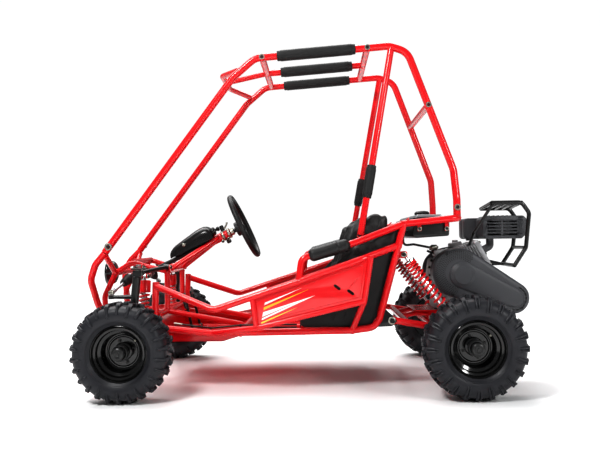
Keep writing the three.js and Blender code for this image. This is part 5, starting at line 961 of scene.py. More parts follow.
# Side frames: hip rails, the pressed side panel, the armrest tube and the tank rails
armrest = {"postX": 622, "top": (634, 374, 496), "end": (822, 350, 547), "bends": 34}
rearRail = {"x": 1218, "z": 636, "stubZ": 664, "boltHalf": 280}
panel = {
    "sheet": 3, "frontX": 452.48, "slots": ((760.6, 0.52), (809.3, 0.30)), "slotLength": 29, "slotWidth": 10,
    "slope": -0.64, "crease": ((789, 1.2, 372), (818, 1.6, 402), (847, 1.2, 433)), "lipInset": 19,
}
tank = {"half": 298, "frontX": 1047, "rearX": 1213, "bottomZ": 563, "topZ": 640}


def hipZ(x):
    a, b, c = hip["low"], hip["seat"], hip["back"]
    return onLine(x, a, b) if x < b[0] else onLine(x, b, c)


def lowerZ(x):
    return onLine(x, hip["lowerMid"], hip["panelRear"])


def slotOutline(x, z):
    # a slot with round ends, leaning down to the rear
    half, r = panel["slotLength"] / 2, panel["slotWidth"] / 2
    way = Vector((cos(panel["slope"]), sin(panel["slope"])))
    points = []
    for end, start in ((1, -90), (-1, 90)):
        for k in range(7):
            angle = radians(start + 30 * k) + panel["slope"]
            centre = Vector((x, z)) + way * (half - r) * end
            points.append((centre.x + r * cos(angle), centre.y + r * sin(angle)))
    return points


def makeSide(title, name, side):
    form = Form()
    y, h = side * floorHalf, side * hipHalf
    postFoot = at(floorPan["frontX"], y, floorPan["frontZ"])
    postTop = at(floorPan["frontX"] + 6.5, y, hip["postTop"])
    form.rod(postFoot, postTop, heavy, edge=2)
    railStart = at(floorPan["frontX"], y, hip["postTop"] - heavy)
    low, seatPoint, back = (onSide(hip[k], h) for k in ("low", "seat", "back"))
    end = onSide(hip["end"], y)
    form.tube([railStart, low, seatPoint, back, end])
    form.weld(railStart, low, heavy, postFoot, postTop, heavy)
    form.tube(
        [postFoot, at(floorPan["dipX"], y, floorPan["dipZ"]), at(floorPan["midX"], y, floorPan["midZ"]),
         at(floorPan["rearX"], y, floorPan["rearZ"]), onSide(upright["foot"], y),
         onSide(upright["top"], y)]
    )
    form.weld(postFoot + at(0, 0, 4), postTop, heavy, postFoot, postFoot + at(209, 0, -24), heavy)
    lowerEnd = onSide(hip["panelRear"], h)
    lowerStart = onSide(hip["lowerStart"], y)
    lowerMid = onSide(hip["lowerMid"], h)
    form.tube([lowerStart, lowerMid, lowerEnd], light)
    form.weld(lowerStart, lowerMid, light, lowerStart - xAxis, lowerStart + xAxis, heavy)
    frontTop = at(panel["frontX"], h, hipZ(panel["frontX"]))
    frontFoot = at(hip["lowerMid"][0] + heavy, h, hip["lowerMid"][1])
    form.rod(frontTop, frontFoot, light)
    form.weld(frontTop, frontFoot, light, low, seatPoint, heavy)
    form.weld(frontFoot, frontTop, light, lowerMid, lowerEnd, light)
    rearTop = at(hip["panelRear"][0] + 2 * heavy, h, hipZ(hip["panelRear"][0] + 2 * heavy))
    form.tube([rearTop, lowerEnd, at(floorPan["midX"], y, floorPan["midZ"])], light)
    form.weld(rearTop, lowerEnd, light, back, end, heavy)
    armFoot = at(armrest["postX"], h, hipZ(armrest["postX"]))
    armTop = at(armrest["top"][0], side * armrest["top"][1], armrest["top"][2])
    armEnd = at(armrest["end"][0], side * armrest["end"][1], armrest["end"][2])
    cornerTop = onSide(upright["top"], y)
    railEnd = at(rearRail["x"], y, rearRail["z"])
    form.tube(
        [armFoot, armTop, armEnd, cornerTop, railEnd, at(rearRail["x"], side * 0.15, rearRail["z"])],
        bends=armrest["bends"],
    )
    form.weld(armFoot, armTop, heavy, seatPoint, back, heavy)
    form.weld(cornerTop - at(9, 0, 32), cornerTop, heavy, armEnd, cornerTop, heavy)
    form.weld(end - at(20, side * -8, 7), end, heavy, onSide(upright["foot"], y), cornerTop, heavy)
    stubTop = at(rearRail["x"], side * rearRail["boltHalf"], rearRail["stubZ"])
    stubFoot = at(rearRail["x"], side * rearRail["boltHalf"], rearRail["z"])
    form.rod(stubFoot, stubTop, cageTube, edge=1)
    form.weld(stubFoot, stubTop, cageTube, stubFoot, stubFoot + yAxis, heavy)
    for x in (tank["frontX"] + 26, tank["rearX"] - 39):
        railZ = onLine(x, upright["top"], (rearRail["x"], rearRail["z"]))
        form.slab(
            oblong(x - 6.5, tank["bottomZ"] + 26, x + 6.5, railZ), side * (tank["half"] + 0.3),
            side * (tank["half"] + 9.3), putXz, 0.8,
        )
        form.bolt(at(x, side * (tank["half"] + 9.3), tank["bottomZ"] + 34), yAxis * side, 6, 8, 4)
    form.across(pivotX, pivotZ, y, side * layout["pivotInner"], layout["pivotPin"])
    form.make(f"sideFrame{title}", "frame", "red zinc blackBolt", [f"side_frame_{name}"], "red_paint")

    # pressed panel with turned-in edges, a crease and two slots
    sheet = Form()
    foot, rear = hip["lowerMid"][0], hip["panelRear"][0]
    outline = [
        (foot, lowerZ(foot)), (rear, lowerZ(rear)), (rear + 2 * heavy, hipZ(rear + 2 * heavy)),
        (hip["seat"][0], hip["seat"][1]), (panel["frontX"], hipZ(panel["frontX"])),
    ]
    holes = []
    for x, share in panel["slots"]:
        holes.append(slotOutline(x, lowerZ(x) + (hipZ(x) - lowerZ(x)) * share))
    sheet.slab(
        outline, side * (hipHalf - panel["sheet"] / 2), side * (hipHalf + panel["sheet"] / 2), putXz, 0.4, holes
    )
    crease = [at(x, h + side * rise, z) for x, rise, z in panel["crease"]]
    sheet.sweep(crease, [0.8, 2.2, 0.8], 8)
    # a raised lip runs round the panel just inside its tubes
    inner = insetOutline(outline, panel["lipInset"])
    lip = [at(a, h + side * 1.3, b) for a, b in roundOutline(inner, 12)]
    sheet.sweep(lip, 1.5, 6, closed=True)
    sheet.make(f"sidePanel{title}", "frame", "panel", (), "red_paint")

    # black pivot plate with its big bolt
    plate = Form()
    reach, r = 2 * heavy, 1.6 * heavy
    px, pz = pivotX, pivotZ
    plateOutline = roundOutline(
        [(upright["foot"][0] - 13, upright["foot"][1] - reach), (px, pz - r), (px + r, pz), (px, pz + r),
         (uprightX(pz + 2 * reach), pz + 2 * reach)], 8)
    face = floorHalf + 6
    plate.slab(plateOutline, side * (floorHalf + 1), side * face, putXz, 1.0)
    plate.bolt(at(px, side * face, pz), yAxis * side, 10, 14, 7)
    plate.make(f"pivotPlate{title}", "frame", "black zinc blackBolt", (), "black_paint")


for title, name, side in sides:
    makeSide(title, name, side)
print("stage: side frames")

# Cage: two bolted hoops, their pillars, the roof and the crossbars
cage = {
    "foot": (-116, 537), "brow": (376, 1190), "roof": (462, 1263), "crown": (975, 1298),
    "shoulder": (1045, 1274), "kink": (1210, 820), "pillarFootX": 852, "pillarTopX": 985, "frontBarX": 489,
    "rearBarX": 892, "visor": (316, 118, 1229), "midBarX": 1120, "bend": 70, "footDrop": 15,
    "kinkOut": 7, "boltFace": 13,
    # outer radius and bore of the washers
    "footWasher": (14, 8), "stubWasher": (12, 7), "barWasher": (11, 6.5),
}


def roofZ(x):
    return onLine(x, cage["roof"], cage["crown"])


def midBarZ():
    return onLine(cage["midBarX"], cage["shoulder"], cage["kink"])


def insideHoop(half):
    # the half length of a bar that stops at the flats of the hoops' eight-sided CAD tubes
    return half - cageTube * cos(pi / 8) - seated


def armRailZ(x):
    return onLine(x, armrest["end"][::2], upright["top"])


def pillarEnds(side):
    foot = at(cage["pillarFootX"], side * floorHalf, armRailZ(cage["pillarFootX"]) + 1.5 * heavy)
    return foot, at(cage["pillarTopX"], side * cageHalf, cage["crown"][1])


def ringWasher(form, place, axis, outer, inner, thick=2.5):
    # a broad pale washer, with a dark bolt head sunk in it
    form.lathe(bushing(inner, outer, 0, thick, 0.8), place, axis, 32, closed=True, finish=1)
    form.lathe(
        [(0, 0), (inner * 0.86, 0), (inner * 0.86, thick + 2), (inner * 0.7, thick + 3), (0, thick + 3)], place,
        axis, 6, finish=2,
    )


def makeHoop(title, name, side):
    form = Form()
    y = side * cageHalf
    points = [at(x, y, z) for x, z in (cage[k] for k in ("foot", "brow", "roof", "crown", "shoulder"))]
    points.append(at(cage["kink"][0], side * (cageHalf + cage["kinkOut"]), cage["kink"][1]))
    points.append(at(rearRail["x"], side * rearRail["boltHalf"], rearRail["stubZ"] + 42))
    points.append(at(rearRail["x"], side * rearRail["boltHalf"], rearRail["stubZ"] + seated))
    points[0] -= (points[1] - points[0]).normalized() * cage["footDrop"]
    form.tube(points, cageTube, cage["bend"], 18)
    foot, head = pillarEnds(side)
    r = pillarTube
    form.sweep([foot, head], r, 18)
    form.weld(foot, head, r, foot - at(0, 0, 12), foot - at(0, 0, 12) + at(30, 0, 11), heavy)
    form.weld(head, foot, r, points[2], points[3], cageTube)
    footPoint = onSide(cage["foot"], y)
    rise = (points[1] - points[0]).normalized()
    out, face = yAxis * side, cage["boltFace"]
    ringWasher(form, footPoint + rise * 12 + out * face, out, *cage["footWasher"])
    ringWasher(
        form, at(rearRail["x"], side * (rearRail["boltHalf"] + face), rearRail["stubZ"] + face), out,
        *cage["stubWasher"],
    )
    for x in (cage["frontBarX"], cage["rearBarX"]):
        ringWasher(form, at(x, side * (cageHalf + face), roofZ(x)), out, *cage["barWasher"])
    ringWasher(form, at(cage["midBarX"], side * (cageHalf + face + 3), midBarZ()), out, *cage["barWasher"])
    form.make(f"cageHoop{title}", "frame", "red zinc blackBolt", [f"cage_hoop_{name}"], "red_paint")


for title, name, side in sides:
    makeHoop(title, name, side)


def makeRoof():
    form = Form()
    half = insideHoop(cageHalf)
    frontZ, rearZ = roofZ(cage["frontBarX"]), roofZ(cage["rearBarX"])
    front, rear = at(cage["frontBarX"], 0, frontZ), at(cage["rearBarX"], 0, rearZ)
    for place in (front, rear):
        form.sweep([place - at(0, half, 0), place + at(0, half, 0)], heavy, 16)
    visorX, visorHalf, visorZ = cage["visor"]
    startX, startZ = cage["brow"][0] + 14, cage["brow"][1] + 28
    form.tube(
        [
            at(startX, -half, startZ), at(visorX, -visorHalf, visorZ), at(visorX, visorHalf, visorZ),
            at(startX, half, startZ),
        ],
        light,
    )
    nose = at(visorX, 0, visorZ)
    form.sweep([nose, front], light, 14)
    form.sweep([front, rear], heavy, 16)
    across = yAxis
    for a, b, r, other in (
        (front, nose, light, heavy), (nose, front, light, light), (front, rear, heavy, heavy),
        (rear, front, heavy, heavy),
    ):
        form.weld(a, b, r, a - across, a + across, other)
    form.make("roofFrame", "frame", "red", ["roof_frame"], "red_paint")
    bar = Form()
    share = (cage["midBarX"] - cage["shoulder"][0]) / (cage["kink"][0] - cage["shoulder"][0])
    barHalf = insideHoop(cageHalf + cage["kinkOut"] * share)
    bar.rod(at(cage["midBarX"], -barHalf, midBarZ()), at(cage["midBarX"], barHalf, midBarZ()), heavy, 18, edge=1.2)
    bar.make("rearCrossbar", "frame", "red", ["rear_crossbar"], "red_paint")


makeRoof()
print("stage: cage")

# Foam on the roof bars and pillars, and the two padded armrests
sleeves = {
    "roofOuter": 21.5, "roofFrom": 547, "roofTo": 846, "gripOuter": 19, "gripFrom": 716, "gripTo": 838,
    "armOuter": 24.5, "armFrom": 0.14, "armTo": 0.93, "band": 14, "fit": 0.2,
}


def foamSleeve(name, a, b, outer, bore, node):
    # a foam tube whose ends are drawn in by a wound band
    form = Form()
    length, band = (b - a).length, sleeves["band"]
    edge = [
        (bore, 0), (outer - 3.4, 0), (outer - 2.2, 1.2), (outer - 1.9, band - 3), (outer - 1.2, band - 1),
        (outer - 0.3, band + 2),
    ]
    middle = []
    for i in range(1, 12):
        middle.append((outer - 0.15 - 0.35 * abs(sin(i * 2.1)), band + 2 + (length - 2 * band - 4) * i / 12))
    profile = edge + middle + [(r, length - d) for r, d in reversed(edge)]
    form.lathe(profile, a, b - a, 48, closed=True)
    seam = (b - a).normalized().cross(yAxis).normalized() * (outer - 0.5)
    form.sweep([a + seam + (b - a) * 0.07, b + seam - (b - a) * 0.07], 0.7, 6)
    piece = form.make(name, "frame", "foam", [node], "foam")
    return piece


for title, name, side in (sides[0], ("Centre", "centre", 0), sides[1]):
    ends = [at(x, side * cageHalf, roofZ(x)) for x in (sleeves["roofFrom"], sleeves["roofTo"])]
    bore = (cageTube if side else heavy) + sleeves["fit"]
    foamSleeve(f"roofPad{title}", *ends, sleeves["roofOuter"], bore, f"roof_pad_{name}")
for title, name, side in sides:
    foot, head = pillarEnds(side)
    ends = [blendTo(foot, head, (z - foot.z) / (head.z - foot.z)) for z in (sleeves["gripFrom"], sleeves["gripTo"])]
    foamSleeve(
        f"pillarGrip{title}", *ends, sleeves["gripOuter"], pillarTube + sleeves["fit"], f"pillar_grip_{name}"
    )


def armPad(title, name, side):
    # a stuffed vinyl roll: gathered ends, a sewn ring and soft dents
    form = Form()
    top = at(armrest["top"][0], side * armrest["top"][1], armrest["top"][2])
    tail = at(armrest["end"][0], side * armrest["end"][1], armrest["end"][2])
    a, b = blendTo(top, tail, sleeves["armFrom"]), blendTo(top, tail, sleeves["armTo"])
    outer, length = sleeves["armOuter"], (b - a).length
    way = (b - a).normalized()
    across = way.orthogonal().normalized()
    other = way.cross(across)
    rings = []
    for i in range(61):
        t = i / 60
        near = min(t, 1 - t) * length
        r = outer * (1 - 0.42 * max(0, 1 - near / 17) ** 2.2)
        r -= 2.4 * exp(-((t - 0.7) * length / 2.2) ** 2)
        ring = []
        for angle in turnsOf(40):
            pull = 1 + 0.02 * sin(7 * angle) * exp(-near / 14) + 0.012 * sin(2 * angle + t * 9)
            ring.append(a + way * t * length + spoke(across, other, angle) * r * pull * 0.985)
        rings.append(ring)
    form.rings(rings)
    piece = form.make(f"armrestPad{title}", "frame", "roll", [f"armrest_pad_{name}"], "vinyl")


for title, name, side in sides:
    armPad(title, name, side)
print("stage: sleeves and armrests")

# Seat: base, back and side bolsters, each swelled by cloth pressure and then sewn
seat = {
    "half": 240, "baseX": 750, "baseZ": 275.5, "baseLength": 222, "baseThick": 70, "baseSeams": 3,
    "backX": 897, "backZ": 452, "backLength": 372, "backThick": 78, "backSeams": 5, "recline": radians(75),
    "wing": 46, "voxel": 0.0055, "pressure": 4.0, "cap": 0.012, "frames": 20, "seamDepth": 8.0, "seamWidth": 5.0,
    "wingOutline": (
        (712, 318), (716, 405), (745, 480), (772, 560), (796, 618), (845, 652), (905, 668), (958, 664), (964, 606),
        (905, 500), (846, 318),
    ),
    "sideTop": ((757, 464), (832, 541), (999, 603)),
}
tub = {
    "half": 306.4, "wall": 4, "frontX": 622, "bottomZ": 235.6, "seatZ": 275, "frontTop": 325, "arm": (753, 461),
    "shoulder": (832, 540), "backTop": 604,
}


quilt = {
    "edge": 14, "gather": 0.9, "gatherWave": 5.5, "gatherReach": 15, "fade": 26, "border": 3.5, "borderInset": 20,
    "swell": 1.1,
}


def frozen(piece):
    # the piece's mesh as its modifiers leave it
    graph = bpy.context.evaluated_depsgraph_get()
    mesh = bpy.data.meshes.new_from_object(piece.evaluated_get(graph))
    piece.modifiers.clear()
    old, piece.data = piece.data, mesh
    bpy.data.meshes.remove(old)


def placesOf(piece):
    flat = np.empty(len(piece.data.vertices) * 3)
    piece.data.vertices.foreach_get("co", flat)
    return flat.reshape(-1, 3)


def puff(piece):
    remesh = piece.modifiers.new("Remesh", "REMESH")
    remesh.mode = "VOXEL"
    remesh.voxel_size = seat["voxel"]
    frozen(piece)
    before = placesOf(piece)
    cloth = piece.modifiers.new("Cloth", "CLOTH")
    cloth.settings.quality = 5
    cloth.settings.mass = 0.3
    cloth.settings.tension_stiffness = cloth.settings.compression_stiffness = 14
    cloth.settings.shear_stiffness = 5
    cloth.settings.bending_stiffness = 0.6
    cloth.settings.use_pressure = True
    cloth.settings.uniform_pressure_force = seat["pressure"]
    cloth.settings.effector_weights.gravity = 0
    cloth.point_cache.frame_start, cloth.point_cache.frame_end = 1, seat["frames"]
    for number in range(1, seat["frames"] + 1):
        bpy.context.scene.frame_set(number)
    frozen(piece)
    bpy.context.scene.frame_set(1)
    moved = placesOf(piece) - before
    reach = np.linalg.norm(moved, axis=1, keepdims=True)
    moved *= np.minimum(1, seat["cap"] / np.maximum(reach, 1e-9))
    piece.data.vertices.foreach_set("co", (before + moved).ravel())
    smooth = piece.modifiers.new("Smoother", "SUBSURF")
    smooth.levels = smooth.render_levels = 1
    frozen(piece)
    piece.data.polygons.foreach_set("use_smooth", [True] * len(piece.data.polygons))


def sewn(piece, centre, along, face, length, width, seams):
    # sewn channels across the front face, gathers beside them, and a border seam round the edge
    places = placesOf(piece)
    origin = np.array([(a + b) / 1000 for a, b in zip(centre, rowShift)])
    u = (places - origin) @ np.array(along) * 1000
    w = (places - origin) @ np.array(face) * 1000
    v = places[:, 1] * 1000
    front = np.clip(w / quilt["edge"], 0, 1)
    dent = np.zeros(len(places))
    for i in range(1, seams):
        line = (i / seams - 0.5) * length + 1.5 * np.sin(v / 60 + i)
        off = np.abs(u - line)
        dent += seat["seamDepth"] * np.exp(-(off / seat["seamWidth"]) ** 2)
        gathers = np.sin(v / quilt["gatherWave"] + i * 2 + 2.2 * np.sin(v / 37))
        dent += quilt["gather"] * gathers * np.exp(-(off / quilt["gatherReach"]) ** 2)
    rim = np.minimum(length / 2 - np.abs(u), width / 2 - np.abs(v))
    dent = dent * np.clip(rim / quilt["fade"], 0, 1)
    dent += quilt["border"] * np.exp(-((rim - quilt["borderInset"]) / quilt["border"]) ** 2)
    dent += quilt["swell"] * np.sin(u / 23 + np.sin(v / 41) * 2) * np.sin(v / 31)
    places -= np.array(face) * (dent * front)[:, None] / 1000
    piece.data.vertices.foreach_set("co", places.ravel())
    piece.data.update()


def makePad(name, centre, along, face, length, width, thick, seams, replaces=()):
    form = Form()
    outline = roundOutline(insetOutline(oblong(-length / 2, -width / 2, length / 2, width / 2), 7), 34, 0.25)
    origin = at(*centre)

    def put(a, b, w):
        return origin + at(*along) * a + at(0, b, 0) + at(*face) * w

    form.slab(outline, 6 - thick / 2, thick / 2 - 2, put, 16)
    piece = form.make(name, "frame", "vinyl", replaces, "vinyl")
    puff(piece)
    sewn(piece, centre, along, face, length, width, seams)
    return piece


def makeWing(title, side):
    # side bolster: a stuffed panel with quilted folds on its outer face
    form = Form()
    outer = tub["half"] - tub["wall"] - 3
    form.slab(
        roundOutline(insetOutline(seat["wingOutline"], 5), 22, 0.3), side * (outer - seat["wing"] + 8),
        side * (outer - 4), putXz, 13,
    )
    piece = form.make(f"seatWing{title}", "frame", "vinyl", (), "vinyl")
    puff(piece)
    places = placesOf(piece)
    x = places[:, 0] * 1000 - rowShift[0]
    z = places[:, 2] * 1000 - rowShift[2]
    y = places[:, 1] * 1000 * side
    mid = outer - seat["wing"] / 2
    fold = 0.8 * np.sin((x + z * 0.6) / 13 + 1.7 * np.sin(z / 33)) + 4.0 * np.exp(
        -(((z - 470) - (x - 790) * 0.4) / 5) ** 2
    )
    fold += 4.0 * np.exp(-(((z - 400) - (x - 790) * 0.4) / 5) ** 2)
    fold += 3.6 * np.clip((z - 570) / 30, 0, 1) * np.abs(np.sin((x - z * 0.35) / 15))
    places[:, 2] -= 0.006 * np.clip((z - 600) / 30, 0, 1) * np.abs(np.sin(x / 17)) ** 6
    places[:, 1] -= side * np.sign(y - mid) * fold * np.clip(np.abs(y - mid) / 10, 0, 1) / 1000
    piece.data.vertices.foreach_set("co", places.ravel())
    piece.data.update()


def addSeatSide(title, side, back):
    # the seat's vinyl side above the hip rail, drawn into slanting folds
    form = Form()
    rows, columns = 26, 60
    points, faces = [], []
    x0, x1 = seat["sideTop"][0][0], back(upright["top"][1]) - 3
    for i in range(rows + 1):
        for j in range(columns + 1):
            t, u = i / rows, j / columns
            x = x0 + (x1 - x0) * u
            low = onLine(x, hip["seat"], hip["end"]) - 12
            high = np.interp(x, *zip(*seat["sideTop"]))
            z = low + max(high - low, 6) * t
            edge = min(1, 5 * t, 5 * (1 - t), 8 * u, 8 * (1 - u))
            fold = 1.5 * sin((x * 0.8 + z * 1.3) / 15 + 1.6 * sin(x / 47)) + 1.2 * sin((x - z * 0.7) / 9)
            y = tub["half"] + 0.4 + edge * (3.6 + 1.2 * fold)
            points.append(at(x, side * y, z))
    wide = columns + 1
    for i in range(rows):
        for j in range(columns):
            a = i * wide + j
            faces.append((a, a + 1, a + wide + 1, a + wide))
    count = len(points)
    rim = [*range(columns)] + [i * wide + columns for i in range(rows)]
    rim += [rows * wide + j for j in range(columns, 0, -1)] + [i * wide for i in range(rows, 0, -1)]
    for k, a in enumerate(rim):
        points.append(at(points[a].x, side * (tub["half"] - 0.5), points[a].z))
        faces.append((a, rim[(k + 1) % len(rim)], count + (k + 1) % len(rim), count + k))
    faces.append(tuple(range(count, count + len(rim))))
    form.add(points, faces)
    form.make(f"seatSide{title}", "frame", "vinyl", (), "vinyl", smooth=60)


def makeTub():
    # black sheet tub under and behind the cushions
    form = Form()

    def back(z):
        return uprightX(z) - heavy - running

    half, bottom, front = tub["half"], tub["bottomZ"], tub["frontX"]
    outline = [
        (front, bottom + 13), (front + 13, bottom), (back(bottom) - 13, bottom), (back(tub["seatZ"]), tub["seatZ"]),
        (back(upright["top"][1]), tub["backTop"]), tub["shoulder"], tub["arm"], (front, tub["frontTop"]),
    ]
    for title, _, side in sides:
        addSeatSide(title, side, back)
        form.slab(roundOutline(outline, 12), side * (half - tub["wall"]), side * half, putXz, 1.2)
        # pressed ribs stiffen the side
        for share in (0.28, 0.5, 0.72):
            low, high = at(690 + 190 * share, side * (half + 0.3), 262), at(
                735 + 190 * share, side * (half + 0.3), 262 + 300 * share
            )
            form.sweep([low, blendTo(low, high, 0.05), blendTo(low, high, 0.95), high], [0.5, 2.0, 2.0, 0.5], 10)
    line = roundRoute([at(x, 0, z) for x, z in outline[:5]], 14, 0.3)
    form.slab(sheetOutline(line, tub["wall"]), 1 - half, half - 1)
    # a rolled edge runs round the opening, and two plates close the front beside the cushion
    for side in (-1, 1):
        edge = roundRoute([at(x, side * (half - 2), z) for x, z in outline[4:]], 12)
        form.sweep(edge, 3.4, 10)
        form.slab(
            oblong(side * (half - 2), bottom, side * seat["half"], tub["frontTop"]), front, front + tub["wall"],
            putYz, 1.0,
        )
    form.make("seatTub", "frame", "tub", ["seat_tub"], "black_plastic")


makePad("seatBase", (seat["baseX"], 0, seat["baseZ"]), (1, 0, 0), (0, 0, 1), seat["baseLength"], seat["half"] * 2,
        seat["baseThick"], seat["baseSeams"], ["seat"])
upBack = (cos(seat["recline"]), 0, sin(seat["recline"]))
makePad("seatBack", (seat["backX"], 0, seat["backZ"]), upBack, (-upBack[2], 0, upBack[0]), seat["backLength"],
        seat["half"] * 2 + seat["wing"], seat["backThick"], seat["backSeams"])
for title, name, side in sides:
    makeWing(title, side)
makeTub()
print("stage: seat")

# Steering wheel and column, with the cover over them, and the headlight
wheel = {
    "radius": 131, "grip": 11.5, "hub": 30, "depth": 16, "spoke": 24, "thick": 5, "dish": 20, "shaft": 9,
    "end": 469.9,
}
cowl = {
    "half": 74, "wall": 3, "corner": 34, "base": 6,
    "line": (
        (322, 12), (320, 24), (314, 34), (304, 41), (290, 46), (250, 54), (217, 60), (190, 65), (168, 67),
        (152, 66), (141, 62), (134, 54), (130, 42), (129, 22),
    ),
}
lamp = {"x": -150, "z": 436, "radius": 51, "depth": 44, "neck": 10}


def aboveColumn(distance, lift):
    return onColumn(distance) + columnUp * lift


def makeWheel():
    form = Form()
    facing = -columnDown
    across = yAxis
    upward = facing.cross(across)
    ring = [onColumn(0) + spoke(across, upward, angle) * wheel["radius"] for angle in turnsOf(72)]
    form.sweep(ring, wheel["grip"], 20, closed=True, finish=0)
    hub = [
        (0, 0), (wheel["hub"] - 2, 0), (wheel["hub"], 2), (wheel["hub"], wheel["depth"] + 3),
        (wheel["hub"] - 3, wheel["depth"] + 5), (wheel["hub"] * 0.7, wheel["depth"] + 5),
        (wheel["hub"] * 0.66, wheel["depth"] + 3), (0, wheel["depth"] + 3),
    ]
    form.lathe(hub, onColumn(wheel["dish"] + wheel["depth"]), facing, 40, finish=0)
    for degrees in (0, 180, 270):
        out = spoke(across, upward, radians(degrees))
        beside = facing.cross(out)
        start = onColumn(wheel["dish"])
        lift = (wheel["dish"] - wheel["grip"] / 2) / wheel["radius"]

        def put(a, b, w):
            return start + out * a + beside * b + facing * (w + a * lift)

        s, r = wheel["spoke"], wheel["radius"]
        outline = [
            (wheel["hub"] * 0.6, -s * 0.6), (r - wheel["dish"], -s / 2), (r, -s / 2), (r, s / 2),
            (r - wheel["dish"], s / 2), (wheel["hub"] * 0.6, s * 0.6),
        ]
        slot = roundOutline(oblong(r * 0.42, -4, r * 0.72, 4), 3.9)
        form.slab(outline, 0, wheel["thick"], put, 1.2, [slot])
    for degrees in (45, 135, 225, 315):
        out = spoke(across, upward, radians(degrees))
        form.lathe(
            [(0, 0), (4.5, 0), (4.5, 3.4), (3.6, 4), (0, 4)],
            onColumn(wheel["dish"] - 4.6) + out * wheel["hub"] * 0.45, facing, 6, finish=1,
        )
    form.sweep([onColumn(wheel["dish"]), onColumn(wheel["end"])], wheel["shaft"], 24, finish=0)
    collar = wheel["shaft"] * 1.7
    form.lathe(bushing(0, collar, 0, 14), onColumn(sleeve["upper"] - running), facing, 32, finish=1)
    form.make("steeringWheel", "steering", "boot zinc", ["steering_wheel"], "black_plastic")


def makeCowl():
    # a moulded hood: an arch of even wall, drawn down at the nose and behind
    form = Form()
    rings = []
    for distance, lift in cowl["line"]:
        loop = []
        for wall, order in ((0, 1), (cowl["wall"], -1)):
            half, top = cowl["half"] - wall, max(lift - wall, cowl["base"] + 1)
            corner = min(cowl["corner"], top - cowl["base"])
            arch = [(-half, cowl["base"])]
            for k in range(7):
                angle = pi - pi / 2 * k / 6
                arch.append((-half + corner + corner * cos(angle), top - corner + corner * sin(angle)))
            crown = [(y, top + 3.5 * (1 - (y / half) ** 2)) for y in (-half * 0.4, 0, half * 0.4)]
            arch += crown + [(-a, b) for a, b in reversed(arch)]
            loop += arch[::order]
        rings.append([aboveColumn(distance, b) + at(0, a, 0) for a, b in loop])
    form.rings(rings)
    # switch bracket and knob behind the hood
    form.lathe(
        [(0, 0), (15, 0), (17, 3), (17, 14), (14, 18), (0, 18)], aboveColumn(131, 34) + at(0, -34, 0), -columnDown,
        28,
    )
    form.lathe(
        [(0, 0), (6, 0), (6, 16), (9, 18), (10, 24), (8, 28), (0, 29)], aboveColumn(131, 40) + at(0, 36, 0),
        -columnDown, 24, finish=1,
    )
    # clamps, ignition switch and lever on the column under the wheel
    for distance in (74, 100):
        clamp = [(18.8, 0), (21, 0), (22, 1.2), (22, 9.8), (21, 11), (18.8, 11)]
        form.lathe(clamp, onColumn(distance), -columnDown, 36, closed=True, finish=2)
        form.bolt(aboveColumn(distance + 5.5, -20) + at(0, -12, 0), -yAxis, 5, 6.5, 4, 2, 1)
    form.lathe([(0, 0), (9, 0), (9, 20), (7, 24), (0, 24)], aboveColumn(88, 20), columnUp, 24, finish=1)
    form.lathe([(0, 0), (7, 0), (10, 6), (10, 14), (6, 18), (0, 18)], aboveColumn(84, -20), -columnUp, 24, finish=1)
    form.sweep([aboveColumn(79, 26), aboveColumn(64, 38), aboveColumn(58, 46)], [4, 3.4, 4.4], 16, finish=2)
    for side in (-1, 1):
        place = aboveColumn(250, 34) + at(0, side * cowl["half"], 0)
        form.bolt(place, yAxis * side, 4.5, 7, 3, 2, 2)
    form.make("dashCowl", "frame", "cowl boot zinc", ["dash_cowl"], "black_plastic", smooth=50)


def makeLamp():
    form = Form()
    r, depth = lamp["radius"], lamp["depth"]
    face = at(lamp["x"] - depth, 0, lamp["z"])
    bowl = [(r * 0.90, 3), (r * 0.93, 0.4), (r * 0.97, 0), (r, 2), (r, 9), (r * 0.97, 12), (r * 0.95, depth * 0.45)]
    bowl += [(r * cos(t) * 0.95, depth * 0.45 + depth * 0.55 * sin(t)) for t in (0.3, 0.6, 0.9, 1.15, 1.35)]
    bowl.append((0, depth))
    form.lathe([(0, 5), (r * 0.85, 5)] + bowl, face, xAxis, 48)
    glass = [(0, 0.2), (r * 0.3, 0.5), (r * 0.6, 1.4), (r * 0.84, 3.2), (r * 0.9, 4.6), (0, 4.6)]
    form.lathe(glass, face, xAxis, 48, finish=1)
    form.rod(at(lamp["x"] - 3, 0, lamp["z"]), at(box["brow"][0] - 12, 0, lamp["z"]), lamp["neck"], 20, finish=2)
    form.bolt(at(lamp["x"] - depth * 0.4, -r - 0.4, lamp["z"]), -yAxis, 4, 6, 3, 2, 2)
    form.make("headlight", "frame", "rim lens blackBolt", ["headlight"], "black_plastic")


makeWheel()
makeCowl()
makeLamp()
print("stage: steering")

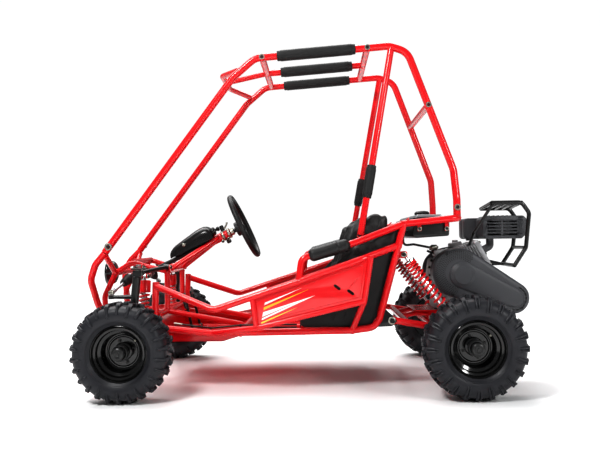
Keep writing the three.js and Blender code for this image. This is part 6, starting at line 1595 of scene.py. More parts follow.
# Front corners: arms, kingpin, knuckle, damper, tie rod and wheel
fork = {"reach": 11, "inboard": 7, "outboard": 7.6, "half": 11.6, "cap": (-26, 34, 30, -22), "capBolts": (22, -14)}
kingpin = {"tube": 15, "play": 1.8, "plate": 17, "spindle": 9, "arm": 7, "armZ": 362, "plateHalf": 388.7}
rack = {
    "radius": 15, "tabHalf": 92, "bore": 7.6, "half": 142, "boot": 21, "bootLength": 62, "folds": 7, "bar": 7,
    "ball": 9, "ballHalf": 185,
}
tieRod = {"outerX": -68, "radius": 5.5, "end": 12, "clearance": 1.8}
dampers = {
    "rear": {
        "eye": 13, "width": 13, "neck": 22, "seat": 23, "rod": 5, "rodShare": 0.55, "tube": 13, "tubeShare": 0.36,
        "coil": 18.6, "wire": 4.5, "curls": 12, "grow": 1.3, "can": 0,
    },
    "front": {
        "eye": 11, "width": 12, "neck": 12, "seat": 21, "rod": 4, "rodShare": 0.5, "tube": 11, "tubeShare": 0.38,
        "coil": 17.2, "wire": 3.7, "curls": 9, "grow": 1.0, "can": 44,
    },
}
rim = {"lip": 100, "well": 72, "lipHalf": 58, "wellHalf": 26, "hub": 23, "hubOut": 62, "nut": 14}
tread = {
    "width": 146, "carcass": 12, "frontLugs": 26, "rearLugs": 24,
    # inner and outer edge of the shoulder knobs, their drop, and the radius where their rib ends
    "shoulder": ((33, 55, 5, 137), (35, 61, 8, 127)),
    # place in the pitch, distance from the middle and slant of the crown knobs
    "crown": ((0, -20, 0.5), (0.5, 20, -0.5), (0.25, 0, 0.2)),
}


def kingX(z):
    return (z - frontTyre) * suspension["lean"]


def makeDamper(prefix, title, name, top, low, across):
    size = dampers[prefix]
    way = low - top
    length = way.length
    down = way.normalized()
    eye, width, seatR = size["eye"], size["width"], size["seat"]
    for part, end, toward in (("Rod", top, down), ("Tube", low, -down)):
        form = Form()
        half = width / 2
        form.lathe(bushing(6.4, eye, -half, half), end, across, 32, closed=True)
        start, cup = eye * 0.7, eye + size["neck"]
        neck = half - running
        if part == "Rod":
            reach = length * size["rodShare"]
            body = [
                (0, start), (neck, start), (neck, cup - 7), (seatR - 2, cup - 5), (seatR, cup - 3.4), (seatR, cup),
                (size["rod"] + 2, cup), (size["rod"] + 2, cup + 3), (size["rod"], cup + 3), (size["rod"], reach),
                (0, reach),
            ]
            form.lathe(body, end, toward, 36, finish=0)
            if size["can"]:
                # a painted can covers the spring's upper curls
                z = cup - 6
                can = [
                    (seatR - 3, z - 1), (seatR, z - 1), (seatR + 2, z + 2), (seatR + 2, z + size["can"]),
                    (seatR + 0.9, z + size["can"]), (seatR + 0.9, z + 4), (seatR - 3, z + 2),
                ]
                form.lathe(can, end, toward, 40, closed=True, finish=1)
        else:
            tubeTop = length * (1 - size["tubeShare"])
            body = [
                (0, start), (neck, start), (neck, cup - 5), (seatR - 2, cup - 3), (seatR, cup - 1),
                (seatR, cup + 1), (size["tube"] + 3, cup + 1),
            ]
            for k in range(6):
                # adjusting rings threaded on the tube
                z = cup + 2 + k * 3
                body += [(size["tube"] + (2.4 if k < 2 else 0.9), z), (size["tube"], z + 1.6)]
            body += [
                (size["tube"], tubeTop - 4), (size["tube"] + 1.2, tubeTop - 3), (size["tube"] + 1.2, tubeTop - 1),
                (size["rod"] + 1.4, tubeTop), (size["rod"] + 0.7, tubeTop - 2), (0, tubeTop - 2),
            ]
            form.lathe(body, end, toward, 36, finish=0)
        form.make(f"{prefix}Damper{part}{title}", f"{prefix}_damper_{part.lower()}_{name}",
                  "chrome red", [f"{prefix}_damper_{part.lower()}_{name}"], "chrome", smooth=40)
    coil = Form()
    first, last = eye + size["neck"] + 0.4, length - eye - size["neck"] - 0.4
    turns, steps, route = size["curls"] + 1.5, 26, []
    side1 = down.orthogonal().normalized()
    side2 = down.cross(side1)
    wire = size["wire"]
    lead = first + wire
    count = int(turns * steps)
    for i in range(count + 1):
        t = i / count
        # the end curls lie flat against their seats
        ease = min(1, max(0, (t * turns - 0.6) / (turns - 1.2))) ** size["grow"]
        angle = 2 * pi * turns * t
        place = top + down * (lead + (last - wire - lead) * ease + 0.05 * sin(angle))
        route.append(place + spoke(side1, side2, angle) * size["coil"])
    coil.sweep(route, wire, 12)
    stretch = (
        f"{prefix}_damper_rod_{name}", f"{prefix}_damper_tube_{name}", top + down * (first + 4),
        top + down * (last - 4),
    )
    coil.make(f"{prefix}Spring{title}", stretch, "red", [f"{prefix}_spring_{name}"], "red_paint")


def makeArm(kind, title, name, side, pivots, pivotZ, outer):
    form = Form()
    s = suspension
    y = side * s["pivotHalf"]
    end = onSide(outer, side * s["outerHalf"])
    half, bush = s["bushLength"] / 2, s["bush"]
    ring = bushing(s["pin"] + running, bush, -half, half)
    for x in pivots:
        pivot = at(x, y, pivotZ)
        form.lathe(ring, pivot, xAxis, 28, closed=True)
        start = blendTo(pivot, end, 0.045)
        form.sweep([start, blendTo(pivot, end, 0.965)], bushTube, 18)
        form.weld(start, pivot, bushTube, pivot, pivot + xAxis, bush, 1.6)
    form.lathe(ring, end, xAxis, 28, closed=True)
    if kind == "lower":
        share = (frontShock["lowHalf"] - s["pivotHalf"]) / (s["outerHalf"] - s["pivotHalf"])
        tieZ = s["lowerZ"] - s["drop"] * share
        xs = [x + (outer[0] - x) * share for x in pivots]
        hy = side * frontShock["lowHalf"]
        form.sweep([at(x, hy, tieZ) for x in xs], bushTube, 18)
        inner = frontShock["width"] / 2 + running
        lug = [
            (hy - bush, tieZ), (hy + bush, tieZ), (hy + 10, frontShock["lowZ"] + 10),
            (hy - 10, frontShock["lowZ"] + 10),
        ]
        form.pair(roundOutline(lug, 6), frontShock["x"], inner, s["ear"], putYz)
        form.rod(
            at(frontShock["x"] - inner - 4, hy, frontShock["lowZ"]),
            at(frontShock["x"] + inner + 4, hy, frontShock["lowZ"]), 5,
        )
        form.bolt(at(frontShock["x"] - inner - 4, hy, frontShock["lowZ"]), -xAxis, 6.5, 8.5, 4)
    colour = "red" if kind == "lower" else "black"
    node = f"{kind}_arm_{name}"
    form.make(f"{kind}Arm{title}", node, f"{colour} zinc blackBolt", [node], f"{colour}_paint")


def makeKingpin(title, name, side, upper, lower):
    form = Form()
    s = suspension
    for x, z in (upper, lower):
        half, reach = fork["half"], fork["reach"]
        far = side * (s["kingHalf"] + fork["outboard"])
        plate = oblong(side * (s["outerHalf"] - fork["inboard"]), z - reach, far, z + reach)
        form.pair(roundOutline(plate, 5), x, half, s["ear"], putYz)
        web = oblong(side * (s["outerHalf"] + s["bush"] + running), z - reach, far, z + reach)
        form.slab(web, x - half - 0.2, x + half + 0.2, putYz)
        form.rod(at(x - half - 4, side * s["outerHalf"], z), at(x + half + 4, side * s["outerHalf"], z), 5)
        for face in (-1, 1):
            form.bolt(at(x + face * (half + 4), side * s["outerHalf"], z), at(face, 0, 0), 6, 8, 3.4)
    form.rod(
        at(kingX(lower[1] - 8), side * s["kingHalf"], lower[1] - 8),
        at(kingX(upper[1] + 9), side * s["kingHalf"], upper[1] + 9), 7, 20, edge=1,
    )
    # a broad forged bracket caps the upper fork
    capZ = upper[1] + fork["reach"] + 2.5
    y0, y1 = side * (s["outerHalf"] - 9), side * (s["kingHalf"] + 16)
    cap = roundOutline([(upper[0] + dx, y) for dx, y in zip(fork["cap"], (y0, y0, y1, y1))], 9)
    form.slab(cap, capZ, capZ + 5, putXy, 1.2)
    for dx in fork["capBolts"]:
        form.bolt(at(upper[0] + dx, side * (s["outerHalf"] + 3), capZ + 5), zAxis, 6.5, 9, 5)
    axis = at(s["lean"], 0, 1).normalized()
    form.bolt(at(kingX(upper[1] + 11), side * s["kingHalf"], upper[1] + 11), axis, 7, 7.4, 5)
    form.make(f"kingpin{title}", f"upright_{name}", "black zinc blackBolt", [f"kingpin_{name}"], "black_paint")


def makeKnuckle(title, name, side, upper, lower):
    form = Form()
    s, k = suspension, kingpin
    low, high = lower[1] + fork["reach"] + k["play"], upper[1] - fork["reach"] - k["play"]
    y = side * s["kingHalf"]
    r = k["tube"]
    form.sweep([at(kingX(z), y, z) for z in (low, low + 1, high - 1, high)], [r - 1, r, r, r - 1], 32)
    for z in (low + 6, high - 6):
        form.sweep([at(kingX(z - 3), y, z - 3), at(kingX(z + 3), y, z + 3)], r + 1.4, 32)
    centre = frontTyre
    topZ = low + k["plate"] * 3
    outline = [
        (-k["plate"], centre - k["plate"]), (k["plate"], centre - k["plate"]), (kingX(topZ) + k["plate"], topZ),
        (kingX(topZ) - k["plate"], topZ),
    ]
    form.slab(roundOutline(outline, 8), side * (k["plateHalf"] - 4), side * (k["plateHalf"] + 4), putXz, 1.2)
    steer = at(tieRod["outerX"], y, k["armZ"])
    form.sweep([at(kingX(k["armZ"]), y, k["armZ"]), steer], [8.5, 6.5], 18)
    form.rod(steer - at(0, 0, 7), steer + at(0, 0, 7), 11.2, 28, edge=1.4)
    form.across(0, centre, side * k["plateHalf"], side * (wheelHalf + 60), k["spindle"], 24)
    form.across(0, centre, side * (k["plateHalf"] + 4), side * (k["plateHalf"] + 12), 16, 28, edge=1)
    form.make(f"knuckle{title}", f"knuckle_{name}", "black", [f"knuckle_{name}"], "black_paint")


def makeTieRod(title, name, side):
    form = Form()
    inner = at(rackCentre.x, side * rack["ballHalf"], rackCentre.z)
    outer = at(
        tieRod["outerX"], side * suspension["kingHalf"],
        kingpin["armZ"] + kingpin["arm"] + tieRod["clearance"] + tieRod["end"] / 2,
    )
    way = (outer - inner).normalized()
    socket = inner + way * (rack["ball"] + running)
    fold = rack["bootLength"] / (rack["folds"] * 2)
    bellows = [(0, 0), (rack["boot"] * 0.8, 0)]
    for i in range(1, rack["folds"] * 2):
        taper = 1 - 0.3 * i / (rack["folds"] * 2)
        bellows.append((rack["boot"] * (taper if i % 2 else taper * 0.74), i * fold))
    bellows += [
        (8, rack["bootLength"] - 3), (8, rack["bootLength"] + 2), (tieRod["radius"], rack["bootLength"] + 2),
        (0, rack["bootLength"] + 2),
    ]
    form.lathe(bellows, socket, way, 36, finish=1)
    reach = (outer - socket).length
    form.sweep([socket + way * rack["bootLength"], socket + way * (reach - 8)], tieRod["radius"], 20)
    form.sweep([socket + way * (reach - 40), socket + way * (reach - 32)], 8.4, 6)
    form.sweep([socket + way * (reach - 26), socket + way * (reach - 6)], [6.5, 8.5], 20)
    seatZ = outer.z - tieRod["end"] / 2
    ball = [(0, 0), (9, 0), (11.6, 3), (11.8, 8), (10.5, 13), (6, 15), (6, 18), (0, 18)]
    form.lathe(ball, at(outer.x, outer.y, seatZ), zAxis, 32, finish=2)
    form.make(f"tieRod{title}", f"tie_rod_{name}", "steel boot zinc", [f"tie_rod_{name}"], "steel")


def wheelProfile(bore):
    # a gloss rim: rolled lips, stepped bead seats, a drop centre and a deep-set disc with a long hub
    r = rim
    outside = [
        (bore, -40), (r["hub"], -40), (r["hub"], -18), (58, -18), (62, -15), (r["well"] - 4, -15),
        (r["well"] - 3, -r["wellHalf"]), (82, -r["wellHalf"] - 8), (84, -r["lipHalf"] + 8), (93, -r["lipHalf"] + 3),
        (r["lip"] - 3, -r["lipHalf"] - 1), (r["lip"], -r["lipHalf"] + 1), (r["lip"], -r["lipHalf"] + 4),
        (87, -r["lipHalf"] + 10), (86, -r["wellHalf"] - 6), (r["well"], -r["wellHalf"] + 4),
        (r["well"], r["wellHalf"] - 4), (86, r["wellHalf"] + 6), (87, r["lipHalf"] - 10),
        (r["lip"], r["lipHalf"] - 4), (r["lip"], r["lipHalf"] - 1), (r["lip"] - 3, r["lipHalf"] + 1),
        (93, r["lipHalf"] - 3), (90, r["lipHalf"] - 9), (83, r["lipHalf"] - 12), (80, r["wellHalf"] + 6),
        (r["well"] - 2, r["wellHalf"] + 1), (r["well"] - 4, r["wellHalf"] - 6), (r["well"] - 5, -8), (64, -11),
        (60, -12), (57, -9), (54, -9), (50, -12), (33, -12), (30, -8), (r["hub"] + 1, -6), (r["hub"], -2),
        (r["hub"], r["hubOut"] - 2), (r["hub"] - 2, r["hubOut"]), (r["nut"] + 2, r["hubOut"]),
        (r["nut"] + 2, r["hubOut"] - 3), (bore, r["hubOut"] - 3),
    ]
    return outside


def addRim(form, centre, side, bore):
    axis = yAxis * side
    form.lathe(wheelProfile(bore), centre, axis, 96, closed=True)
    out = rim["hubOut"]
    # the hub ends in a rounded cap with a sunk centre
    cap = [
        (0, out - 4), (23.5, out - 4), (23.5, out + 3), (22, out + 7), (18, out + 10), (13, out + 11),
        (11.5, out + 9.5), (7, out + 9), (6, out + 12), (0, out + 12.5),
    ]
    form.lathe(cap, centre, axis, 48, finish=1)
    form.lathe(
        [(25, 20), (28.5, 21), (29, 24), (29, 40), (28, 43), (25, 44)], centre, axis, 48, closed=True, finish=1
    )
    for k in range(4):
        angle = radians(20 + 90 * k)
        form.lathe(
            [(0, -12), (6, -12), (6, -7), (5, -6), (0, -6)], centre + at(cos(angle), 0, sin(angle)) * 40, axis, 6,
            finish=1,
        )
    valve = centre + at(0.72, 0, 0.6) * (rim["well"] - 2)
    form.lathe([(0, -6), (4.6, -6), (4.2, 2), (3, 4), (3, 18), (0, 18)], valve, axis, 16, finish=1)
    form.lathe([(0, 17.6), (3.6, 17.6), (3.6, 24), (2.6, 26), (0, 26)], valve, axis, 16, finish=2)


def makeTyre(title, body, node, centre, radius, lugs, twin):
    form = Form()
    half = tread["width"] / 2
    crown = radius - tread["carcass"]
    shoulder = rim["lip"] + (crown - rim["lip"]) * 0.55
    outer = [
        (88.5, -48), (92, -51), (101, -57), (106, -61), (112, -66), (120, -70), (shoulder, -half + 1.5),
        (shoulder + 12, -half + 3.5), (crown - 8, -half * 0.86), (crown - 2, -half * 0.72), (crown, -half * 0.5),
        (crown + 0.6, 0),
    ]
    inside = [(88.5, 44), (104, 50), (shoulder, half - 9), (crown - 12, half * 0.7), (crown - 8, 0)]
    form.lathe(mirrored(outer) + mirrored(inside), centre, yAxis, 120, closed=True)
    for face in (-1, 1):
        for r in (108.5, 113):
            # fine moulded rings near the bead
            y = face * (61.5 + (r - 106) * 0.78)
            form.lathe([(r - 0.8, 0), (r, 0.9 * face), (r + 0.8, 0)], centre + at(0, y, 0), yAxis, 96, closed=True)

    def onTread(turn, level, y):
        return centre + at(sin(turn) * level, y, cos(turn) * level)

    def block(angle, y0, y1, wide, tall, base, skew):
        # one lug: a tapered block standing on the carcass
        mid, rings = (y0 + y1) / 2, []
        for level, grow in ((base, 1.0), (tall - 1.4, 0.86), (tall, 0.76)):
            ring = []
            for a, y in oblong(-1, y0, 1, y1):
                out = (y - mid) * grow
                ring.append(onTread(angle + (a * wide / 2 * grow + skew * out) / level, level, mid + out))
            rings.append(ring)
        form.rings(rings)

    step = 2 * pi / lugs
    for i in range(lugs):
        angle = i * step
        sign = 1 if i % 2 else -1
        # three staggered rows of knobs on the crown, each slanted against the next
        for shift, y, skew in tread["crown"]:
            block(angle + step * shift, y - 11, y + 11, 13, radius, crown - 3, skew * sign)
        for face in (-1, 1):
            offset = angle + (step / 2 if face > 0 else 0)
            near, far, drop, end = tread["shoulder"][i % 2]
            # the shoulder knob falls away outward, with chamfered edges
            mid, knob = (near + far) / 2, []
            for level, grow in ((crown - 9, 1.0), (radius - 3.4, 0.94), (radius - 1.2, 0.8)):
                ring = []
                for a, y in oblong(-1, near, 1, far):
                    low = level - (drop if y == far and level > crown else 0)
                    ring.append(onTread(offset + a * 8.6 * grow / level, low, face * (mid + (y - mid) * grow)))
                knob.append(ring)
            form.rings(knob)
            for spread in ((-6.2, 6.2) if twin else (0,)):
                # a drop-shaped rib runs from the knob down the side wall
                rib, thick, steps = [], [], 9
                top = crown + 2
                for k in range(steps + 1):
                    t = k / steps
                    level = top + (end - top) * t
                    wall = np.interp(
                        level, [112, 120, shoulder, shoulder + 12, crown - 8, crown + 2],
                        [66, 70, half - 1.5, half - 3.5, half * 0.86, half * 0.76],
                    )
                    turn = offset + spread * (1 - t * 0.35) / level
                    rib.append(onTread(turn, level, face * (wall + 0.6)))
                    full = sqrt(max(0.03, 1 - max(0, (t - 0.55) / 0.45) ** 2))
                    thick.append((4.8 if twin else 6.2) * full * (0.85 + 0.15 * t))
                form.sweep(rib, thick, 8)
    form.make(title, body, "tyre", [node], "tyre_rubber", smooth=42)


def makeCorner(title, name, side):
    s = suspension
    upper, lower = ((kingX(z - s["drop"]), z - s["drop"]) for z in (s["upperZ"], s["lowerZ"]))
    makeArm("upper", title, name, side, s["upperPivots"], s["upperZ"], upper)
    makeArm("lower", title, name, side, s["lowerPivots"], s["lowerZ"], lower)
    makeKingpin(title, name, side, upper, lower)
    makeKnuckle(title, name, side, upper, lower)
    makeTieRod(title, name, side)
    f = frontShock
    makeDamper(
        "front", title, name, at(f["x"], side * f["topHalf"], f["topZ"]),
        at(f["x"], side * f["lowHalf"], f["lowZ"]), xAxis,
    )
    centre = at(0, side * wheelHalf, frontTyre)
    form = Form()
    addRim(form, centre, side, 9.6)
    form.make(
        f"frontRim{title}", f"front_wheel_{name}", "rim hub zinc", [f"front_rim_{name}"], "black_rim", smooth=30
    )
    makeTyre(
        f"frontTyre{title}", f"front_wheel_{name}", f"front_tyre_{name}", centre, frontTyre, tread["frontLugs"],
        False,
    )


for title, name, side in sides:
    makeCorner(title, name, side)


def makeRack():
    form = Form()
    half, r = rack["half"], rack["radius"]
    c = rackCentre
    form.lathe(
        [
            (rack["bore"], -half), (r + 1.5, -half), (r + 1.5, 8 - half), (r, 10 - half), (r, half - 10),
            (r + 1.5, half - 8), (r + 1.5, half), (rack["bore"], half),
        ],
        at(c.x, 0, c.z), yAxis, 36, closed=True,
    )
    top, low = onColumn(column["rack"] - r * 1.6), onColumn(column["rack"] + r)
    form.sweep(
        [top, blendTo(top, low, 0.05), blendTo(top, low, 0.45), blendTo(top, low, 0.5), low], [13, 15, 15, 17, 15],
        32,
    )
    for side in (-1, 1):
        form.lathe(
            [(r, -6), (r + 3, -6), (r + 3, 6), (r, 6)], at(c.x, side * rack["tabHalf"], c.z), yAxis, 32,
            closed=True, finish=1,
        )
    form.make("rackHousing", "frame", "castDark zinc", ["rack_housing"], "cast_silver")
    bar = Form()
    bar.across(c.x, c.z, -rack["ballHalf"], rack["ballHalf"], rack["bar"], 24)
    for side in (-1, 1):
        ball = [(rack["ball"] * sin(pi * k / 12), -rack["ball"] * cos(pi * k / 12)) for k in range(13)]
        bar.lathe(ball, at(c.x, side * rack["ballHalf"], c.z), yAxis, 28)
    bar.make("rackBar", "rack", "chrome", ["rack_bar"], "chrome")


makeRack()
print("stage: front corners and rack")

# Rear: axle with its wheels, swing arm and spring units
axle = {
    "radius": 12.5, "half": 536, "sprocketY": -112, "sprocket": 74, "teeth": 32, "discY": 100, "disc": 66,
    "sheet": 5,
}
swing = {
    "bore": 8.6, "bush": 18, "bushHalf": 281, "bushLength": 36.7, "sagX": 134.5, "sag": 0.3, "carrier": 31,
    "carrierHalf": 236, "carrierWidth": 26, "tubeHalf": 296, "crossX": 1025, "plateX": 1071, "plateEnd": 1307,
    "tieX": 1137,
}
foot = {"z": 276, "plate": 6, "half": 118}
caliper = {"x0": 1166, "x1": 1202, "low": 205, "split": 250, "top": 272, "near": 85, "far": 120, "gap": 0.6}


def makeRearAxle():
    form = Form()
    x, z = axleX, rearTyre
    form.across(x, z, 5 - axle["half"], axle["half"] - 5, axle["radius"], 28, finish=3, edge=1.5)
    for side in (-1, 1):
        addRim(form, at(x, side * wheelHalf, z), side, 9.5)
        form.lathe(bushing(12, 20, -6, 6), at(x, side * 262, z), yAxis, 32, closed=True, finish=2)
    teeth = []
    for k in range(axle["teeth"] * 4):
        # rounded teeth with hollow roots
        angle = 2 * pi * k / (axle["teeth"] * 4)
        r = axle["sprocket"] - (0, 1.6, 6.4, 1.6)[k % 4]
        teeth.append((x + r * cos(angle), z + r * sin(angle)))
    holes = [ringOf((x + 45 * cos(a), z + 45 * sin(a)), 10, 16) for a in (0.4 + k * pi / 3 for k in range(6))]
    form.slab(teeth, axle["sprocketY"], axle["sprocketY"] + axle["sheet"], putXz, 0.6, holes, finish=3)
    holes = [
        ringOf((x + r * cos(a), z + r * sin(a)), 3.2, 10) for k in range(12)
        for r, a in ((55 if k % 2 else 47, k * pi / 6),)
    ]
    form.slab(
        ringOf((x, z), axle["disc"], 72), axle["discY"], axle["discY"] + axle["sheet"], putXz, 0.4, holes, finish=3
    )
    for y in (axle["sprocketY"], axle["discY"]):
        form.lathe(bushing(12, 24, -15, 15, 2), at(x, y, z), yAxis, 36, closed=True, finish=4)
        for k in range(4):
            angle = pi / 4 + k * pi / 2
            form.lathe(
                [(0, 2), (4.5, 2), (4.5, 9), (3.6, 10), (0, 10)], at(x + 31 * cos(angle), y, z + 31 * sin(angle)),
                yAxis, 6, finish=2,
            )
    form.make("rearAxle", "rear_wheels", "rim hub zinc steel black", ["rear_axle"], "black_rim", smooth=30)
    for title, name, side in sides:
        makeTyre(
            f"rearTyre{title}", "rear_wheels", f"rear_tyre_{name}", at(x, side * wheelHalf, z), rearTyre,
            tread["rearLugs"], True,
        )


def makeSwing():
    form = Form()
    ax, az = axleX, rearTyre
    px, pz = pivotX, pivotZ
    sagZ = pz + (az - pz) * swing["sag"]
    c, wide, bearing = swing["carrier"], swing["carrierWidth"] / 2, axle["radius"] + running
    shock = rearShock
    lowX, lowZ = shock["low"]
    inner = shock["width"] / 2 + running
    for side in (-1, 1):
        y = side * swing["tubeHalf"]
        bush = bushing(swing["bore"], swing["bush"], 0, swing["bushLength"])
        form.lathe(bush, at(px, side * swing["bushHalf"], pz), yAxis * side, 36, closed=True)
        form.tube(
            [
                at(px + 0.6 * swing["bush"], y, pz - 3), at(px + swing["sagX"], y, sagZ),
                at(ax - c, side * swing["carrierHalf"], az + c / 2),
            ],
            13,
        )
        form.weld(at(px + 30, y, pz - 10), at(px, y, pz - 3), heavy, at(px, 0, pz), at(px, 1, pz), swing["bush"])
        cy = side * swing["carrierHalf"]
        form.lathe(bushing(bearing, c, -wide, wide, 2), at(ax, cy, az), yAxis, 48, closed=True)
        seal = [(bearing, wide), (20, wide), (20, wide + 1.4), (bearing, wide + 1.4)]
        form.lathe(seal, at(ax, cy, az), yAxis * side, 36, closed=True, finish=1)
        eyeR = 0.8 * heavy
        ear = [
            (lowX - 2 * heavy, az + c), (lowX + heavy, az + c), (lowX + eyeR, lowZ + eyeR),
            (lowX - eyeR, lowZ + eyeR),
        ]
        form.pair(roundOutline(ear, 7), side * shock["half"], inner, suspension["ear"])
        form.slab(
            oblong(lowX - 2 * heavy, az + heavy, lowX + heavy, az + c + heavy),
            side * (swing["carrierHalf"] - heavy), side * (shock["half"] + inner + 4), putXz, 3,
        )
        form.across(lowX, lowZ, side * (shock["half"] - inner - 2), side * (shock["half"] + inner + 2), 5)
        form.bolt(at(lowX, side * (shock["half"] + inner + 4), lowZ), yAxis * side, 8, 10.5, 5)
        railY = side * foot["half"] * 0.7
        form.tube(
            [
                at(swing["crossX"], railY, pz - 13), at(swing["plateX"], railY, foot["z"] - 16),
                at(swing["plateEnd"], railY, foot["z"] - 16),
            ],
            11,
        )
        for bx in (swing["plateX"] + 90, swing["plateEnd"] - 24):
            form.bolt(at(bx, side * 96, foot["z"]), zAxis, 6, 9, 4)
    form.across(swing["crossX"], pz - 13, -swing["tubeHalf"], swing["tubeHalf"], 13, 18)
    share = (swing["tieX"] - px - swing["sagX"]) / (swing["sagX"] - c)
    tieHalf, tieZ = swing["tubeHalf"] + (swing["carrierHalf"] - swing["tubeHalf"]) * share, sagZ + (
        az + c / 2 - sagZ
    ) * share
    form.across(swing["tieX"], tieZ, -tieHalf, tieHalf, 13, 18)
    plate = roundOutline(oblong(swing["plateX"], -foot["half"], swing["plateEnd"], foot["half"]), 12)
    slots = [roundOutline(oblong(1096, y - 5, 1124, y + 5), 4.9) for y in (-60, 60)]
    form.slab(plate, foot["z"] - foot["plate"], foot["z"], putXy, 1.0, slots)
    # brake caliper astride the disc
    q = caliper
    for near, far in ((q["near"], axle["discY"] - q["gap"]), (axle["discY"] + axle["sheet"] + q["gap"], q["far"])):
        form.slab(
            roundOutline(oblong(q["x0"], q["low"], q["x1"], q["split"] + 2), 8), near, far, putXz, 3, finish=3
        )
    form.slab(
        roundOutline(oblong(q["x0"], q["split"], q["x1"], q["top"]), 6), q["near"], q["far"], putXz, 2, finish=3
    )
    form.make("swingArm", "swing", "red zinc blackBolt cast", ["swing_arm"], "red_paint")


makeRearAxle()
makeSwing()
for title, name, side in sides:
    y = side * rearShock["half"]
    makeDamper("rear", title, name, onSide(rearShock["top"], y), onSide(rearShock["low"], y), yAxis)
print("stage: rear axle and swing arm")

# Engine on its plate, with its belt cover, louvred muffler guard, air cleaner and tube rack
engine = {
    "x": 1231, "z": 427, "case": 68, "near": -150, "far": 104, "lean": radians(28), "fins": 9, "finFrom": 50,
    "finTo": 124, "half": 76, "wide": 64, "y": -30, "head": 154, "fan": 86, "bands": (-120, -75, -30, 15, 60),
    "ribs": (-34, -11, 12, 35),
    # outlines and places from the crankcase's centre
    "sideCover": ((-104, -22), (-62, -40), (-50, 52), (-92, 56)),
    "coverBolts": ((-96, -12), (-70, -28), (-64, 42), (-88, 46), (-98, 20)),
    "coil": ((-66, 60), (-22, 68), (-28, 92), (-74, 84)),
    "carburettor": ((12, 70), (66, 84), (60, 122), (8, 112)),
    "lever": ((-70, -132, 10), (-58, -134, 36), (-36, -134, 66)),
    # start, end, sag and radius
    "hoses": (((-96, 84), (-20, 84), 10, 5), ((-86, 92), (4, 92), 16, 4), ((-60, 84), (8, 96), -4, 3.2)),
}
cover = {
    "big": 97, "smallX": 1438, "smallZ": 329, "small": 61, "near": -232, "far": -150.3, "slots": 9,
    "island": (50, 34), "hole": 2.1, "firstRow": 55, "rowPitch": 5.6, "rows": 7,
}
guard = {
    "x0": 1342, "x1": 1514, "z0": 556, "z1": 646, "near": -160, "far": -34, "neckY": -75,
    "muffler": (1428, 601, 36), "columns": (-42, 20), "rows": 5, "pitch": 12.5, "slot": 27,
}
rackBars = {
    "line": ((1368, 696), (1484, 696), (1512, 655), (1497, 520), (1452, 452)),
    "frontBar": ((1376, -190, 694), (1302, -176, 580), (1297, -120, 536), (1297, -90, 532)),
    "near": -196, "far": -14, "drop": 16, "tube": 8, "bar": 6.8,
}
air = {"x0": 1296, "x1": 1402, "z0": 556, "z1": 642, "near": -28, "far": 88}


def onEngine(reach, up, y):
    c, s = cos(engine["lean"]), sin(engine["lean"])
    return at(engine["x"] + reach * c - up * s, y, engine["z"] + reach * s + up * c)


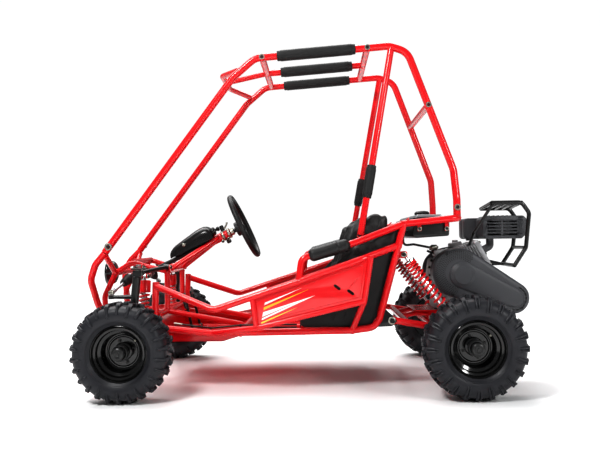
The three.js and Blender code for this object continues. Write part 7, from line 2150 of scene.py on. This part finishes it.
def makeEngine():
    form = Form()
    x, z, r = engine["x"], engine["z"], engine["case"]
    form.slab(ringOf((x, z), r, 48), engine["near"], engine["far"], putXz, 5)
    for y in engine["bands"]:
        form.slab(ringOf((x, z), r + 2.4, 48), y - 2, y + 2, putXz, 0.8)
    base = [
        (x - 64.6, foot["z"] + 0.3), (x + 64.6, foot["z"] + 0.3), (x + 64.6, foot["z"] + 13.3), (x + 48, z),
        (x - 48, z), (x - 64.6, foot["z"] + 13.3),
    ]
    form.slab(base, engine["near"] * 0.72, engine["far"] * 0.9, putXz, 3)
    for side in (-70, 60):
        form.bolt(at(x - 58, side, foot["z"] + 13.3), zAxis, 5.5, 8, 4, 3, 2)

    def plate(halfUp, halfWide, start, end, corner, bevel, finish=0):
        outline = roundOutline(oblong(-halfUp, -halfWide, halfUp, halfWide), corner)
        form.slab(outline, start, end, lambda a, b, w: onEngine(w, a, engine["y"] - b), bevel, (), finish)

    pitch = (engine["finTo"] - engine["finFrom"]) / (engine["fins"] - 1)
    for i in range(engine["fins"]):
        start = engine["finFrom"] + i * pitch
        plate(engine["half"] - i * 1.2, engine["wide"], start, start + 2.8, 12, 0.6)
    plate(44, 44, 10, 140, 14, 0)
    plate(60.8, 57.6, 134, engine["head"], 10, 3)
    for up in engine["ribs"]:
        # ribs and bolts of the rocker cover
        form.slab(
            oblong(up - 2, -50, up + 2, 50), 153.5, 157.5, lambda a, b, w: onEngine(w, a, engine["y"] - b), 0.8
        )
    for up, across in ((48, 46), (48, -46), (-48, 46), (-48, -46)):
        form.bolt(
            onEngine(engine["head"], up, engine["y"] + across), onEngine(1, 0, 0) - onEngine(0, 0, 0), 5, 7, 3.5, 3,
            2,
        )
    # spark plug's cap
    form.rod(onEngine(150, -4, engine["y"] - 20), onEngine(164, -4, engine["y"] - 20), 9, 20, finish=2, edge=2)
    # fan shroud with rings of cooling slots and the pull start
    axis, hub = yAxis, at(x, engine["far"], z)
    fan = engine["fan"]
    form.lathe(
        [
            (0, 0), (fan, 0), (fan + 2, 3), (fan + 2, 22), (fan - 2, 27), (68, 40), (62, 44), (40, 44), (38, 41),
            (30, 41), (28, 44), (22, 50.6), (0, 50.6),
        ],
        hub, axis, 64, finish=1,
    )
    # each cooling slot is a dark bar laid on the shroud: painted shade for the slot's opening
    for angle in turnsOf(28):
        out = at(cos(angle), 0, sin(angle))
        form.sweep([hub + out * 46 + axis * 44.2, hub + out * 59 + axis * 44.2], [1.6, 2.4], 8, finish=2)
    form.rod(
        at(x - 30, engine["near"] + 4, z + 52), at(x - 30, engine["near"] + 26, z + 60), 10, 20, finish=2, edge=2
    )
    # carburettor and intake on the side of the cylinder

    def casting(key, corner, near, far, bevel):
        form.slab(roundOutline([(x + a, z + b) for a, b in engine[key]], corner), near, far, putXz, bevel)

    casting("carburettor", 8, 8, 44, 4)
    form.rod(at(x + 36, 26, z + 100), at(x + 36, 26, z + 126), 12, 24, edge=2)
    # side cover of the crankcase with its bolts, the governor's lever and the hoses
    casting("sideCover", 14, -128, -52, 5)
    for px, pz in engine["coverBolts"]:
        form.bolt(at(x + px, -128, z + pz), -yAxis, 5, 6.5, 3.5, 3, 2)
    casting("coil", 7, -96, -30, 3)
    form.sweep([at(x + px, y, z + pz) for px, y, pz in engine["lever"]], 2.4, 10, finish=3)
    for start, end, sag, thick in engine["hoses"]:
        a, b = at(x + start[0], -70, z + start[1]), at(x + end[0], -86, z + end[1])
        form.sweep(
            [blendTo(a, b, t / 12) - at(0, 0, sag * sin(pi * t / 12)) for t in range(13)], thick, 12, finish=2
        )
    form.make("engineBlock", "swing", "cast guard boot zinc", ["engine"], "cast_silver", smooth=35)


def coverOutline(inset, fine=40):
    dx, dz = cover["smallX"] - engine["x"], cover["smallZ"] - engine["z"]
    heading, far = atan2(dz, dx), hypot(dx, dz)
    spread = acos((cover["big"] - cover["small"]) / far)
    made = []
    for cx, cz, r, start, end in (
        (engine["x"], engine["z"], cover["big"], heading + spread, heading + 2 * pi - spread),
        (cover["smallX"], cover["smallZ"], cover["small"], heading - spread, heading + spread),
    ):
        for k in range(fine + 1):
            a = start + (end - start) * k / fine
            made.append((cx + (r - inset) * cos(a), cz + (r - inset) * sin(a)))
    return made


def makeCover():
    form = Form()
    near, far = cover["near"], cover["far"]
    levels = [
        (0, far), (0, near + 22), (1.4, near + 21), (1.4, near + 18), (0, near + 17), (0.6, near + 10),
        (3.6, near + 4), (10, near), (22, near - 1),
    ]
    form.rings([[at(a, y, b) for a, b in coverOutline(inset)] for inset, y in levels])
    hub = at(engine["x"], near, engine["z"])
    out = -yAxis
    small = at(cover["smallX"], near, cover["smallZ"])
    line = (small - hub).normalized()
    across = at(-line.z, 0, line.x)
    # a raised, tapering island runs from the round boss to the small end
    centre = hub + line * 16
    reach = (small - centre).length
    wide, narrow = cover["island"]
    spread = acos((wide - narrow) / reach)
    island = []
    for middle, r, start, end in ((centre, wide, spread, 2 * pi - spread), (small, narrow, -spread, spread)):
        for k in range(25):
            a = start + (end - start) * k / 24
            island.append(middle + spoke(line, across, a) * r)
    mid = (centre + small) / 2
    levels = ((1.0, -2), (1.0, 3.5), (0.985, 6), (0.95, 7.4))
    form.rings([[mid + (q - mid) * grow + out * rise for q in island] for grow, rise in levels])
    form.lathe([(0, 2), (45, 2), (45, 8), (41, 11), (38, 11.6), (34, 16), (0, 16.4)], centre, out, 56)
    for ring in range(cover["rows"]):
        # perforated air inlet round the boss: each hole is a small dark disc on the face, painted shade for the
        # hole's opening
        r = cover["firstRow"] + ring * cover["rowPitch"]
        count = int(r * 0.82)
        for k in range(count):
            a = 2 * pi * (k + 0.5 * (ring % 2)) / count
            if cos(a) > 0.42 - ring * 0.03:
                continue
            place = hub + spoke(line, across, a) * r
            form.lathe(
                [(0, -1), (cover["hole"], -1), (cover["hole"] - 0.1, 1.9), (0, 1.9)], place, out, 8, finish=1
            )
    for k in range(cover["slots"]):
        # slots round the small end, each a dark bar on the face: painted shade for the slot's opening
        a = -1.25 + 2.7 * k / (cover["slots"] - 1)
        way = line * cos(a) + across * sin(a)
        beside = (across * cos(a) - line * sin(a)) * 6
        form.sweep(
            [
                small + way * 45 - beside + out * 1.6, small + way * 46 + out * 1.8,
                small + way * 45 + beside + out * 1.6,
            ],
            [2.0, 2.8, 2.0], 8, finish=1,
        )
    for a, b in coverOutline(12, 3)[1:7:2]:
        form.bolt(at(a, near + 1.5, b), out, 4, 5.4, 2.4, 1, 1)
    form.make("beltCover", "swing", "cover boot zinc", ["belt_cover"], "grey_plastic", smooth=40)


def makeGuard():
    form = Form()
    g = guard
    outline = roundOutline(
        [
            (g["x0"], g["z0"] + 14), (g["x0"] + 14, g["z0"]), (g["x1"] - 22, g["z0"]), (g["x1"] - 7, g["z0"] + 14),
            (g["x1"], g["z1"] - 14), (g["x1"] - 14, g["z1"]), (g["x0"] + 14, g["z1"]), (g["x0"], g["z1"] - 14),
        ],
        8,
    )
    windows = []
    for offset in g["columns"]:
        for row in range(g["rows"]):
            cx, cz = (g["x0"] + g["x1"]) / 2 + offset, g["z0"] + 18 + row * g["pitch"]
            windows.append(roundOutline(oblong(cx - g["slot"], cz - 2.8, cx + g["slot"], cz + 3.2), 2.8))
    form.slab(outline, g["near"], g["near"] + 3, putXz, 1.2, windows)
    form.slab(outline, g["far"] - 3, g["far"], putXz, 1.2)
    inner = insetOutline(outline, 3)
    rings = [
        [at(a, y, b) for a, b in loop]
        for loop, y in (
            (outline, g["near"] + 1.5), (outline, g["far"] - 1.5), (inner, g["far"] - 1.5), (inner, g["near"] + 1.5)
        )
    ]
    form.rings(rings, closed=True)
    for window in windows:
        # each louvre has a hood pressed out over its slot
        (ax, az), (bx, _) = min(window), max(window)
        form.sweep(
            [
                at(ax, g["near"] + 0.5, az + 4), at(ax + 4, g["near"] - 1.2, az + 4.4),
                at(bx - 4, g["near"] - 1.2, az + 4.4), at(bx, g["near"] + 0.5, az + 4),
            ],
            [0.8, 2.2, 2.2, 0.8], 8,
        )
    for k in range(6):
        x = g["x0"] + 30 + k * 18
        form.across(x, g["z1"] + 0.4, g["near"] + 16, g["near"] + 76, 2.2, 8, finish=1)
    x, z, r = g["muffler"]
    form.across(x, z, g["near"] + 24, g["far"] - 3, r, 40, finish=2, edge=5)
    # the exhaust neck leaves the head and turns up into the muffler
    start, bend = (onEngine(reach, 14, g["neckY"]) for reach in (engine["head"] + running, 185))
    form.tube([start, bend, at(bend.x, g["neckY"], g["z0"] + 6)], 15, 16, 18, finish=2)
    form.make("mufflerGuard", "swing", "guard boot castDark zinc", ["muffler_guard"], "black_plastic", smooth=40)


def makeAir():
    form = Form()
    a = air
    outline = roundOutline(oblong(a["x0"], a["z0"], a["x1"], a["z1"]), 16)
    form.slab(outline, a["near"], a["near"] + 52, putXz, 5)
    form.slab(insetOutline(outline, 1.5), a["near"] + 51, a["near"] + 56, putXz, 1)
    form.slab(outline, a["near"] + 55, a["far"], putXz, 8)
    for k in range(4):
        z = a["z0"] + 20 + k * 15
        form.sweep([at(a["x0"] + 16, a["far"] - 0.5, z), at(a["x1"] - 16, a["far"] - 0.5, z)], 2.6, 8)
    form.lathe(
        [(0, 0), (9, 0), (10, 2), (10, 7), (0, 7)], at((a["x0"] + a["x1"]) / 2, a["far"] - 1, a["z1"] - 18), yAxis,
        20, finish=1,
    )
    # the intake neck ends on the head
    neckFoot = engine["z"] + (a["x0"] + 36 - engine["x"]) * tan(engine["lean"]) + 60.8 / cos(engine["lean"]) + 0.3
    form.rod(at(a["x0"] + 24, 3, neckFoot), at(a["x0"] + 24, 3, a["z0"] + 8), 12, 24, edge=1)
    form.make("airCleaner", "swing", "guard zinc", ["air_cleaner"], "black_plastic", smooth=40)


def makeEngineRack():
    form = Form()
    r = rackBars
    near, far, line = r["near"], r["far"], r["line"]
    for y, drop in ((near, 0), (far, r["drop"])):
        form.tube([at(x, y, z - (drop if k < 3 else 0)) for k, (x, z) in enumerate(line)], r["tube"], 28)
    form.tube([at(*q) for q in r["frontBar"]], 6, 24)
    for share in (0.0, 0.25, 0.5, 0.75, 1.0):
        x, z = line[0][0] + (line[1][0] - line[0][0]) * share, line[0][1]
        form.sweep([at(x, near, z), at(x, far, z - r["drop"])], r["bar"], 14)
    for (x, z), thick in ((line[4], r["tube"]), (line[3], r["bar"])):
        form.across(x, z, near, far, thick, 14)
    a, b = (onEngine(engine["head"] + running, up, 0) for up in (-59, -30))
    x, z = line[4]
    form.slab([(a.x, a.z), (x, z - 4), (x, z + 4), (b.x, b.z)], -54, -46, putXz, 1)
    form.make("engineRack", "swing", "black", ["engine_rack"], "black_paint")


makeEngine()
makeCover()
makeGuard()
makeAir()
makeEngineRack()
print("stage: engine")

# Fuel tank with its lighter top, cap and hose, the control cables and the pedals
tankCap = {"x": 1116.7, "y": -74.5, "neck": 20, "radius": 29}
hose = {
    "radius": 4.5, "y": -120,
    "line": ((1061, 591), (1033.5, 591), (1033.5, 534), (1074, 538.5), (1138, 525), (1172, 525)), "filter": 11,
}
cable = {"radius": 3.2, "y": -285, "spread": 10, "line": ((144, 243), (287, 224), (400, 234.3), (609, 234.3))}


def makeTank():
    form = Form()
    t = tank
    side = [
        (t["frontX"], t["bottomZ"] + 7), (t["frontX"] + 14, t["bottomZ"]), (t["rearX"] - 28, t["bottomZ"] + 7),
        (t["rearX"] - 26.3, t["bottomZ"] + 42), (t["rearX"] - 26.3, t["topZ"]), (t["frontX"] + 7, t["topZ"]),
    ]
    form.slab(roundOutline(side, 9), -t["half"], t["half"], putXz, 9)
    lid = [
        (t["frontX"] + 14, t["topZ"] - 3), (t["rearX"] - 39, t["topZ"] - 3), (t["rearX"] - 53, t["topZ"] + 12),
        (t["frontX"] + 22, t["topZ"] + 12),
    ]
    form.slab(roundOutline(lid, 7), 28 - t["half"], t["half"] - 28, putXz, 6, finish=1)
    form.slab(
        oblong(t["frontX"] + 5, t["topZ"] - 4, t["rearX"] - 25, t["topZ"] - 1), -t["half"] + 1, t["half"] - 1,
        putXz, 0.8,
    )
    for y in (-150, 0, 150):
        form.sweep(
            [at(t["frontX"] + 30, y, t["topZ"] + 11.4), at(t["rearX"] - 62, y, t["topZ"] + 11.4)], 2.4, 10, finish=1
        )
    c = tankCap
    centre = at(c["x"], c["y"], t["topZ"])
    form.lathe(
        [(0, 0), (20, 0), (20, 12), (27, 12), (29, 14), (29, 26), (26, 29), (23, 31), (12, 32.8), (0, 32.8)],
        centre, zAxis, 48, finish=2,
    )
    for angle in turnsOf(18):
        out = at(cos(angle), sin(angle), 0) * 28.8
        form.sweep([centre + out + at(0, 0, 14), centre + out + at(0, 0, 26)], 1.5, 6, finish=2)
    route = roundRoute([at(x, hose["y"], z) for x, z in hose["line"]], 18)
    form.sweep(route, hose["radius"], 14, finish=2)
    endX, endZ = hose["line"][-2]
    form.lathe(
        [
            (0, 0), (5, 0), (6, 3), (hose["filter"] - 1, 6), (hose["filter"], 8), (hose["filter"], 26),
            (hose["filter"] - 1, 28), (6, 31), (5, 34), (0, 34),
        ],
        at(endX, hose["y"], endZ), xAxis, 28, finish=3,
    )
    form.make("fuelTank", "frame", "tank lid boot zinc", ["fuel_tank"], "black_plastic", smooth=40)


def makeCables():
    form = Form()
    for lift in (0, cable["spread"]):
        form.sweep(roundRoute([at(x, cable["y"], z + lift) for x, z in cable["line"]], 40), cable["radius"], 14)
    upper = [at(x, cable["y"], z + cable["spread"]) for x, z in cable["line"][:2]]
    form.sweep([upper[0], blendTo(*upper, 0.22)], cable["radius"] + 1.1, 14, finish=1)
    for x, z in cable["line"][1:3]:
        form.sweep([at(x - 3, cable["y"], z - 4), at(x - 3, cable["y"], z + cable["spread"] + 4)], 2.9, 12)
    form.make("controlCables", "frame", "cable zinc", ["control_cables"], "black_plastic")


def makePedal(side, name):
    form = Form()
    y = side * pedal["half"]
    hingeZ = pedalHingeZ()
    pivot, top = at(pedal["x"], y, hingeZ), at(pedal["x"] - pedal["tilt"], y, pedal["topZ"])
    third = pedal["width"] / 3
    form.lathe(bushing(4.6, pedal["hub"], -third, third), pivot, yAxis, 28, closed=True)
    form.sweep([pivot, blendTo(pivot, top, 0.9)], pedal["arm"], 16)
    low = blendTo(pivot, top, 0.6)
    way = (top - low).normalized()
    long, wide = (top - low).length, pedal["width"] / 2
    outline = roundOutline(oblong(0, -wide, long, wide), 7)
    out = way.cross(yAxis)
    out = out if out.x > 0 else -out

    def put(a, b, w):
        return low + way * a + at(0, b, 0) + out * w

    form.slab(outline, -6, 0, put, 1.2)
    for k in range(6):
        # raised grip bars across the pad
        a = 8 + k * (long - 16) / 5
        form.sweep([low + way * a + at(0, -23, 0), low + way * a + at(0, 23, 0)], 1.6, 8, finish=1)
    form.make(f"{name}Pedal", name, "black boot", [f"{name}_pedal"], "black_paint")


makeTank()
makeCables()
makePedal(1, "throttle")
makePedal(-1, "brake")
print("stage: tank, cables and pedals")
